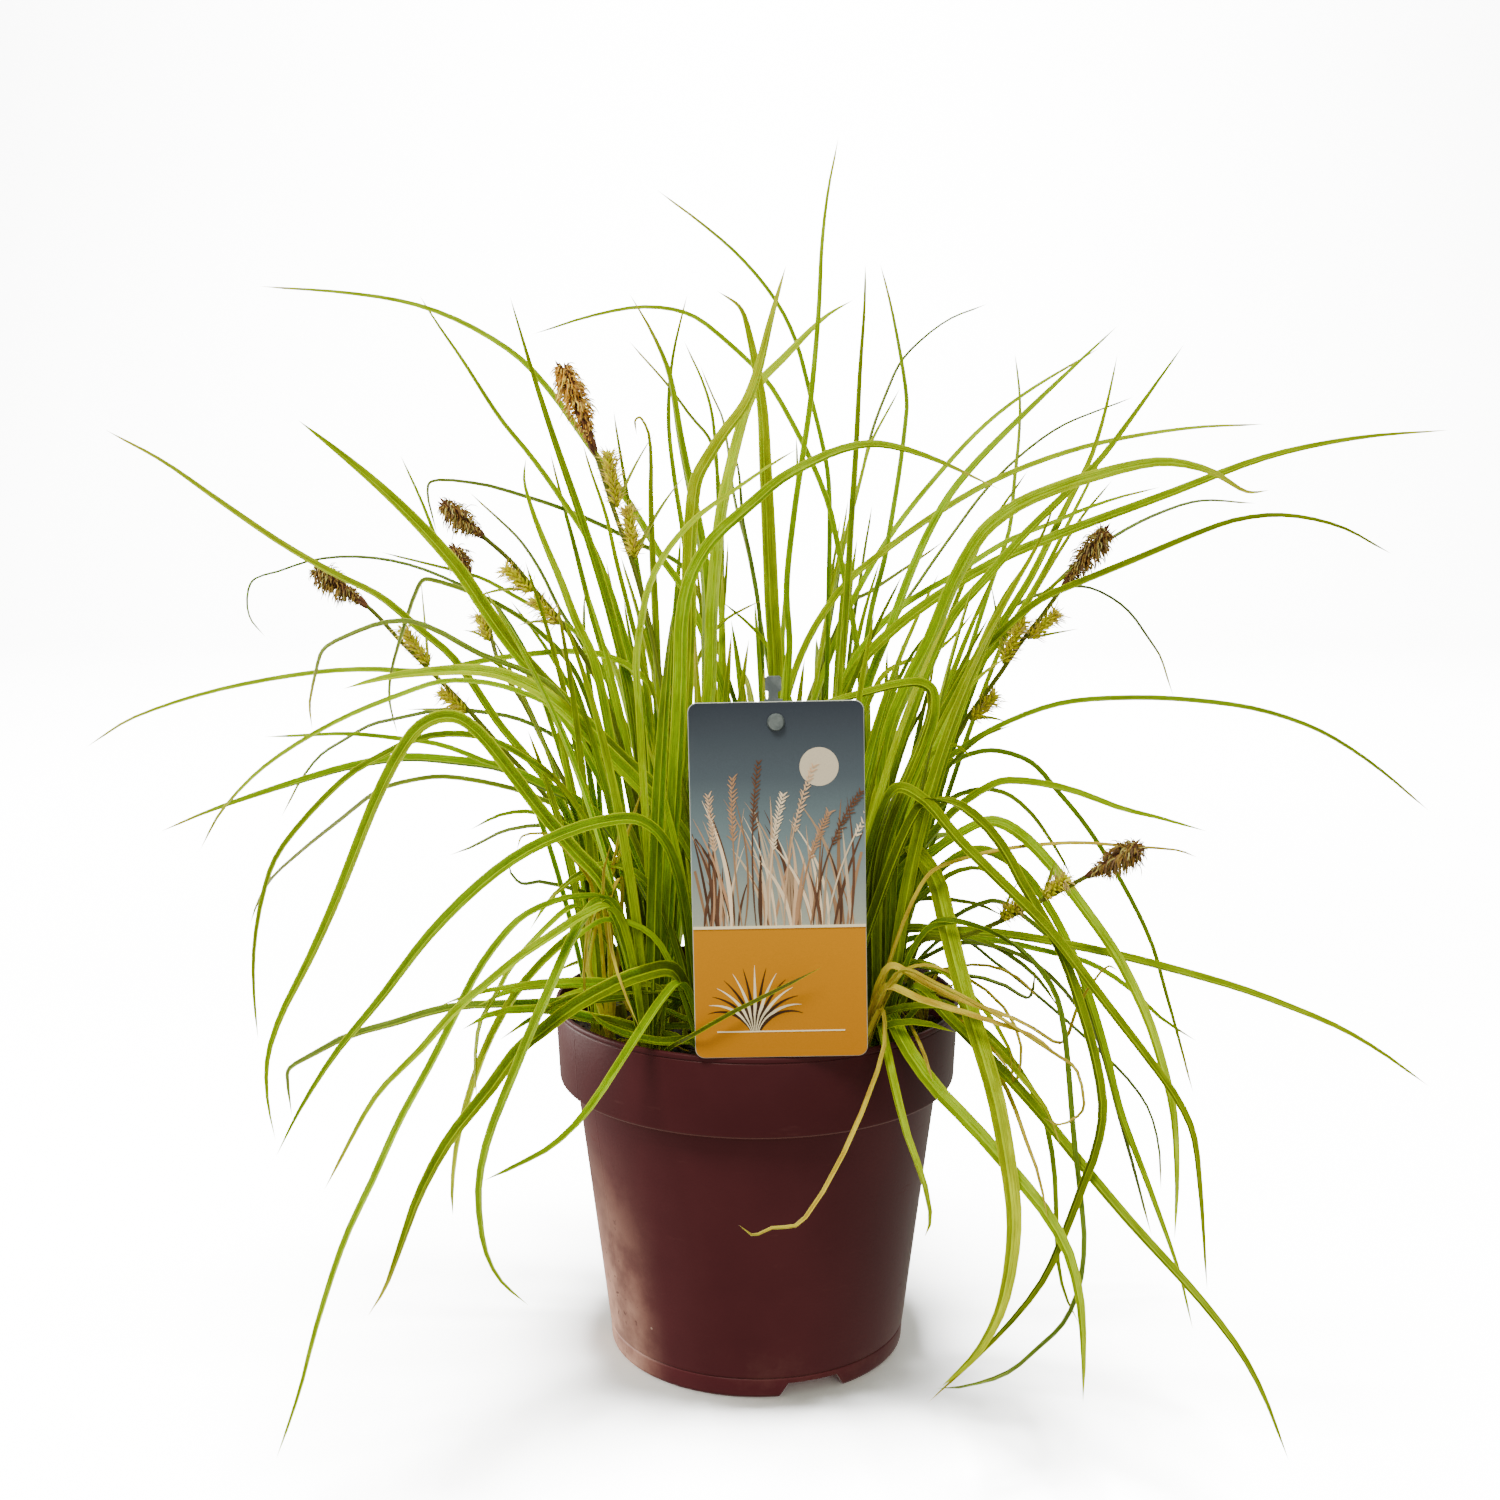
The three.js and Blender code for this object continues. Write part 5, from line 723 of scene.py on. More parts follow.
class Clump:
    """All chains' points and links side by side in arrays."""

    def __init__(self, chains):
        self.chains = chains
        counts = np.array([len(chain["line"]) for chain in chains])
        self.first = running(counts)
        self.place = np.concatenate([chain["line"] for chain in chains])
        self.origin = self.place.copy()
        self.moved = np.zeros_like(self.place)
        self.half = np.concatenate([chain["half"] for chain in chains])
        self.wide = np.zeros_like(self.place)
        self.upper = np.zeros_like(self.place)
        owner = np.repeat(np.arange(len(chains)), counts)
        number = np.concatenate([np.arange(count) for count in counts])
        self.link = np.nonzero(owner[:-1] == owner[1:])[0]
        self.link_chain = owner[self.link]
        self.link_number = number[self.link]
        self.group = np.array([chain["group"] for chain in chains])[self.link_chain]
        self.round = np.array([chain["round"] for chain in chains])[self.link_chain]
        self.fixed = np.array(["item" not in chain for chain in chains])[self.link_chain]
        self.free = [i for i, chain in enumerate(chains) if "item" in chain]
        self.longest = counts[self.free].max()
        padded = np.full((len(self.free), self.longest), -1)
        for row, i in enumerate(self.free):
            padded[row, :counts[i]] = np.arange(self.first[i], self.first[i + 1])
        self.padded = padded
        self.last = self.first[np.array(self.free) + 1] - 1

    def turn_frames(self):
        """Turns the blades' sections with their lines."""
        for i in self.free:
            chain = self.chains[i]
            if not chain["round"]:
                part = slice(self.first[i], self.first[i + 1])
                line = self.place[part]
                turn = np.full(len(line), chain["item"]["turn"])
                _, self.wide[part], self.upper[part] = section_frames(line, turn)

    def neighbours(self):
        """Pairs of links that are near enough to touch in the next rounds."""
        a, b = self.place[self.link], self.place[self.link + 1]
        middle = (a + b) / 2
        reach = norms(b - a) / 2 + 2
        reach += np.maximum(self.half[self.link], self.half[self.link + 1])
        square = (middle**2).sum(1)
        apart = square[:, None] + square[None, :] - 2 * middle @ middle.T
        near = apart < (reach[:, None] + reach[None, :]) ** 2
        one, two = np.nonzero(np.triu(near, 1))
        other = self.group[one] != self.group[two]
        other |= (self.link_number[one] > 1) & (self.link_number[two] > 1)
        free = ~(self.fixed[one] & self.fixed[two])
        keep = other & free & (self.link_chain[one] != self.link_chain[two])
        return one[keep], two[keep]

    def reach_along(self, link, share, way):
        """Half the thickness of links' sections along directions."""
        at, end = self.link[link], self.link[link] + 1
        half = self.half[at] * (1 - share) + self.half[end] * share
        keel = keel_depth(half)
        across = np.abs((self.wide[at] * way).sum(1) * (1 - share)
                        + (self.wide[end] * way).sum(1) * share)
        over = ((self.upper[at] * way).sum(1) * (1 - share)
                + (self.upper[end] * way).sum(1) * share)
        flat = np.maximum(half * across + 0.35 * keel * over, -0.65 * keel * over)
        return np.where(self.round[link], half, flat)

    def crowding(self, one, two):
        """Pairs' nearest places, the way between them, and how much room they lack."""
        a, c = self.place[self.link[one]], self.place[self.link[two]]
        u = self.place[self.link[one] + 1] - a
        v = self.place[self.link[two] + 1] - c
        w = a - c
        uu, uv, vv = (u * u).sum(1), (u * v).sum(1), (v * v).sum(1)
        uw, vw = (u * w).sum(1), (v * w).sum(1)
        spread = np.maximum(uu * vv - uv * uv, 1e-6 * uu * vv)
        s = np.clip((uv * vw - vv * uw) / spread, 0, 1)
        t = np.clip((uv * s + vw) / vv, 0, 1)
        s = np.clip((uv * t - uw) / uu, 0, 1)
        t = np.clip((uv * s + vw) / vv, 0, 1)
        gap = a + u * s[:, None] - c - v * t[:, None]
        distance = np.maximum(norms(gap), 1e-4)
        way = gap / distance[:, None]
        need = self.reach_along(one, s, -way) + self.reach_along(two, t, way) + BLADE_GAP
        return s, t, way, need - distance

    def collect(self, link, share, push):
        """Adds pushes at places on links to the links' two ends."""
        count = len(self.place)
        for end, weight in ((0, 1 - share), (1, share)):
            index = self.link[link] + end
            self.weight += np.bincount(index, weight, count)
            for axis in range(3):
                self.push[:, axis] += np.bincount(index, push[:, axis] * weight, count)

    def push_apart(self, one, two):
        """Pushes crowded pairs apart, mostly in depth, so that the drawn outline stays."""
        s, t, way, lack = self.crowding(one, two)
        tight = lack > 0
        one, two, s, t = one[tight], two[tight], s[tight], t[tight]
        way, lack = way[tight], lack[tight]
        lean = way.copy()
        lean[:, 1] += np.where(way[:, 1] < 0, -PUSH_IN_DEPTH, PUSH_IN_DEPTH)
        lean = units(lean)
        gain = (way * lean).sum(1)
        both = np.where(self.fixed[one] | self.fixed[two], 1, 0.5)
        push = lean * (PUSH * both * lack / gain)[:, None]
        loose = ~self.fixed[one]
        self.collect(one[loose], s[loose], push[loose])
        loose = ~self.fixed[two]
        self.collect(two[loose], t[loose], -push[loose])

    def pot_room(self):
        """Pushes links out of the pot, the soil and the floor."""
        links = np.nonzero(~self.fixed & (self.link_number > 0))[0]
        for step in range(1, POT_LOOKS + 1):
            share = np.full(len(links), step / POT_LOOKS)
            at, end = self.link[links], self.link[links] + 1
            point = self.place[at] * (1 - share[:, None]) + self.place[end] * share[:, None]
            move = clear_of_pot(point, self.half[at] * (1 - share) + self.half[end] * share)
            hit = (move**2).sum(1) > 0
            self.collect(links[hit], share[hit], move[hit])

    def settle(self):
        """Moves the points by their pushes, with their roots held, and evens out the bends."""
        free = self.padded[self.padded >= 0]
        scale = 1 / np.maximum(1, self.weight)
        step = self.push * scale[:, None]
        length = norms(step)
        step *= (np.minimum(length, LONGEST_STEP) / np.maximum(length, 1e-12))[:, None]
        step[self.padded[:, :2]] = 0
        self.moved[free] += step[free]
        for k in range(2, self.longest):
            index = self.padded[:, k]
            there = index >= 0
            index = index[there]
            after = np.minimum(index + 1, self.last[there])
            middle = (self.moved[index - 1] + self.moved[after]) / 2
            self.moved[index] += (middle - self.moved[index]) * SMOOTHING
        self.place = self.origin + self.moved

    def bend_clear(self):
        """Bends the chains clear, and writes how far each point moved to the blades."""
        for turn in range(ROUNDS):
            if turn % LOOK_AGAIN == 0:
                self.turn_frames()
                one, two = self.neighbours()
            self.push = np.zeros_like(self.place)
            self.weight = np.zeros(len(self.place))
            self.push_apart(one, two)
            self.pot_room()
            self.settle()
        self.turn_frames()
        one, two = self.neighbours()
        other = self.group[one] != self.group[two]
        one, two = one[other], two[other]
        tight = self.crowding(one, two)[3] > MOST_LACK
        for first, second in zip(self.link_chain[one[tight]], self.link_chain[two[tight]]):
            items = [self.chains[i].get("item", {}) for i in (first, second)]
            crowded = items[0] if items[0].get("ruled") else items[1]
            if crowded.get("ruled"):
                crowded["left_out"] = True
        for i in self.free:
            part = slice(self.first[i], self.first[i + 1])
            self.chains[i]["item"]["moved"] = self.moved[part]


def clear_of_pot(point, half):
    """How far points must move to stand clear of the pot, the soil and the floor."""
    lip, soil_room, most_half, margin = 2.5, 2.5, 2.5, 0.8
    radius = np.maximum(np.hypot(point[:, 0], point[:, 1]), 1e-9)
    room = np.minimum(half, most_half) + margin
    above = POT_HEIGHT + room - point[:, 2]
    outside = RIM_RADIUS + room - radius
    inside = radius - (RIM_RADIUS - lip - room)
    move = np.zeros_like(point)
    wall = (above > 0) & (outside > 0) & (inside > 0)
    rise = wall & ((above < outside) | (radius < RIM_RADIUS - 2))
    move[rise, 2] = above[rise]
    aside = wall & ~rise
    move[aside, :2] = point[aside, :2] * (outside / radius)[aside, None]
    soil = ~wall & (inside <= 0) & (point[:, 2] < SOIL_LEVEL + soil_room)
    move[soil, 2] = SOIL_LEVEL + soil_room - point[soil, 2]
    floor = ~wall & ~soil & (point[:, 2] < FLOOR_ROOM)
    move[floor, 2] = FLOOR_ROOM - point[floor, 2]
    return move


def fine_blades():
    """The fine leaves stand as drawn, the dead one at the card among them."""
    blades = drawn_blades(FINE_BLADES)
    path = smooth_path([np.array(point, float) for point in CARD_BLADE], PATH_STEPS)
    blades.append({"tiller": CARD_BLADE_TILLER, "tint": "grey", "width": 1.5, "seen": 0.9,
                   **set_out(path, PATH_STEPS, 6)})
    for blade in blades:
        blade["turn"] = shown_turn(blade)
        blade["moved"] = np.zeros_like(blade["line"])
    return blades


# ---- Materials -------------------------------------------------------------------------------
LEAF_LIGHT_REACH = (0.6, 1.0, 0.25)
LEAF_GLOW = 0.3
LEAF_GLOSS = (1.0, 1.0, 0.2)
LEAF_SHINE = 0.11
LEAF_EDGE = (0.66, 0.84, 0.01)
BURGUNDY = (0.058, 0.0108, 0.0142), (0.07, 0.0143, 0.0178)
# Colours of the scuffed patch on the pot's lower left: pale scuffs that are partly a painted
# reflection of the light on that side, with dark streaks and grit.
SCUFF_AND_REFLECTION, SCUFF_STREAK, SCUFF_GRIT = (0.72, 0.42, 0.31), (0.22, 0.11, 0.075), (0.03, 0.008, 0.008)
SCUFF_AND_REFLECTION_BEARING, SCUFF_AND_REFLECTION_REACH, SCUFF_AND_REFLECTION_TOP = -160.0, 0.66, 0.092
# A painted highlight along the step under the collar.
LIP_HIGHLIGHT = (0.3, 0.14, 0.12)
SEAM_BEARING = 150.5


def linear(red, green, blue):
    """The linear colour of screen values from 0 to 255."""
    screen = np.array([red, green, blue]) / 255
    return np.where(screen <= 0.04045, screen / 12.92, ((screen + 0.055) / 1.055) ** 2.4)


def add_node(tree, kind, inputs=None, output=0, **properties):
    """Adds a node, sets its properties and its inputs, and returns one of its outputs."""
    made = tree.nodes.new("ShaderNode" + kind)
    for name, value in properties.items():
        setattr(made, name, value)
    for key, value in (inputs or {}).items():
        if isinstance(value, bpy.types.NodeSocket):
            tree.links.new(value, made.inputs[key])
        else:
            made.inputs[key].default_value = value
    return made.outputs[output]


def own_place(tree):
    """The place in the piece's own axes, in metres."""
    return add_node(tree, "TexCoord", output=3)


def field(tree, name, output="Fac"):
    """A value painted on the mesh."""
    return add_node(tree, "Attribute", output=output, attribute_name=name)


def work(tree, operation, *values, clamp=False):
    return add_node(tree, "Math", dict(enumerate(values)), operation=operation, use_clamp=clamp)


def times(tree, one, two):
    return work(tree, "MULTIPLY", one, two)


def join(tree, x=0.0, y=0.0, z=0.0):
    return add_node(tree, "CombineXYZ", {0: x, 1: y, 2: z})


def speckle(tree, place, scale, detail=3.0, roughness=0.55):
    """Noise from 0 to 1."""
    settings = {"Vector": place, "Scale": scale, "Detail": detail, "Roughness": roughness}
    return add_node(tree, "TexNoise", settings)


def spread(tree, value, low, high, start=0.0, end=1.0):
    """The value's range from low to high, mapped softly from start to end and held there."""
    settings = {"Value": value, "From Min": low, "From Max": high, "To Min": start, "To Max": end}
    return add_node(tree, "MapRange", settings, interpolation_type="SMOOTHSTEP")


def blend(tree, share, one, two, way="MIX"):
    """Two colours mixed, multiplied or otherwise blended."""
    sockets = {0: share, 6: one, 7: two}
    for key in (6, 7):
        if isinstance(sockets[key], (tuple, np.ndarray)):
            sockets[key] = (*sockets[key], 1.0)
    return add_node(tree, "Mix", sockets, output=2, data_type="RGBA", blend_type=way)


def relief(tree, height, strength, depth_mm):
    """The normal over a height field."""
    settings = {"Strength": strength, "Distance": depth_mm / 1000, "Height": height}
    return add_node(tree, "Bump", settings)


def new_material(name, subsurface=0.0, specular=0.5, gloss=(1, 1, 1)):
    """A material's node tree, and a function that joins its colour, roughness and normal."""
    material = bpy.data.materials.new(name)
    material.use_nodes = True
    tree = material.node_tree
    shader = tree.nodes["Principled BSDF"]
    shader.inputs["Specular IOR Level"].default_value = specular
    shader.inputs["Specular Tint"].default_value = (*gloss, 1.0)
    shader.inputs["Subsurface Weight"].default_value = subsurface
    shader.inputs["Subsurface Radius"].default_value = LEAF_LIGHT_REACH
    shader.inputs["Subsurface Scale"].default_value = 0.0015

    def finish(colour, roughness, normal):
        tree.links.new(colour, shader.inputs["Base Color"])
        tree.links.new(roughness, shader.inputs["Roughness"])
        tree.links.new(normal, shader.inputs["Normal"])
        return material
    return tree, finish


def make_leaf_material(name, smooth_roughness, streak_depth):
    """Fine veins along the blade, a pale keel and edges, painted shade on one half of each blade
    and painted light on the other, and tips dried to tan.
    """
    tree, finish = new_material(name, subsurface=LEAF_GLOW, specular=LEAF_SHINE, gloss=LEAF_GLOSS)
    across, along = field(tree, "across"), field(tree, "along")
    dry, number = field(tree, "dry"), field(tree, "number")
    # Noise drawn out along the leaf, in a lane of its own for each leaf's number.
    lane = work(tree, "MULTIPLY_ADD", number, 31.0, times(tree, across, 2.2))
    streak = speckle(tree, join(tree, lane, times(tree, along, 0.012), number), 6.5, 4.0)
    patch_place = join(tree, times(tree, across, 0.35),
                       times(tree, along, 0.04), times(tree, number, 57.0))
    patch = speckle(tree, patch_place, 2.6, 3.0)
    aside = work(tree, "ABSOLUTE", across)
    keel = spread(tree, aside, 0.16, 0.0)
    edge = spread(tree, aside, 0.82, 1.0)
    # Painted shade and light: one half of each blade is darker and the other lighter, as the two
    # halves of the fold would be lit.
    half = spread(tree, across, -0.1, 0.1, 0.84, 1.14)
    colour = blend(tree, 1.0, field(tree, "tint", "Color"),
                   spread(tree, streak, 0.3, 0.7, 1 - streak_depth, 1 + streak_depth), "MULTIPLY")
    shade = times(tree, half, spread(tree, patch, 0.3, 0.7, 0.82, 1.16))
    colour = blend(tree, 1.0, colour, shade, "MULTIPLY")
    pale = blend(tree, 0.6, colour, LEAF_EDGE)
    marks = work(tree, "MAXIMUM", times(tree, keel, 0.7), times(tree, edge, 0.6))
    colour = blend(tree, marks, colour, pale)
    dead = blend(tree, spread(tree, patch, 0.35, 0.65), linear(204, 186, 66), linear(152, 118, 42))
    dead_share = times(tree, dry, spread(tree, streak, 0.25, 0.6, 0.25, 0.85))
    colour = blend(tree, dead_share, colour, dead)
    roughness = work(tree, "MULTIPLY_ADD", streak, 0.2, smooth_roughness)
    roughness = work(tree, "MULTIPLY_ADD", dry, 0.25, roughness, clamp=True)
    vein = work(tree, "SINE", times(tree, across, 26.0))
    height = work(tree, "MULTIPLY_ADD", streak, 1.2, times(tree, vein, 0.3))
    return finish(colour, roughness, relief(tree, height, 0.7, 0.12))


def make_pot_material():
    """Moulded burgundy plastic with a seam, scuffs, dust by its foot and a few pale specks, a
    painted reflection in the scuffs, a painted highlight under the collar and painted shade on the
    collar.
    """
    tree, finish = new_material("burgundy_plastic", specular=0.11, gloss=(1.0, 0.86, 0.82))
    place = own_place(tree)
    parts = tree.nodes.new("ShaderNodeSeparateXYZ")
    tree.links.new(place, parts.inputs[0])
    x, y, z = parts.outputs
    bearing = work(tree, "ARCTAN2", y, x)
    cloud = speckle(tree, place, 26.0, 4.0)
    base = blend(tree, spread(tree, cloud, 0.3, 0.7), *BURGUNDY)
    wall = join(tree, work(tree, "COSINE", bearing), work(tree, "SINE", bearing),
                times(tree, z, 90.0))
    rub = spread(tree, speckle(tree, wall, 3.2, 6.0, 0.72), 0.6, 0.74)
    base = blend(tree, times(tree, rub, 0.05), base, linear(168, 112, 102))

    # The scuffed patch round one bearing, strongest at the foot: pale scuffs and grit, and partly a
    # painted reflection of the light on that side.
    turn = work(tree, "ADD", bearing, math.radians(-SCUFF_AND_REFLECTION_BEARING))
    off = work(tree, "ABSOLUTE", work(tree, "WRAP", turn, math.pi, -math.pi))
    low = spread(tree, z, SCUFF_AND_REFLECTION_TOP, 0.0)
    scuffed = speckle(tree, place, 60.0, 6.0, 0.62)
    scuff_and_reflection = times(tree, spread(tree, off, SCUFF_AND_REFLECTION_REACH, 0.0), low)
    scuff_and_reflection = times(tree, scuff_and_reflection, spread(tree, scuffed, 0.3, 0.62, 0.35, 1.0))
    base = blend(tree, times(tree, scuff_and_reflection, 0.8), base, SCUFF_AND_REFLECTION)
    grit = spread(tree, speckle(tree, place, 330.0, 2.0, 0.5), 0.67, 0.7)
    grit = times(tree, grit, spread(tree, scuff_and_reflection, 0.1, 0.4))
    streaks = speckle(tree, join(tree, times(tree, bearing, 9.0), z, 0.0), 2.0, 5.0, 0.7)
    streaks = times(tree, spread(tree, streaks, 0.45, 0.7), scuff_and_reflection)
    base = blend(tree, times(tree, streaks, 0.5), base, SCUFF_STREAK)
    base = blend(tree, times(tree, grit, 0.75), base, SCUFF_GRIT)
    dust = times(tree, spread(tree, z, 0.03, 0.0), spread(tree, scuffed, 0.5, 0.7))
    base = blend(tree, times(tree, dust, 0.05), base, linear(176, 132, 114))
    # A few pale specks, in cells chosen by their number.
    cells = tree.nodes.new("ShaderNodeTexVoronoi")
    cells.inputs["Scale"].default_value = 75.0
    tree.links.new(place, cells.inputs["Vector"])
    chosen = spread(tree, work(tree, "ADD", cells.outputs["Color"], 0.0), 0.8, 0.82)
    fleck = times(tree, chosen, spread(tree, cells.outputs["Distance"], 0.045, 0.025))
    base = blend(tree, times(tree, fleck, 0.8), base, linear(212, 188, 172))
    # A painted highlight along the step under the collar, painted shade on the collar, and the
    # mould's seam.
    lip = times(tree, spread(tree, z, 0.0958, 0.0964), spread(tree, z, 0.0975, 0.0968))
    base = blend(tree, times(tree, lip, 0.55), base, LIP_HIGHLIGHT)
    # Painted shade: the collar is darkened as if the leaves overhead shade it.
    collar_painted_shade = spread(tree, z, 0.097, 0.0985, 1.0, 0.78)
    base = blend(tree, 1.0, base, collar_painted_shade, "MULTIPLY")
    aside = work(tree, "ADD", bearing, math.radians(SEAM_BEARING))
    seam = spread(tree, work(tree, "ABSOLUTE", aside), 0.006, 0.002)
    grain = speckle(tree, place, 900.0, 2.0)
    roughness = work(tree, "MULTIPLY_ADD", cloud, 0.12, work(tree, "MULTIPLY_ADD", rub, 0.15, 0.34))
    roughness = work(tree, "MULTIPLY_ADD", scuff_and_reflection, 0.2, roughness, clamp=True)
    height = work(tree, "MULTIPLY_ADD", scuffed, 0.4, times(tree, grain, 0.25))
    height = work(tree, "MULTIPLY_ADD", seam, 0.9, height)
    return finish(base, roughness, relief(tree, height, 0.35, 0.25))


def make_grainy_material(name, rough, scale, low, high, depth_mm, **settings):
    """A painted field with grain: the mesh's tint, lighter and darker by a fine noise."""
    tree, finish = new_material(name, **settings)
    place = own_place(tree)
    grain = speckle(tree, place, scale, 5.0, 0.65)
    colour = blend(tree, 1.0, field(tree, "tint", "Color"),
                   spread(tree, grain, 0.3, 0.7, low, high), "MULTIPLY")
    roughness = work(tree, "MULTIPLY_ADD", grain, 0.15, rough, clamp=True)
    return finish(colour, roughness, relief(tree, grain, 0.6, depth_mm))


def make_plain_plastic(name, dark, light, rough, scale):
    """Moulded plastic without a painted field: cloudy, faintly dusty and finely grained."""
    tree, finish = new_material(name)
    place = own_place(tree)
    cloud = speckle(tree, place, scale, 5.0, 0.65)
    colour = blend(tree, spread(tree, cloud, 0.35, 0.65), dark, light)
    grain = speckle(tree, place, 1400.0, 2.0)
    roughness = work(tree, "MULTIPLY_ADD", cloud, 0.2, rough)
    return finish(colour, roughness, relief(tree, grain, 0.3, 0.08))


leaf_material = make_leaf_material("sedge_leaf", 0.27, 0.36)
dry_leaf_material = make_leaf_material("dry_leaf", 0.55, 0.26)
stem_material = make_leaf_material("sedge_stem", 0.35, 0.2)
male_material = make_grainy_material("stamens_and_scales", 0.65, 1500.0, 0.7, 1.25, 0.1,
                                     specular=0.2)
female_material = make_grainy_material("seed_sacks", 0.5, 1500.0, 0.75, 1.2, 0.1, specular=0.2)
soil_material = make_grainy_material("compost_grains", 0.85, 700.0, 0.55, 1.4, 0.6)
print_material = make_grainy_material("card_print", 0.35, 2600.0, 0.95, 1.05, 0.01, specular=0.12)
pot_material = make_pot_material()
card_material = make_plain_plastic("card_plastic", linear(160, 164, 158), linear(190, 194, 184),
                                   0.35, 60.0)
stake_material = make_plain_plastic("stake_plastic", linear(72, 80, 82), linear(104, 112, 112),
                                    0.35, 160.0)


# ---- Shapes ----------------------------------------------------------------------------------
MM = 0.001
FIELD_WIDTH = {"tint": 3}
SHARP, SHARP_LEAF, SHARP_FLOWER, SHARP_POT, SHARP_PRINT, SHARP_CRUMB = 40, 34, 50, 32, 30, 60
LEAF_FIELDS = ("tint", "along", "across", "dry", "number")


def between(low, high, share):
    return low + (high - low) * share


def unit(vector):
    return vector / max(np.linalg.norm(vector), 1e-9)


def stepped(low, high, value):
    """A soft step from 0 at `low` to 1 at `high`."""
    share = np.clip((value - low) / (high - low), 0, 1)
    return share * share * (3 - 2 * share)


class Shape:
    """Points, faces and named values at the points, gathered in millimetres."""

    def __init__(self, *fields):
        self.points = []
        self.faces = []
        self.fields = {name: [] for name in fields}
        self.count = 0

    def add(self, points, faces, **values):
        """Adds faces over new points, with a value of each field for all or for each point."""
        points = np.asarray(points, float)
        first = self.count
        self.points.append(points)
        self.faces += [[first + corner for corner in face] for face in faces]
        for name, gathered in self.fields.items():
            wide = (len(points), FIELD_WIDTH[name]) if name in FIELD_WIDTH else (len(points),)
            gathered.append(np.broadcast_to(np.asarray(values[name], float), wide))
        self.count += len(points)

    def mesh(self, name, sharp=SHARP):
        """The mesh in metres, smooth but for edges that turn by more than `sharp` degrees."""
        mesh = bpy.data.meshes.new(name)
        mesh.from_pydata((np.concatenate(self.points) * MM).tolist(), [], self.faces)
        for field, gathered in self.fields.items():
            value = np.concatenate(gathered)
            if field in FIELD_WIDTH:
                layer = mesh.attributes.new(field, "FLOAT_COLOR", "POINT")
                solid = np.concatenate([value, np.ones((len(value), 1))], axis=1)
                layer.data.foreach_set("color", solid.ravel())
            else:
                layer = mesh.attributes.new(field, "FLOAT", "POINT")
                layer.data.foreach_set("value", value)
        mesh.shade_smooth()
        mesh.set_sharp_from_angle(angle=math.radians(sharp))
        return mesh


def put(name, data):
    """A new object in the scene."""
    made = bpy.data.objects.new(name, data)
    bpy.context.scene.collection.objects.link(made)
    return made


def show(name, mesh, material, slot, *nodes):
    """Puts a piece in the scene, in place of the solids that it stands for."""
    piece = put(name, mesh)
    piece.data.materials.append(material)
    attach(piece, "root")
    if nodes:
        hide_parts(*nodes)
    return piece


def tube_faces(rings, sides, closed_start=True, closed_end=True):
    """Faces round rings of points that run counterclockwise seen from the tube's end."""
    faces = []
    for ring in range(rings - 1):
        low = ring * sides
        for side in range(sides):
            after = (side + 1) % sides
            faces.append([low + side, low + after, low + sides + after, low + sides + side])
    if closed_start:
        faces.append(list(range(sides))[::-1])
    if closed_end:
        faces.append(list(range((rings - 1) * sides, rings * sides)))
    return faces


def spike_faces(rings, sides):
    """As tube_faces, with one last point at the tip."""
    faces = tube_faces(rings, sides, closed_end=False)
    tip = rings * sides
    last = tip - sides
    return faces + [[last + side, last + (side + 1) % sides, tip] for side in range(sides)]


def line_frames(line, aside=(0.0, -1.0, 0.0)):
    """Directions along a line and two across it, without twist about the first."""
    along = directions(line)
    side = units(np.cross(np.asarray(aside, float), along))
    return along, side, np.cross(along, side)


def round_tube(line, radii, sides, aside=(0.0, -1.0, 0.0), tipped=False):
    """Points and faces of a round tube along a line; the last point is its tip if tipped."""
    body = line[:-1] if tipped else line
    _, side, other = line_frames(line, aside)
    angles = angles_round(sides)
    ring = (np.cos(angles)[None, :, None] * side[:len(body), None]
            + np.sin(angles)[None, :, None] * other[:len(body), None])
    points = (body[:, None] + ring * np.asarray(radii)[:len(body), None, None]).reshape(-1, 3)
    if tipped:
        return np.concatenate([points, line[-1:]]), spike_faces(len(body), sides)
    return points, tube_faces(len(body), sides)


def fine_line(item, count):
    """A bent centre line with `count` points, closer together at its bends."""
    places = stations(item["path"], count)
    moved = np.stack([np.interp(places, item["places"], item["moved"][:, axis])
                      for axis in range(3)], axis=1)
    for _ in range(2):
        moved[1:-1] = (moved[:-2] + 2 * moved[1:-1] + moved[2:]) / 4
    return along_path(item["path"], places) + moved


def path_length(path):
    """The length of a line of points."""
    return norms(np.diff(path, axis=0)).sum()


# ---- Leaves ----------------------------------------------------------------------------------
# The leaf's section, counterclockwise from its right edge: place across by its half width,
# rise by its keel's depth, and drop of its lower face by its thickness.
SECTION_ACROSS = np.array([1, 0.56, 0, -0.56, -1, -0.56, 0, 0.56])
SECTION_RISE = np.array([0.26, 0.12, -0.46, 0.12, 0.26, 0.12, -0.46, 0.12])
SECTION_DROP = np.array([0, 0, 0, 0, 0, 1, 1.7, 1])
LEAF_THICKNESS = 0.26
LEAF_RING_EVERY = 6.0
FEWEST_RINGS, MOST_RINGS = 14, 46
SECTION_SIDES = len(SECTION_ACROSS)
MOST_TWIST = 0.7

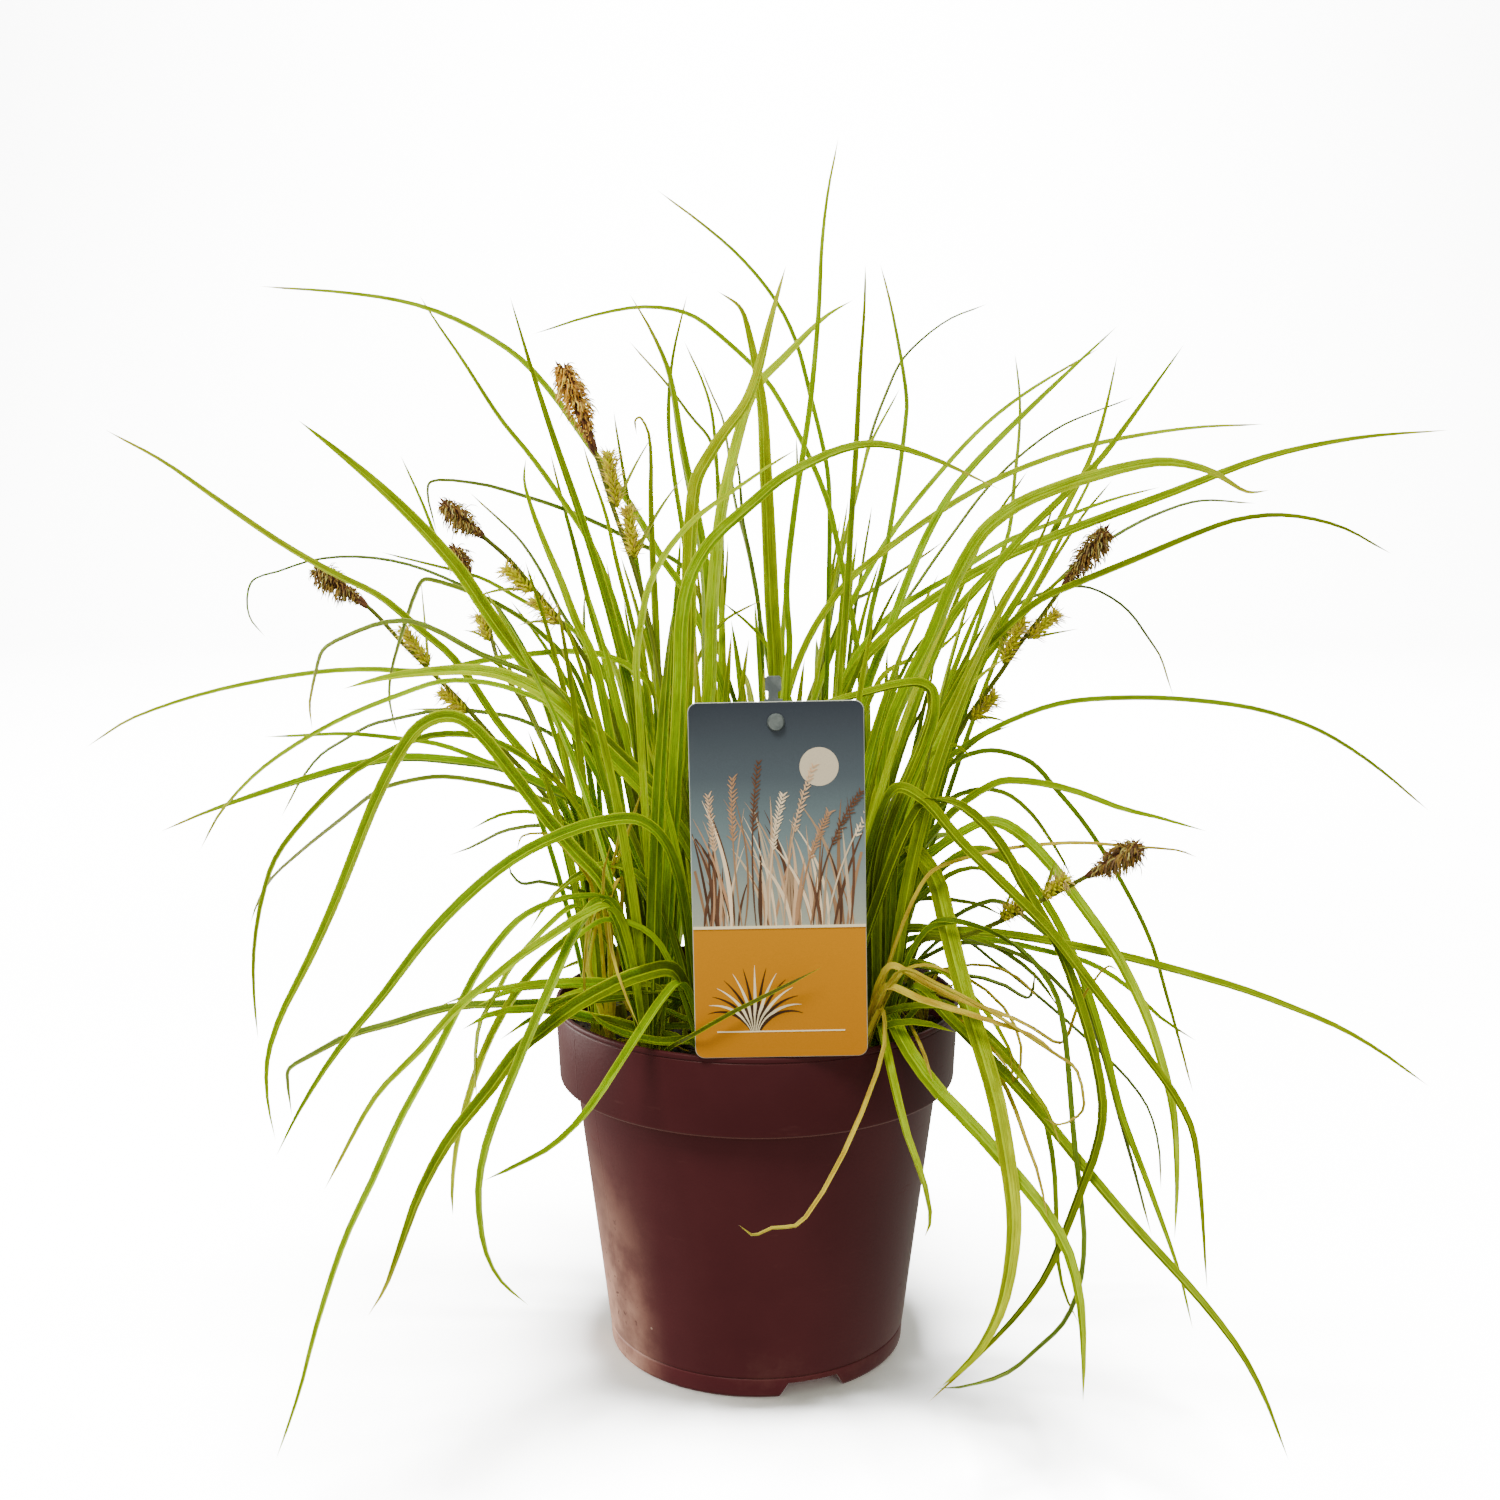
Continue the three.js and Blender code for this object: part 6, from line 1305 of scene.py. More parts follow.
# Linear colours of a leaf at its foot, along its middle and at its tip.
TINTS = {
    "lime": [(0.135, 0.215, 0.0), (0.19, 0.28, 0.0), (0.19, 0.24, 0.0)],
    "olive": [(0.08, 0.135, 0.0), (0.125, 0.19, 0.0), (0.135, 0.17, 0.0)],
    "yellow": [(0.13, 0.20, 0.0), (0.185, 0.265, 0.0), (0.28, 0.345, 0.0)],
    "pale": [(0.12, 0.19, 0.0), (0.19, 0.27, 0.0), (0.25, 0.34, 0.0)],
    "grey": [(0.075, 0.115, 0.003), (0.10, 0.14, 0.015), (0.12, 0.135, 0.04)],
    "straw": [(0.34, 0.29, 0.004), (0.50, 0.42, 0.012), (0.46, 0.36, 0.05)],
}
SHEATH_TINT = np.array([0.46, 0.38, 0.06])
CROWN_TINT = (0.10, 0.11, 0.01)
CROWN_SIDES = 14
DRY_TIP_SHARE = 0.45            # how many of the leaves have a dry tip
WIDTH_BY_TINT = {"straw": 0.58, "yellow": 1.12}
TIP_COLOUR_FROM = {"yellow": (0.52, 0.78)}


def leaf_tints(tint, shares, draw):
    """A leaf's colour along it: its tint, with a pale sheath and a brightness of its own."""
    foot, middle, tip = np.array(TINTS[tint])
    low = between(foot, middle, stepped(0.05, 0.5, shares)[:, None])
    colour = between(low, tip, stepped(*TIP_COLOUR_FROM.get(tint, (0.55, 1.0)), shares)[:, None])
    sheath = (1 - stepped(0.0, 0.1, shares))[:, None]
    colour = between(colour, SHEATH_TINT, 0.6 * sheath)
    light = 1 + 0.6 * (draw() - 0.5)
    warm = 1 + 0.24 * (draw() - 0.4)
    return colour * light * np.array([warm, 1, 1 - 0.3 * draw()])


def leaf_half_width(width, share, tint):
    """Wide green blades taper from near their middle and the others only at their tips."""
    power = 5.5 if tint == "yellow" else np.clip(7.4 - 0.9 * width, 3.2, 6.0)
    full = 0.5 * width * np.interp(width, [2.2, 3.6, 5.2], [1.32, 1.14, 0.99])
    return full * np.minimum(1, 0.5 + 3 * share) * np.maximum(1 - share**power, 0) ** 0.75


def turns_along(leaf, line, shares):
    """Turns that keep a drawn leaf showing its drawn width to the station."""
    _, wide, upper = section_frames(line, np.zeros(len(line)))
    sight = units(line - STATION)
    outward = np.searchsorted(shares, [0.55, 0.7, 0.85, 0.96])
    inward = np.searchsorted(shares, [0.55, 0.4, 0.2])
    known = {}
    for way in (outward, inward):
        turn = leaf["turn"]
        for mark in way:
            choices = turn + np.arange(-10, 11) * math.pi / 36
            side = (wide[mark] * np.cos(choices)[:, None] + upper[mark] * np.sin(choices)[:, None])
            shown = leaf["width"] * np.sqrt(np.maximum(1 - (side @ sight[mark]) ** 2, 0))
            miss = np.abs(shown - leaf["seen"]) + 0.5 * np.abs(choices - turn)
            turn = choices[np.argmin(miss)]
            known[int(mark)] = turn
    places = sorted(known)
    return np.interp(np.arange(len(line)), places, [known[place] for place in places])


def add_leaf(shape, leaf, draw):
    """A keeled leaf along its bent centre line."""
    length = path_length(leaf["path"])
    rings = int(np.clip(length / LEAF_RING_EVERY, FEWEST_RINGS, MOST_RINGS))
    line = fine_line(leaf, rings + 1)
    _, shares = length_shares(line)
    twist = (draw() - 0.5) * MOST_TWIST
    if leaf.get("ruled"):
        turn = leaf["turn"] + twist * (shares - MIDDLE_SHARE)
    else:
        turn = turns_along(leaf, line, shares) + 0.4 * twist * (shares - MIDDLE_SHARE)
    _, wide, upper = section_frames(line, turn)
    half = leaf_half_width(leaf["width"], shares, leaf["tint"]) * WIDTH_BY_TINT.get(leaf["tint"], 1)
    keel = 0.12 + 0.66 * half
    body = slice(0, rings)
    points = (
        line[body, None]
        + wide[body, None] * (half[body, None] * SECTION_ACROSS)[:, :, None]
        + upper[body, None] * (keel[body, None] * SECTION_RISE
                               - LEAF_THICKNESS * SECTION_DROP)[:, :, None]
    )
    dry_tip = stepped(0.96 - 0.08 * draw(), 1.0, shares) * (draw() < DRY_TIP_SHARE)
    dry = np.maximum(dry_tip, 1.0 if leaf["tint"] == "straw" else 0.0)
    tints = leaf_tints(leaf["tint"], shares, draw)
    number = draw()

    def at_points(values):
        return np.concatenate([np.repeat(values[:-1], SECTION_SIDES, axis=0), values[-1:]])

    shape.add(
        np.concatenate([points.reshape(-1, 3), line[-1:]]),
        spike_faces(rings, SECTION_SIDES),
        tint=at_points(tints),
        along=at_points(shares * length),
        across=np.concatenate([np.tile(SECTION_ACROSS, rings), [0.0]]),
        dry=at_points(dry),
        number=number,
    )


def add_crown(shape, kind, x, y):
    """The tiller's short peg of sheaths between the compost and its leaves."""
    radius = CROWN_RADIUS[kind] - 0.4
    line = np.array([[x, y, CROWN_BOTTOM], [x, y, 104.0], [x, y, 110.0], [x, y, 114.0],
                     [x, y, CROWN_TOP]])
    radii = radius * np.array([0.9, 1.0, 1.0, 0.9, 0.75])
    points, faces = round_tube(line, radii, CROWN_SIDES)
    wave = 1 + 0.06 * np.sin(angles_round(CROWN_SIDES) * 5 + x)
    middle = np.array([x, y])
    rings = len(line)
    points[:, :2] = middle + (points[:, :2] - middle) * np.tile(wave, rings)[:, None]
    shape.add(points, faces, tint=CROWN_TINT, along=points[:, 2],
              across=np.tile(np.linspace(-1, 1, CROWN_SIDES), rings), dry=0.2, number=0.5)


def make_tillers(blades):
    """One piece for each tiller, with its leaves."""
    draw = seeded_draw(SEEDS["leaves"])
    for index, (name, kind, x, y) in enumerate(TILLERS):
        shape = Shape(*LEAF_FIELDS)
        add_crown(shape, kind, x, y)
        for blade in blades:
            if blade["tiller"] == index and "left_out" not in blade:
                add_leaf(shape, blade, draw)
        slot = {"green": "lime_leaf", "yellow": "yellow_leaf", "straw": "straw_leaf"}[kind]
        material = dry_leaf_material if kind == "straw" else leaf_material
        show("leaves_" + name, shape.mesh("leaves_" + name, SHARP_LEAF), material, slot, name)


# ---- Flower stems and spikes -----------------------------------------------------------------
STEM_TINTS = np.array([(0.20, 0.24, 0.01), (0.10, 0.13, 0.01), (0.09, 0.10, 0.015)])
BRACT_TINT = np.array([0.24, 0.30, 0.03])
SCALE_TINTS = np.array([(0.07, 0.025, 0.01), (0.17, 0.065, 0.025)])
ANTHER_TINTS = np.array([(0.68, 0.37, 0.04), (0.46, 0.20, 0.02), (0.92, 0.70, 0.12),
                         (0.30, 0.15, 0.04)])
FRESH, FADED = np.array([1.0, 1.0, 1.0]), np.array([0.5, 0.58, 0.95])
FRESH_SPIKE = 3
SCALES_PER_MM, STAMENS_PER_MM = 3.6, 24
UTRICLE_TINTS = np.array([(0.46, 0.48, 0.0), (0.76, 0.68, 0.0)])
BRISTLE_TINTS = np.array([(0.84, 0.70, 0.06), (0.44, 0.32, 0.18)])
SACKS_PER_MM, BRISTLES_PER_MM = 4.0, 10
STEM_RINGS, STEM_SIDES = 44, 9
SPIRAL_STEP = 2.4               # the angle from one scale or sack to the next
BRACT_RING = ((1, 0.3), (0, -0.35), (-1, 0.3), (0, -0.75))
SCALE_RINGS = ((0, 0.5), (0.35, 1.0), (0.7, 0.7))
DOWN = np.array([0.0, 0.0, -1.0])


def down_from_top(line, distance):
    """The point of a line at a distance from its end, and the line's direction there."""
    from_end = running(norms(np.diff(line, axis=0))[::-1])[::-1]
    point = np.array([np.interp(-distance, -from_end, line[:, axis]) for axis in range(3)])
    number = np.interp(-distance, -from_end, np.arange(len(line)))
    low = min(int(number), len(line) - 2)
    return point, unit(line[low + 1] - line[low])


def add_stem(shape, stem, line):
    """A three-sided stem with rounded corners, which ends inside its top spike."""
    from_end = path_length(line) - running(norms(np.diff(line, axis=0)))
    kept = line[from_end > 0.5 * stem["spike_length"]]
    _, side, other = line_frames(kept)
    shares = np.linspace(0, 1, len(kept))
    radii = STEM_RADIUS * (1 - 0.35 * shares)
    angles = angles_round(STEM_SIDES)
    corner = 0.86 + 0.14 * np.cos(3 * angles)
    ring = (np.cos(angles) * corner)[None, :, None] * side[:, None]
    ring = ring + (np.sin(angles) * corner)[None, :, None] * other[:, None]
    points = (kept[:, None] + ring * radii[:, None, None]).reshape(-1, 3)
    foot, middle, top = STEM_TINTS
    tint = between(foot, middle, stepped(0, 0.4, shares)[:, None])
    tint = between(tint, top, stepped(0.5, 1, shares)[:, None])
    length = path_length(kept)
    shape.add(points, tube_faces(len(kept), STEM_SIDES),
              tint=np.repeat(tint, STEM_SIDES, axis=0),
              along=np.repeat(shares * length, STEM_SIDES),
              across=np.tile(np.cos(3 * angles), len(kept)), dry=0.0, number=0.3)


def bent_line(foot, way, length, bends):
    """A line that sets out one way and turns by one of the bends at each of its steps."""
    line, direction = [foot], way
    for bend in bends:
        line.append(line[-1] + direction * length / len(bends))
        direction = unit(direction + bend / len(bends))
    return np.array(line)


def add_bract(shape, foot, way, droop, length, width, draw):
    """A small leaf at a spikelet's foot."""
    count = 12
    line = bent_line(foot, way, length, [DOWN * droop] * count)
    _, side, other = line_frames(line)
    shares = np.linspace(0, 1, count + 1)
    half = 0.5 * width * (1 - shares**2)
    points = np.concatenate([
        np.stack([line[:-1] + side[:-1] * half[:-1, None] * across
                  + other[:-1] * (0.2 + half[:-1, None]) * rise
                  for across, rise in BRACT_RING], axis=1).reshape(-1, 3), line[-1:]])
    tint = BRACT_TINT * (0.85 + 0.3 * draw())
    shape.add(points, spike_faces(count, 4), tint=tint, along=points[:, 2],
              across=0.3, dry=0.3, number=draw())


def add_thread(shape, foot, way, length, radius, droop, curl, tint, draw):
    """A thin bent thread, such as a hanging stamen or a bristle."""
    aside = unit(np.cross(way, [draw() - 0.5, draw() - 0.5, draw() - 0.5]))
    bends = [DOWN * droop + aside * curl * math.cos(step * 1.3) for step in range(5)]
    line = bent_line(foot, way, length, bends)
    radii = radius * np.array([0.8, 1.0, 1.1, 1.0, 0.8])
    points, faces = round_tube(line, radii, 3, aside, tipped=True)
    shape.add(points, faces, tint=tint)


def add_scale(shape, foot, along, out, length, width, tint):
    """A pointed scale, keeled on its outer side, that leans away from its spike."""
    across = unit(np.cross(along, out))
    lean = unit(along + 0.28 * out)
    thick = 0.28 * width
    points = []
    for share, full in SCALE_RINGS:
        middle = foot + lean * length * share
        points += [middle + across * width * 0.5 * full,
                   middle + out * thick * full,
                   middle - across * width * 0.5 * full,
                   middle - out * thick * 0.4 * full]
    points.append(foot + lean * length)
    shape.add(points, spike_faces(len(SCALE_RINGS), 4), tint=tint)


def axis_points(line, spike_length, shares):
    """Points of a spike's axis at shares of its length."""
    return np.array([down_from_top(line, spike_length * (1 - share))[0] for share in shares])


def around(along, angle):
    """A direction straight out from an axis, at an angle round it."""
    side = unit(np.cross([0.0, -1.0, 0.0], along))
    return side * math.cos(angle) + np.cross(along, side) * math.sin(angle)


def add_core(shape, axis, radii, tint):
    """The slim body that a spike's parts stand out of."""
    points, faces = round_tube(axis, radii, 10, tipped=True)
    shape.add(points, faces, tint=tint)


def make_top_spike(index, stem, line):
    """A male spike: dark scales on a slim core, with tan stamens massed on its upper part."""
    first_seed, seed_step = SEEDS["top spikes"]
    draw = seeded_draw(first_seed + seed_step * index)
    shape = Shape("tint")
    length = 0.87 * stem["spike_length"]
    radius = 1.5 + 0.028 * length
    shares = np.linspace(-0.1, 1, 16)
    bulge = radius * np.interp(shares, [-0.1, 0.25, 0.5, 0.8, 0.95, 1],
                               [0.35, 0.5, 0.9, 1.1, 0.9, 0.4])
    add_core(shape, axis_points(line, length, shares), 0.75 * bulge, SCALE_TINTS[0])
    scales = int(SCALES_PER_MM * length)
    for k in range(scales):
        share = (k + draw()) / scales * 0.95
        middle, direction = down_from_top(line, length * (1 - share))
        out = around(direction, k * SPIRAL_STEP + 0.5 * draw())
        fat = np.interp(share, shares, bulge)
        tint = between(*SCALE_TINTS, draw() ** 1.5)
        add_scale(shape, middle + out * fat * 0.55, direction, out, 3.6 + 1.8 * draw(),
                  1.0 + 0.4 * draw(), tint)
    for _ in range(int(STAMENS_PER_MM * length)):
        share = 1 - 0.86 * draw() ** 1.5
        middle, direction = down_from_top(line, length * (1 - share))
        out = around(direction, 2 * math.pi * draw())
        fat = np.interp(share, shares, bulge)
        forward = 1.5 if share > 0.93 else 0.5
        way = unit(out + direction * forward * draw() - direction * 0.3)
        full = np.interp(share, [0.14, 0.35, 0.55, 0.8, 1], [0.25, 0.7, 1.15, 1.2, 0.75])
        reach = full * (2.3 + 2.4 * draw() + (2.6 * draw() if draw() < 0.16 else 0))
        pick = ANTHER_TINTS[min(int(draw() * 4), 3)] * (FRESH if index == FRESH_SPIKE else FADED)
        tint = between(pick, SCALE_TINTS[1], 0.5 * draw() * (1 - share))
        add_thread(shape, middle + out * fat * 0.75, way, reach, 0.15 + 0.1 * draw(),
                   1.2 + 2.4 * draw(), 2.4, tint, draw)
    name = f"male_spike_{index + 1}"
    show(name, shape.mesh(name, SHARP_FLOWER), male_material, "male_spike",
         f"top_spike_{index + 1}")


def add_utricle(shape, foot, way, length, radius, tint):
    """A seed's swollen green sack with its pointed beak."""
    shares = np.array([0, 0.2, 0.42, 0.62, 0.8, 1])
    line = foot + np.outer(shares * length, way)
    radii = radius * np.array([0.35, 0.85, 1, 0.7, 0.28])
    points, faces = round_tube(line, radii, 6, aside=(0.3, -1.0, 0.2), tipped=True)
    light = np.concatenate([np.repeat(shares[:-1], 6), [1]])[:, None]
    shape.add(points, faces, tint=tint * (0.8 + 0.5 * light))


def make_spikelet(stem_number, number, line, place, length, hand):
    """A female spikelet: green sacks in rows, with pale bristles between them."""
    first_seed, stem_step, step = SEEDS["spikelets"]
    draw = seeded_draw(first_seed + stem_step * stem_number + step * number)
    shape = Shape("tint")
    start, along = down_from_top(line, place + length / 2)
    side = unit(np.cross([0.0, -1.0, 0.0], along))
    radius = 1.2 + 0.04 * length
    away = unit(along + 0.16 * side * hand)
    foot = start + side * hand * (STEM_RADIUS * 0.5 + 0.3 * radius)
    shares = np.linspace(0, 1, 9)
    axis = foot + np.outer(shares * length * 0.96, away)
    bulge = radius * np.sin(math.pi * np.clip(0.14 + 0.74 * shares, 0, 1))
    add_core(shape, axis, 0.55 * bulge, UTRICLE_TINTS[0] * 0.7)
    sacks = int(SACKS_PER_MM * length)
    for k in range(sacks):
        share = (k + 0.5) / sacks
        out = around(away, k * SPIRAL_STEP)
        fat = np.interp(share, shares, bulge)
        middle = foot + away * length * share * 0.9
        tint = between(*UTRICLE_TINTS, draw())
        way = unit(out * (1.5 - 0.9 * share) + away)
        add_utricle(shape, middle + out * fat * 0.3, way, 2.6 + 1.1 * draw(), 0.5, tint)
    for _ in range(int(BRISTLES_PER_MM * length)):
        share = 1 - draw() ** 1.4
        out = around(away, 2 * math.pi * draw())
        middle = foot + away * length * share * 0.92
        way = unit(out * 1.2 + away * (0.3 + draw()))
        tint = between(*BRISTLE_TINTS, draw() ** 1.5)
        add_thread(shape, middle + out * 0.6, way, 3.0 + 2.6 * draw(), 0.12 + 0.07 * draw(),
                   0.6 * draw(), 1.4, tint, draw)
    name = f"female_spikelet_{stem_number + 1}_{number + 1}"
    show(name, shape.mesh(name, SHARP_FLOWER), female_material, "female_spike",
         f"spikelet_{stem_number + 1}_{number + 1}")
    return foot, unit(away + 0.7 * side * hand)


def make_flowers(stems):
    """One piece for each stalk with its bracts, each top spike and each spikelet."""
    draw = seeded_draw(SEEDS["stems"])
    for index, stem in enumerate(stems):
        line = fine_line(stem, STEM_RINGS)
        shape = Shape(*LEAF_FIELDS)
        add_stem(shape, stem, line)
        make_top_spike(index, stem, line)
        for number, (place, length, hand) in enumerate(stem["spikelets"]):
            foot, way = make_spikelet(index, number, line, place, length, hand)
            add_bract(shape, foot - way * 0.6, way, 0.9 * draw(), length * (1.1 + 0.9 * draw()),
                      1.1 + 0.4 * draw(), draw)
        name = f"flower_stalk_{index + 1}"
        show(name, shape.mesh(name, SHARP_FLOWER), stem_material, "stem",
             f"flower_stem_{index + 1}")


# ---- Pot -------------------------------------------------------------------------------------
POT_SIDES = 168
POT_PROFILE = [
    # outer side from the foot up, lip, then inner side down: [radius, height]
    [0, FOOT_HEIGHT - 0.9], [FOOT_RADIUS - 2.5, FOOT_HEIGHT - 0.9], [FOOT_RADIUS - 2.2, 0],
    [FOOT_RADIUS - 0.7, 0], [FOOT_RADIUS, 0.9], [FOOT_RADIUS + 0.3, FOOT_HEIGHT - 0.4],
    [FOOT_RADIUS - 0.1, FOOT_HEIGHT], [FOOT_RADIUS + 0.5, FOOT_HEIGHT + 0.5],
    [BODY_TOP_RADIUS, COLLAR_BOTTOM - 1], [RIM_RADIUS - 2, COLLAR_BOTTOM - 0.8],
    [RIM_RADIUS - 1.3, COLLAR_BOTTOM], [RIM_RADIUS - 0.2, POT_HEIGHT - 2.3],
    [RIM_RADIUS - 0.5, POT_HEIGHT - 2], [RIM_RADIUS, POT_HEIGHT - 1.6],
    [RIM_RADIUS, POT_HEIGHT - 0.4], [RIM_RADIUS - 0.5, POT_HEIGHT],
    [RIM_RADIUS - 1.4, POT_HEIGHT], [RIM_RADIUS - 1.2 - WALL, COLLAR_BOTTOM + 1.2],
    [RIM_RADIUS - 1.8 - WALL, COLLAR_BOTTOM + 0.6], [BODY_TOP_RADIUS - WALL, COLLAR_BOTTOM + 0.4],
    [FOOT_RADIUS - 0.5, FOOT_HEIGHT + FLOOR_THICKNESS],
    [0, FOOT_HEIGHT - 0.9 + FLOOR_THICKNESS],
]
CORNER_ROUNDING = 0.5
NOTCH_OUTLINE = [(12.5, -1.0), (8.8, 5.0), (-8.8, 5.0), (-12.5, -1.0)]


def rounded_profile(profile, rounding):
    """The profile with each inner corner cut to a short arc."""
    marks = np.array(profile, float)
    result = [marks[0]]
    for before, corner, after in zip(marks[:-2], marks[1:-1], marks[2:]):
        to_before, to_after = before - corner, after - corner
        room = min(np.linalg.norm(to_before), np.linalg.norm(to_after))
        reach = min(rounding, 0.35 * room)
        start = corner + unit(to_before) * reach
        end = corner + unit(to_after) * reach
        for u in (0, 0.5, 1):
            result.append((1 - u) ** 2 * start + 2 * u * (1 - u) * corner + u**2 * end)
    return np.array(result + [marks[-1]])


def turned(profile, sides):
    """Points and faces of a profile turned about the axis; its ends lie on the axis."""
    angles = angles_round(sides)
    inner = profile[1:-1]
    rings = np.stack([inner[:, None, 0] * np.cos(angles), inner[:, None, 0] * np.sin(angles),
                      np.broadcast_to(inner[:, None, 1], (len(inner), sides))], axis=2)
    ends = [[0, 0, profile[0][1]], [0, 0, profile[-1][1]]]
    points = np.concatenate([rings.reshape(-1, 3), ends])
    faces = tube_faces(len(inner), sides, False, False)
    first, last = len(points) - 2, len(points) - 1
    top = (len(inner) - 1) * sides
    for side in range(sides):
        after = (side + 1) % sides
        faces.append([first, after, side])
        faces.append([last, top + side, top + after])
    return points, faces


def prism_mesh(name, outline, low, high, place):
    """A mesh of an outline raised from `low` to `high`, each point set down by `place`."""
    count = len(outline)
    points = [place(u, v, low) for u, v in outline] + [place(u, v, high) for u, v in outline]
    shape = Shape()
    shape.add(points, tube_faces(2, count))
    return shape.mesh(name)


def cut_away(mesh, cutters, sharp):
    """The mesh with the cutters' meshes taken out of it, smooth but for its sharp edges."""
    body = put(mesh.name + "_whole", mesh)
    made = []
    for cutter in cutters:
        made.append(put(cutter.name, cutter))
        cut = body.modifiers.new("cut", "BOOLEAN")
        cut.operation = "DIFFERENCE"
        cut.solver = "EXACT"
        cut.object = made[-1]
    bpy.context.view_layer.update()
    graph = bpy.context.evaluated_depsgraph_get()
    solid = bpy.data.meshes.new_from_object(body.evaluated_get(graph))
    for spare in made + [body]:
        bpy.data.objects.remove(spare)
    solid.shade_smooth()
    solid.set_sharp_from_angle(angle=math.radians(sharp))
    return solid


def make_pot():
    """The turned shell with notches in its foot."""
    shape = Shape()
    shape.add(*turned(rounded_profile(POT_PROFILE, CORNER_ROUNDING), POT_SIDES))
    cutters = []
    for k in range(NOTCH_COUNT):
        bearing = NOTCH_BEARING + k * 2 * math.pi / NOTCH_COUNT
        outward = np.array([math.cos(bearing), math.sin(bearing), 0])
        aside = np.array([-outward[1], outward[0], 0])

        def place(across, up, out, outward=outward, aside=aside):
            return aside * across + outward * out + np.array([0, 0, up])

        cutters.append(prism_mesh("notch", NOTCH_OUTLINE, FOOT_RADIUS - 8, FOOT_RADIUS + 4, place))
    pot = cut_away(shape.mesh("pot_shell"), cutters, SHARP_POT)
    show("pot_shell", pot, pot_material, "pot", "nursery_pot")


# ---- Compost ---------------------------------------------------------------------------------
SOIL_SIDES = 150
SOIL_RINGS = 46
CRUMBS = 2300
LITTER = 60
LITTER_STEPS = 8
LITTER_REACH, LITTER_EDGE = 62, 64
SOIL_DARK, SOIL_LIGHT = linear(34, 25, 19), linear(74, 55, 40)
LITTER_BROWN, LITTER_STRAW = linear(150, 100, 52), linear(206, 176, 112)


def soil_height(x, y):
    """The lumpy top of the compost at a place."""
    wave = math.sin(0.21 * x + 0.9) * math.cos(0.17 * y - 0.4) + 0.6 * math.sin(0.43 * y + 0.31 * x)
    lumps = noise.fractal(Vector((x * 0.11, y * 0.11, 0.4)), 0.7, 2.1, 5)
    return SOIL_LEVEL - 1.2 + 0.7 * wave + 1.5 * lumps


def scattered(draw, reach):
    """A drawn place within a distance of the pot's axis."""
    radius = reach * math.sqrt(draw())
    angle = 2 * math.pi * draw()
    return radius * math.cos(angle), radius * math.sin(angle)


def make_soil():
    """A lumpy top on a plug that fills the pot, strewn with crumbs."""
    draw = seeded_draw(SEEDS["compost"])
    shape = Shape("tint")
    top_radius = RIM_RADIUS - 2.2
    side = [[RIM_RADIUS - 1.6 - WALL, COLLAR_BOTTOM + 1.7],
            [RIM_RADIUS - 2.1 - WALL, COLLAR_BOTTOM + 1.1],
            [BODY_TOP_RADIUS - WALL - 0.4, COLLAR_BOTTOM + 0.8],
            [FOOT_RADIUS - 0.9, FOOT_HEIGHT + FLOOR_THICKNESS + 0.4]]
    across = [[top_radius * math.sqrt(k / SOIL_RINGS), SOIL_LEVEL]
              for k in range(SOIL_RINGS, 0, -1)]
    profile = np.array([[0, FOOT_HEIGHT + FLOOR_THICKNESS - 0.5]] + side[::-1] + across
                       + [[0, SOIL_LEVEL]])
    points, faces = turned(profile, SOIL_SIDES)
    for point in points:
        if point[2] >= SOIL_LEVEL:
            point[2] = soil_height(point[0], point[1])
    shape.add(points, faces, tint=SOIL_DARK)
    sphere = bmesh.new()
    bmesh.ops.create_icosphere(sphere, subdivisions=1, radius=1)
    ball = np.array([corner.co for corner in sphere.verts])
    ball_faces = [[corner.index for corner in face.verts] for face in sphere.faces]
    sphere.free()
    for _ in range(CRUMBS):
        x, y = scattered(draw, top_radius - 1)
        size = 0.35 + 1.5 * draw() ** 3
        squeeze = np.array([0.8 + 0.7 * draw(), 0.8 + 0.7 * draw(), 0.6 + 0.4 * draw()])
        jitter = np.array([1 + 0.5 * (draw() - 0.5) for _ in ball])[:, None]
        turn = 2 * math.pi * draw()
        cos, sin = math.cos(turn), math.sin(turn)
        crumb = ball * jitter * squeeze * size
        crumb = crumb @ np.array([[cos, sin, 0], [-sin, cos, 0], [0, 0, 1]])
        place = np.array([x, y, soil_height(x, y) + 0.3 * size])
        shape.add(crumb + place, ball_faces, tint=between(SOIL_DARK, SOIL_LIGHT, draw() ** 2))
    show("compost", shape.mesh("compost", SHARP_CRUMB), soil_material, "soil", "potting_soil")


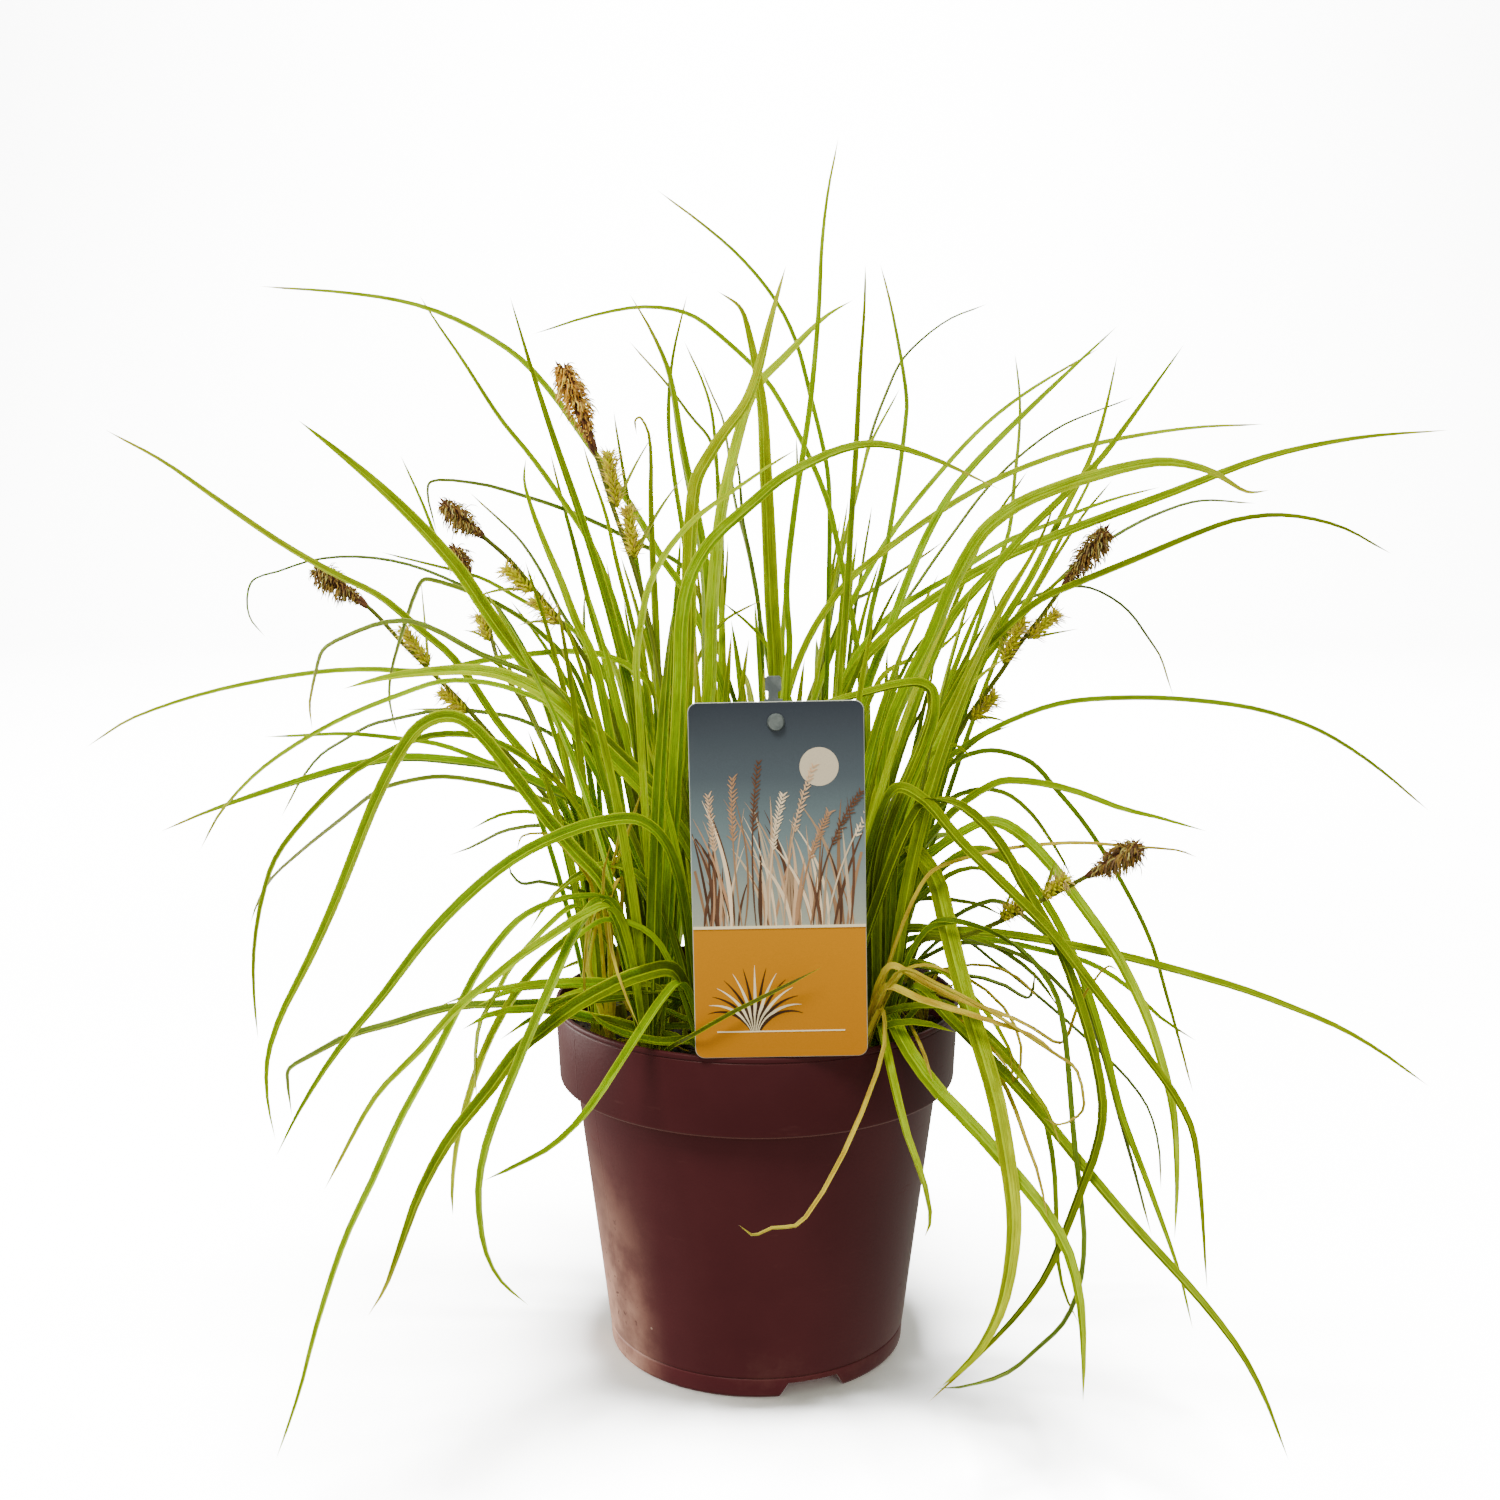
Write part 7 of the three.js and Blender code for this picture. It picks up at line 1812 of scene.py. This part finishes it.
def make_litter():
    """Bits of dead leaf lying on the compost."""
    draw = seeded_draw(SEEDS["litter"])
    shape = Shape(*LEAF_FIELDS)
    for _ in range(LITTER):
        x, y = scattered(draw, LITTER_REACH)
        bearing = 2 * math.pi * draw()
        length = 10 + 24 * draw()
        bend = (draw() - 0.5) * 0.3
        lift = 2.5 * draw()
        line = []
        for step in range(LITTER_STEPS + 1):
            share = step / LITTER_STEPS
            rise = soil_height(x, y) + 1.0 + lift * math.sin(math.pi * share)
            line.append([x, y, rise])
            x += math.cos(bearing) * length / LITTER_STEPS
            y += math.sin(bearing) * length / LITTER_STEPS
            bearing += bend
            if math.hypot(x, y) > LITTER_EDGE:
                break
        if len(line) < 4:
            continue
        line = np.array(line)
        wide = 0.5 + 0.9 * draw()
        _, side, other = line_frames(line, (0.0, 0.0, 1.0))
        shares = np.linspace(0, 1, len(line))
        half = wide * (1 - 0.6 * shares**2)
        spin = (draw() - 0.5) * 3 * shares
        side, other = (side * np.cos(spin)[:, None] + other * np.sin(spin)[:, None],
                       other * np.cos(spin)[:, None] - side * np.sin(spin)[:, None])
        points = np.stack([line + side * half[:, None] * u + other * 0.3 * v
                           for u, v in ((1, 0), (0, 1), (-1, 0), (0, -1))], axis=1).reshape(-1, 3)
        tint = LITTER_BROWN if draw() < 0.5 else LITTER_STRAW
        shape.add(points, tube_faces(len(line), 4), tint=tint * (0.7 + 0.5 * draw()),
                  along=np.repeat(shares * length, 4), across=np.tile([1, 0, -1, 0], len(line)),
                  dry=1.0, number=draw())
    show("straw_litter", shape.mesh("straw_litter"), dry_leaf_material, "straw_leaf")


# ---- Tag -------------------------------------------------------------------------------------
PRINT_INSET = 0.18
PRINT_LAYER = 0.02              # how far each layer of print stands above the last
AMBER_TOP = -64.0
CARD_BEVEL = 0.15
CORNER_STEPS, PIN_SIDES = 8, 24
MOON_PLACE, MOON_RADIUS, MOON_SIDES = (13, -14), 6, 48
GRASSES, PLUMES, TUFT_BLADES = 70, 8, 15
SKY = np.array([(0.03, 0.036, 0.05), (0.07, 0.09, 0.11), (0.16, 0.22, 0.24),
                (0.34, 0.36, 0.30)])
AMBER = np.array([(0.52, 0.205, 0.002), (0.44, 0.165, 0.001)])
GRASS_BEIGES = np.array([(0.62, 0.40, 0.24), (0.40, 0.22, 0.12), (0.12, 0.055, 0.03),
                         (0.80, 0.62, 0.42)])
CREAM, BROWN, MOON = linear(238, 222, 184), linear(58, 38, 22), linear(206, 192, 168)


def from_tag(u, w, out):
    """A place on the tag: across, up from the pin, and out of its printed face."""
    cos, sin = math.cos(CARD_LEAN), math.sin(CARD_LEAN)
    x, z = u * cos - w * sin, u * sin + w * cos
    cos, sin = math.cos(CARD_TILT), math.sin(CARD_TILT)
    return PIN_PLACE + np.array([x, -out * cos + z * sin, out * sin + z * cos])


def tag_outline(inset, low=PIN_DROP - CARD_HEIGHT, high=PIN_DROP):
    """The tag's outline with round corners, counterclockwise from the lower right."""
    half = CARD_WIDTH / 2 - inset
    radius = CARD_CORNER - inset
    outline = []
    for turn, (u, w) in enumerate(((half, low + inset), (half, high - inset),
                                   (-half, high - inset), (-half, low + inset))):
        middle = (u - math.copysign(radius, u), w + (radius if turn in (0, 3) else -radius))
        for step in range(CORNER_STEPS + 1):
            angle = (turn - 1) * math.pi / 2 + step * math.pi / (2 * CORNER_STEPS)
            outline.append((middle[0] + radius * math.cos(angle),
                            middle[1] + radius * math.sin(angle)))
    return outline


def circle(across, up, radius, sides):
    """The corners of a circle's outline, counterclockwise."""
    return [(across + radius * math.cos(angle), up + radius * math.sin(angle))
            for angle in angles_round(sides)]


def make_tag():
    """The bare card with bevelled edges and its pin's hole."""
    half = CARD_THICKNESS / 2
    rings = [(CARD_BEVEL, -half), (0, CARD_BEVEL - half), (0, half - CARD_BEVEL),
             (CARD_BEVEL, half)]
    points = [from_tag(u, w, out) for inset, out in rings for u, w in tag_outline(inset)]
    shape = Shape()
    shape.add(points, tube_faces(4, len(tag_outline(0))))
    cutter = prism_mesh("hole", circle(0, 0, PIN_RADIUS, PIN_SIDES), -2, 2, from_tag)
    card = cut_away(shape.mesh("tag_card_body"), [cutter], SHARP)
    show("tag_card_body", card, card_material, "card", "tag_card")


def add_print(shape, outline, layer, tints):
    """A flat patch of print, a layer above the tag's face, unless it runs past the card.

    It has one tint, or one for each corner of its outline."""
    if max(abs(u) for u, _ in outline) > CARD_WIDTH / 2 - PRINT_INSET + 0.001:
        return
    low, high = CARD_THICKNESS / 2 - 0.05, CARD_THICKNESS / 2 + PRINT_LAYER * layer
    points = [from_tag(u, w, out) for out in (low, high) for u, w in outline]
    tints = np.broadcast_to(tints, (len(outline), 3))
    shape.add(points, tube_faces(2, len(outline)), tint=np.concatenate([tints, tints]))


def walk(foot, bearing, length, bend, steps):
    """The places and bearings along a line that bends evenly, its foot first."""
    u, w = foot
    for _ in range(steps + 1):
        yield u, w, bearing
        u += math.cos(bearing) * length / steps
        w += math.sin(bearing) * length / steps
        bearing += bend / steps


def print_blade(shape, foot, bearing, length, bend, width, tint, layer):
    """A tapering curved blade in the artwork."""
    steps = 12
    left, right = [], []
    for step, (u, w, bearing) in enumerate(walk(foot, bearing, length, bend, steps)):
        share = step / steps
        half = 0.5 * width * min(1, 0.5 + 2 * share) * (1 - share**2) ** 0.9 + 0.03
        left.append((u - half * math.sin(bearing), w + half * math.cos(bearing)))
        right.append((u + half * math.sin(bearing), w - half * math.cos(bearing)))
    for one, two, three, four in zip(right[:-1], right[1:], left[1:], left[:-1]):
        add_print(shape, [one, two, three, four], layer, tint)


def print_plume(shape, foot, bearing, length, bend, tint, layer, draw):
    """A stalk with seeds along its outer part."""
    print_blade(shape, foot, bearing, length, bend, 0.5, tint * 0.8, layer)
    steps, bare_steps = 34, 20
    for u, w, bearing in list(walk(foot, bearing, length, bend, steps))[bare_steps:]:
        for hand in (-1, 1):
            angle = bearing + hand * (0.35 + 0.35 * draw())
            size = 1.5 + 1.3 * draw()
            print_blade(shape, (u, w), angle, size, 0.3 * hand, 0.5, tint * (0.85 + 0.3 * draw()),
                        layer + 0.5)


def print_reach(w):
    """Half the print's width at a height, less in its round corners."""
    corner = CARD_CORNER - PRINT_INSET
    high, low = PIN_DROP - PRINT_INSET, PIN_DROP - CARD_HEIGHT + PRINT_INSET
    into = max(w - (high - corner), low + corner - w, 0)
    return CARD_WIDTH / 2 - CARD_CORNER + math.sqrt(max(corner**2 - into**2, 0))


def print_panel(shape, high, low, tints):
    """A panel of the tag's full width, shaded through tints from its top to its foot."""
    corner_steps = (1 - np.cos(np.linspace(0, math.pi / 2, 7))) * (CARD_CORNER - PRINT_INSET)
    edges = np.concatenate([high - corner_steps, np.linspace(high, low, 25), low + corner_steps])
    edges = np.unique(np.clip(edges.round(4), low, high))[::-1]
    shares = (high - edges) / (high - low) * (len(tints) - 1)
    shades = []
    for share in shares:
        first = int(min(share, len(tints) - 2))
        shades.append(between(tints[first], tints[first + 1], share - first))
    for top, foot, shade, next_shade in zip(edges[:-1], edges[1:], shades[:-1], shades[1:]):
        one, two = print_reach(foot), print_reach(top)
        strip = [(-one, foot), (one, foot), (two, top), (-two, top)]
        add_print(shape, strip, 1, [next_shade, next_shade, shade, shade])


def make_print():
    """The tag's artwork: dusk over grass plumes, above an amber panel with a tuft."""
    draw = seeded_draw(SEEDS["print"])
    shape = Shape("tint")
    top, foot = PIN_DROP - PRINT_INSET, PIN_DROP - CARD_HEIGHT + PRINT_INSET
    print_panel(shape, top, AMBER_TOP, SKY)
    print_panel(shape, AMBER_TOP, foot, AMBER)
    add_print(shape, circle(*MOON_PLACE, MOON_RADIUS, MOON_SIDES), 2, MOON)
    for k in range(GRASSES):
        place = (-24 + 48 * draw(), AMBER_TOP + 0.4)
        bearing = math.pi / 2 + (draw() - 0.5) * 0.4
        tint = GRASS_BEIGES[int(4 * draw())] * (0.5 + 0.6 * draw())
        print_blade(shape, place, bearing, 14 + 30 * draw(), (draw() - 0.3) * 1.1,
                    0.6 + 0.8 * draw(), tint, 3 + k * 0.05)
    for k in range(PLUMES):
        place = (-16 + 4.4 * k, AMBER_TOP + 0.4)
        bearing = math.pi / 2 - 0.05 * (k - 3.5)
        print_plume(shape, place, bearing, 36 + 16 * draw(), -0.1 - 0.06 * k,
                    GRASS_BEIGES[k % 4], 7 + k, draw)
    half = CARD_WIDTH / 2 - PRINT_INSET
    rule = [(-half, AMBER_TOP - 0.4), (half, AMBER_TOP - 0.4), (half, AMBER_TOP + 0.4),
            (-half, AMBER_TOP + 0.4)]
    add_print(shape, rule, 17, CREAM)
    for k in range(TUFT_BLADES):
        lean = (k - 7) / 7
        print_blade(shape, (-8 + lean * 1.4, -97), math.pi / 2 - 0.5 * lean, 21 - 5 * abs(lean),
                    -1.5 * lean, 1.1, CREAM if k % 2 else BROWN, 3 + 0.3 * k)
    ground = [(-20, -97.5), (20, -97.5), (20, -97.1), (-20, -97.1)]
    add_print(shape, ground, 9, CREAM)
    show("tag_print", shape.mesh("tag_print", SHARP_PRINT), print_material, "card")


def dress_stake():
    """The stake keeps its solid, with rounded edges and its own plastic."""
    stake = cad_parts["tag_stake"]
    stake.data.materials.clear()
    stake.data.materials.append(stake_material)
    rounding = stake.modifiers.new("edges", "BEVEL")
    rounding.width = 0.18 * MM
    rounding.segments = 2
    rounding.limit_method = "ANGLE"
    rounding.angle_limit = math.radians(SHARP)
    rounding.harden_normals = True


# ---- Stage, lights and camera, in metres and watts -------------------------------------------
FLOOR_FRONT, FLOOR_BACK, FLOOR_HALF_WIDTH = -3.0, 2.2, 5.0
COVE_RADIUS, COVE_STEPS, WALL_TOP = 1.2, 12, 4.0
WORLD_LIGHT = 0.64
FLOOR_LIGHT = 1500
WALL_LIGHT = 900
KEY_LIGHT = 50
FRONT_LIGHT = 8
SIDE_LIGHT = 50
BACK_LIGHT = 16


def make_stage():
    """A plain pale floor that curves up into a backdrop."""
    profile = [(FLOOR_FRONT, 0.0), (FLOOR_BACK, 0.0)]
    for step in range(1, COVE_STEPS + 1):
        angle = step * math.pi / (2 * COVE_STEPS)
        profile.append((FLOOR_BACK + COVE_RADIUS * math.sin(angle),
                        COVE_RADIUS - COVE_RADIUS * math.cos(angle)))
    profile.append((FLOOR_BACK + COVE_RADIUS, WALL_TOP))
    points = [(x, y, z) for x in (-FLOOR_HALF_WIDTH, FLOOR_HALF_WIDTH) for y, z in profile]
    count = len(profile)
    faces = [(k, count + k, count + k + 1, k + 1) for k in range(count - 1)]
    mesh = bpy.data.meshes.new("floor")
    mesh.from_pydata(points, [], faces)
    mesh.shade_smooth()
    floor = put("floor", mesh)
    tree, finish = new_material("paper_floor")
    place = own_place(tree)
    cloud = speckle(tree, place, 3.0, 2.0)
    colour = blend(tree, cloud, (0.9, 0.91, 0.9), (0.94, 0.945, 0.94))
    rough = work(tree, "MULTIPLY_ADD", cloud, 0.05, 0.85)
    floor.data.materials.append(finish(colour, rough, relief(tree, cloud, 0.1, 0.1)))
    floor.visible_diffuse = False
    floor.visible_glossy = False
    return floor


def add_light(name, place, target, width, height, power, colour=(1, 1, 1)):
    """A soft rectangular light that faces a target."""
    light = bpy.data.lights.new(name, "AREA")
    light.shape = "RECTANGLE"
    light.size, light.size_y = width, height
    light.energy = power
    light.color = colour
    lamp = put(name, light)
    lamp.location = place
    lamp.rotation_euler = (Vector(target) - Vector(place)).to_track_quat("-Z", "Y").to_euler()
    return lamp


def light_scene(floor):
    """A bright room, lamps that whiten the floor alone, and lamps for the plant."""
    world = bpy.data.worlds.new("bright_room")
    world.use_nodes = True
    background = world.node_tree.nodes["Background"]
    background.inputs["Color"].default_value = (1.0, 0.985, 0.84, 1.0)
    background.inputs["Strength"].default_value = WORLD_LIGHT
    bpy.context.scene.world = world
    middle = (0, 0, 0.2)
    white_out = bpy.data.collections.new("floor_only")
    white_out.objects.link(floor)
    for name, place, target, size, power in (
            ("floor_light", (0, 0, 3.0), (0, 0, 0), 0.8, FLOOR_LIGHT),
            ("wall_light", (0, 1.5, 2.4), (0, 3.4, 1.6), 2.0, WALL_LIGHT)):
        lamp = add_light(name, place, target, size, size, power)
        lamp.light_linking.receiver_collection = white_out
    key = add_light("key", (-0.55, -1.05, 1.9), middle, 0.6, 0.6, KEY_LIGHT, (1.0, 0.98, 0.88))
    all_but_floor = bpy.data.collections.new("all_but_floor")
    all_but_floor.objects.link(floor)
    all_but_floor.collection_objects[0].light_linking.link_state = "EXCLUDE"
    key.light_linking.receiver_collection = all_but_floor
    add_light("front", (0.7, -1.7, 0.7), (0, 0, 0.12), 1.0, 1.0, FRONT_LIGHT, (1.0, 0.98, 0.9))
    add_light("left_panel", (-1.25, 0.4, 0.3), (0, 0, 0.08), 1.1, 1.0, SIDE_LIGHT, (1.0, 0.95, 0.9))
    add_light("back", (0.6, 1.4, 1.6), middle, 1.4, 1.0, BACK_LIGHT)


def add_camera():
    """The camera at the elevation sheet's station, with the sheet's focus."""
    lens = bpy.data.cameras.new("camera")
    lens.sensor_fit = "HORIZONTAL"
    lens.sensor_width = 36.0
    lens.lens = lens.sensor_width * SHEET_FOCUS / SHEET_SIZE
    lens.clip_start = 0.01
    lens.clip_end = 50
    camera = put("camera", lens)
    camera.location = STATION * MM
    yaw = math.atan((SHEET_MIDDLE[0] - SHEET_SIZE / 2) / SHEET_FOCUS)
    camera.rotation_euler = (math.pi / 2 - STATION_PITCH, 0, yaw)
    bpy.context.scene.camera = camera


# ---- The scene -------------------------------------------------------------------------------
blades = drawn_blades(DRAWN_BLADES) + ruled_blades()
stems = flower_stems()
Clump(make_chains(blades, stems)).bend_clear()

make_tillers(blades + fine_blades())
make_flowers(stems)
make_pot()
make_soil()
make_litter()
make_tag()
make_print()
dress_stake()
light_scene(make_stage())
add_camera()
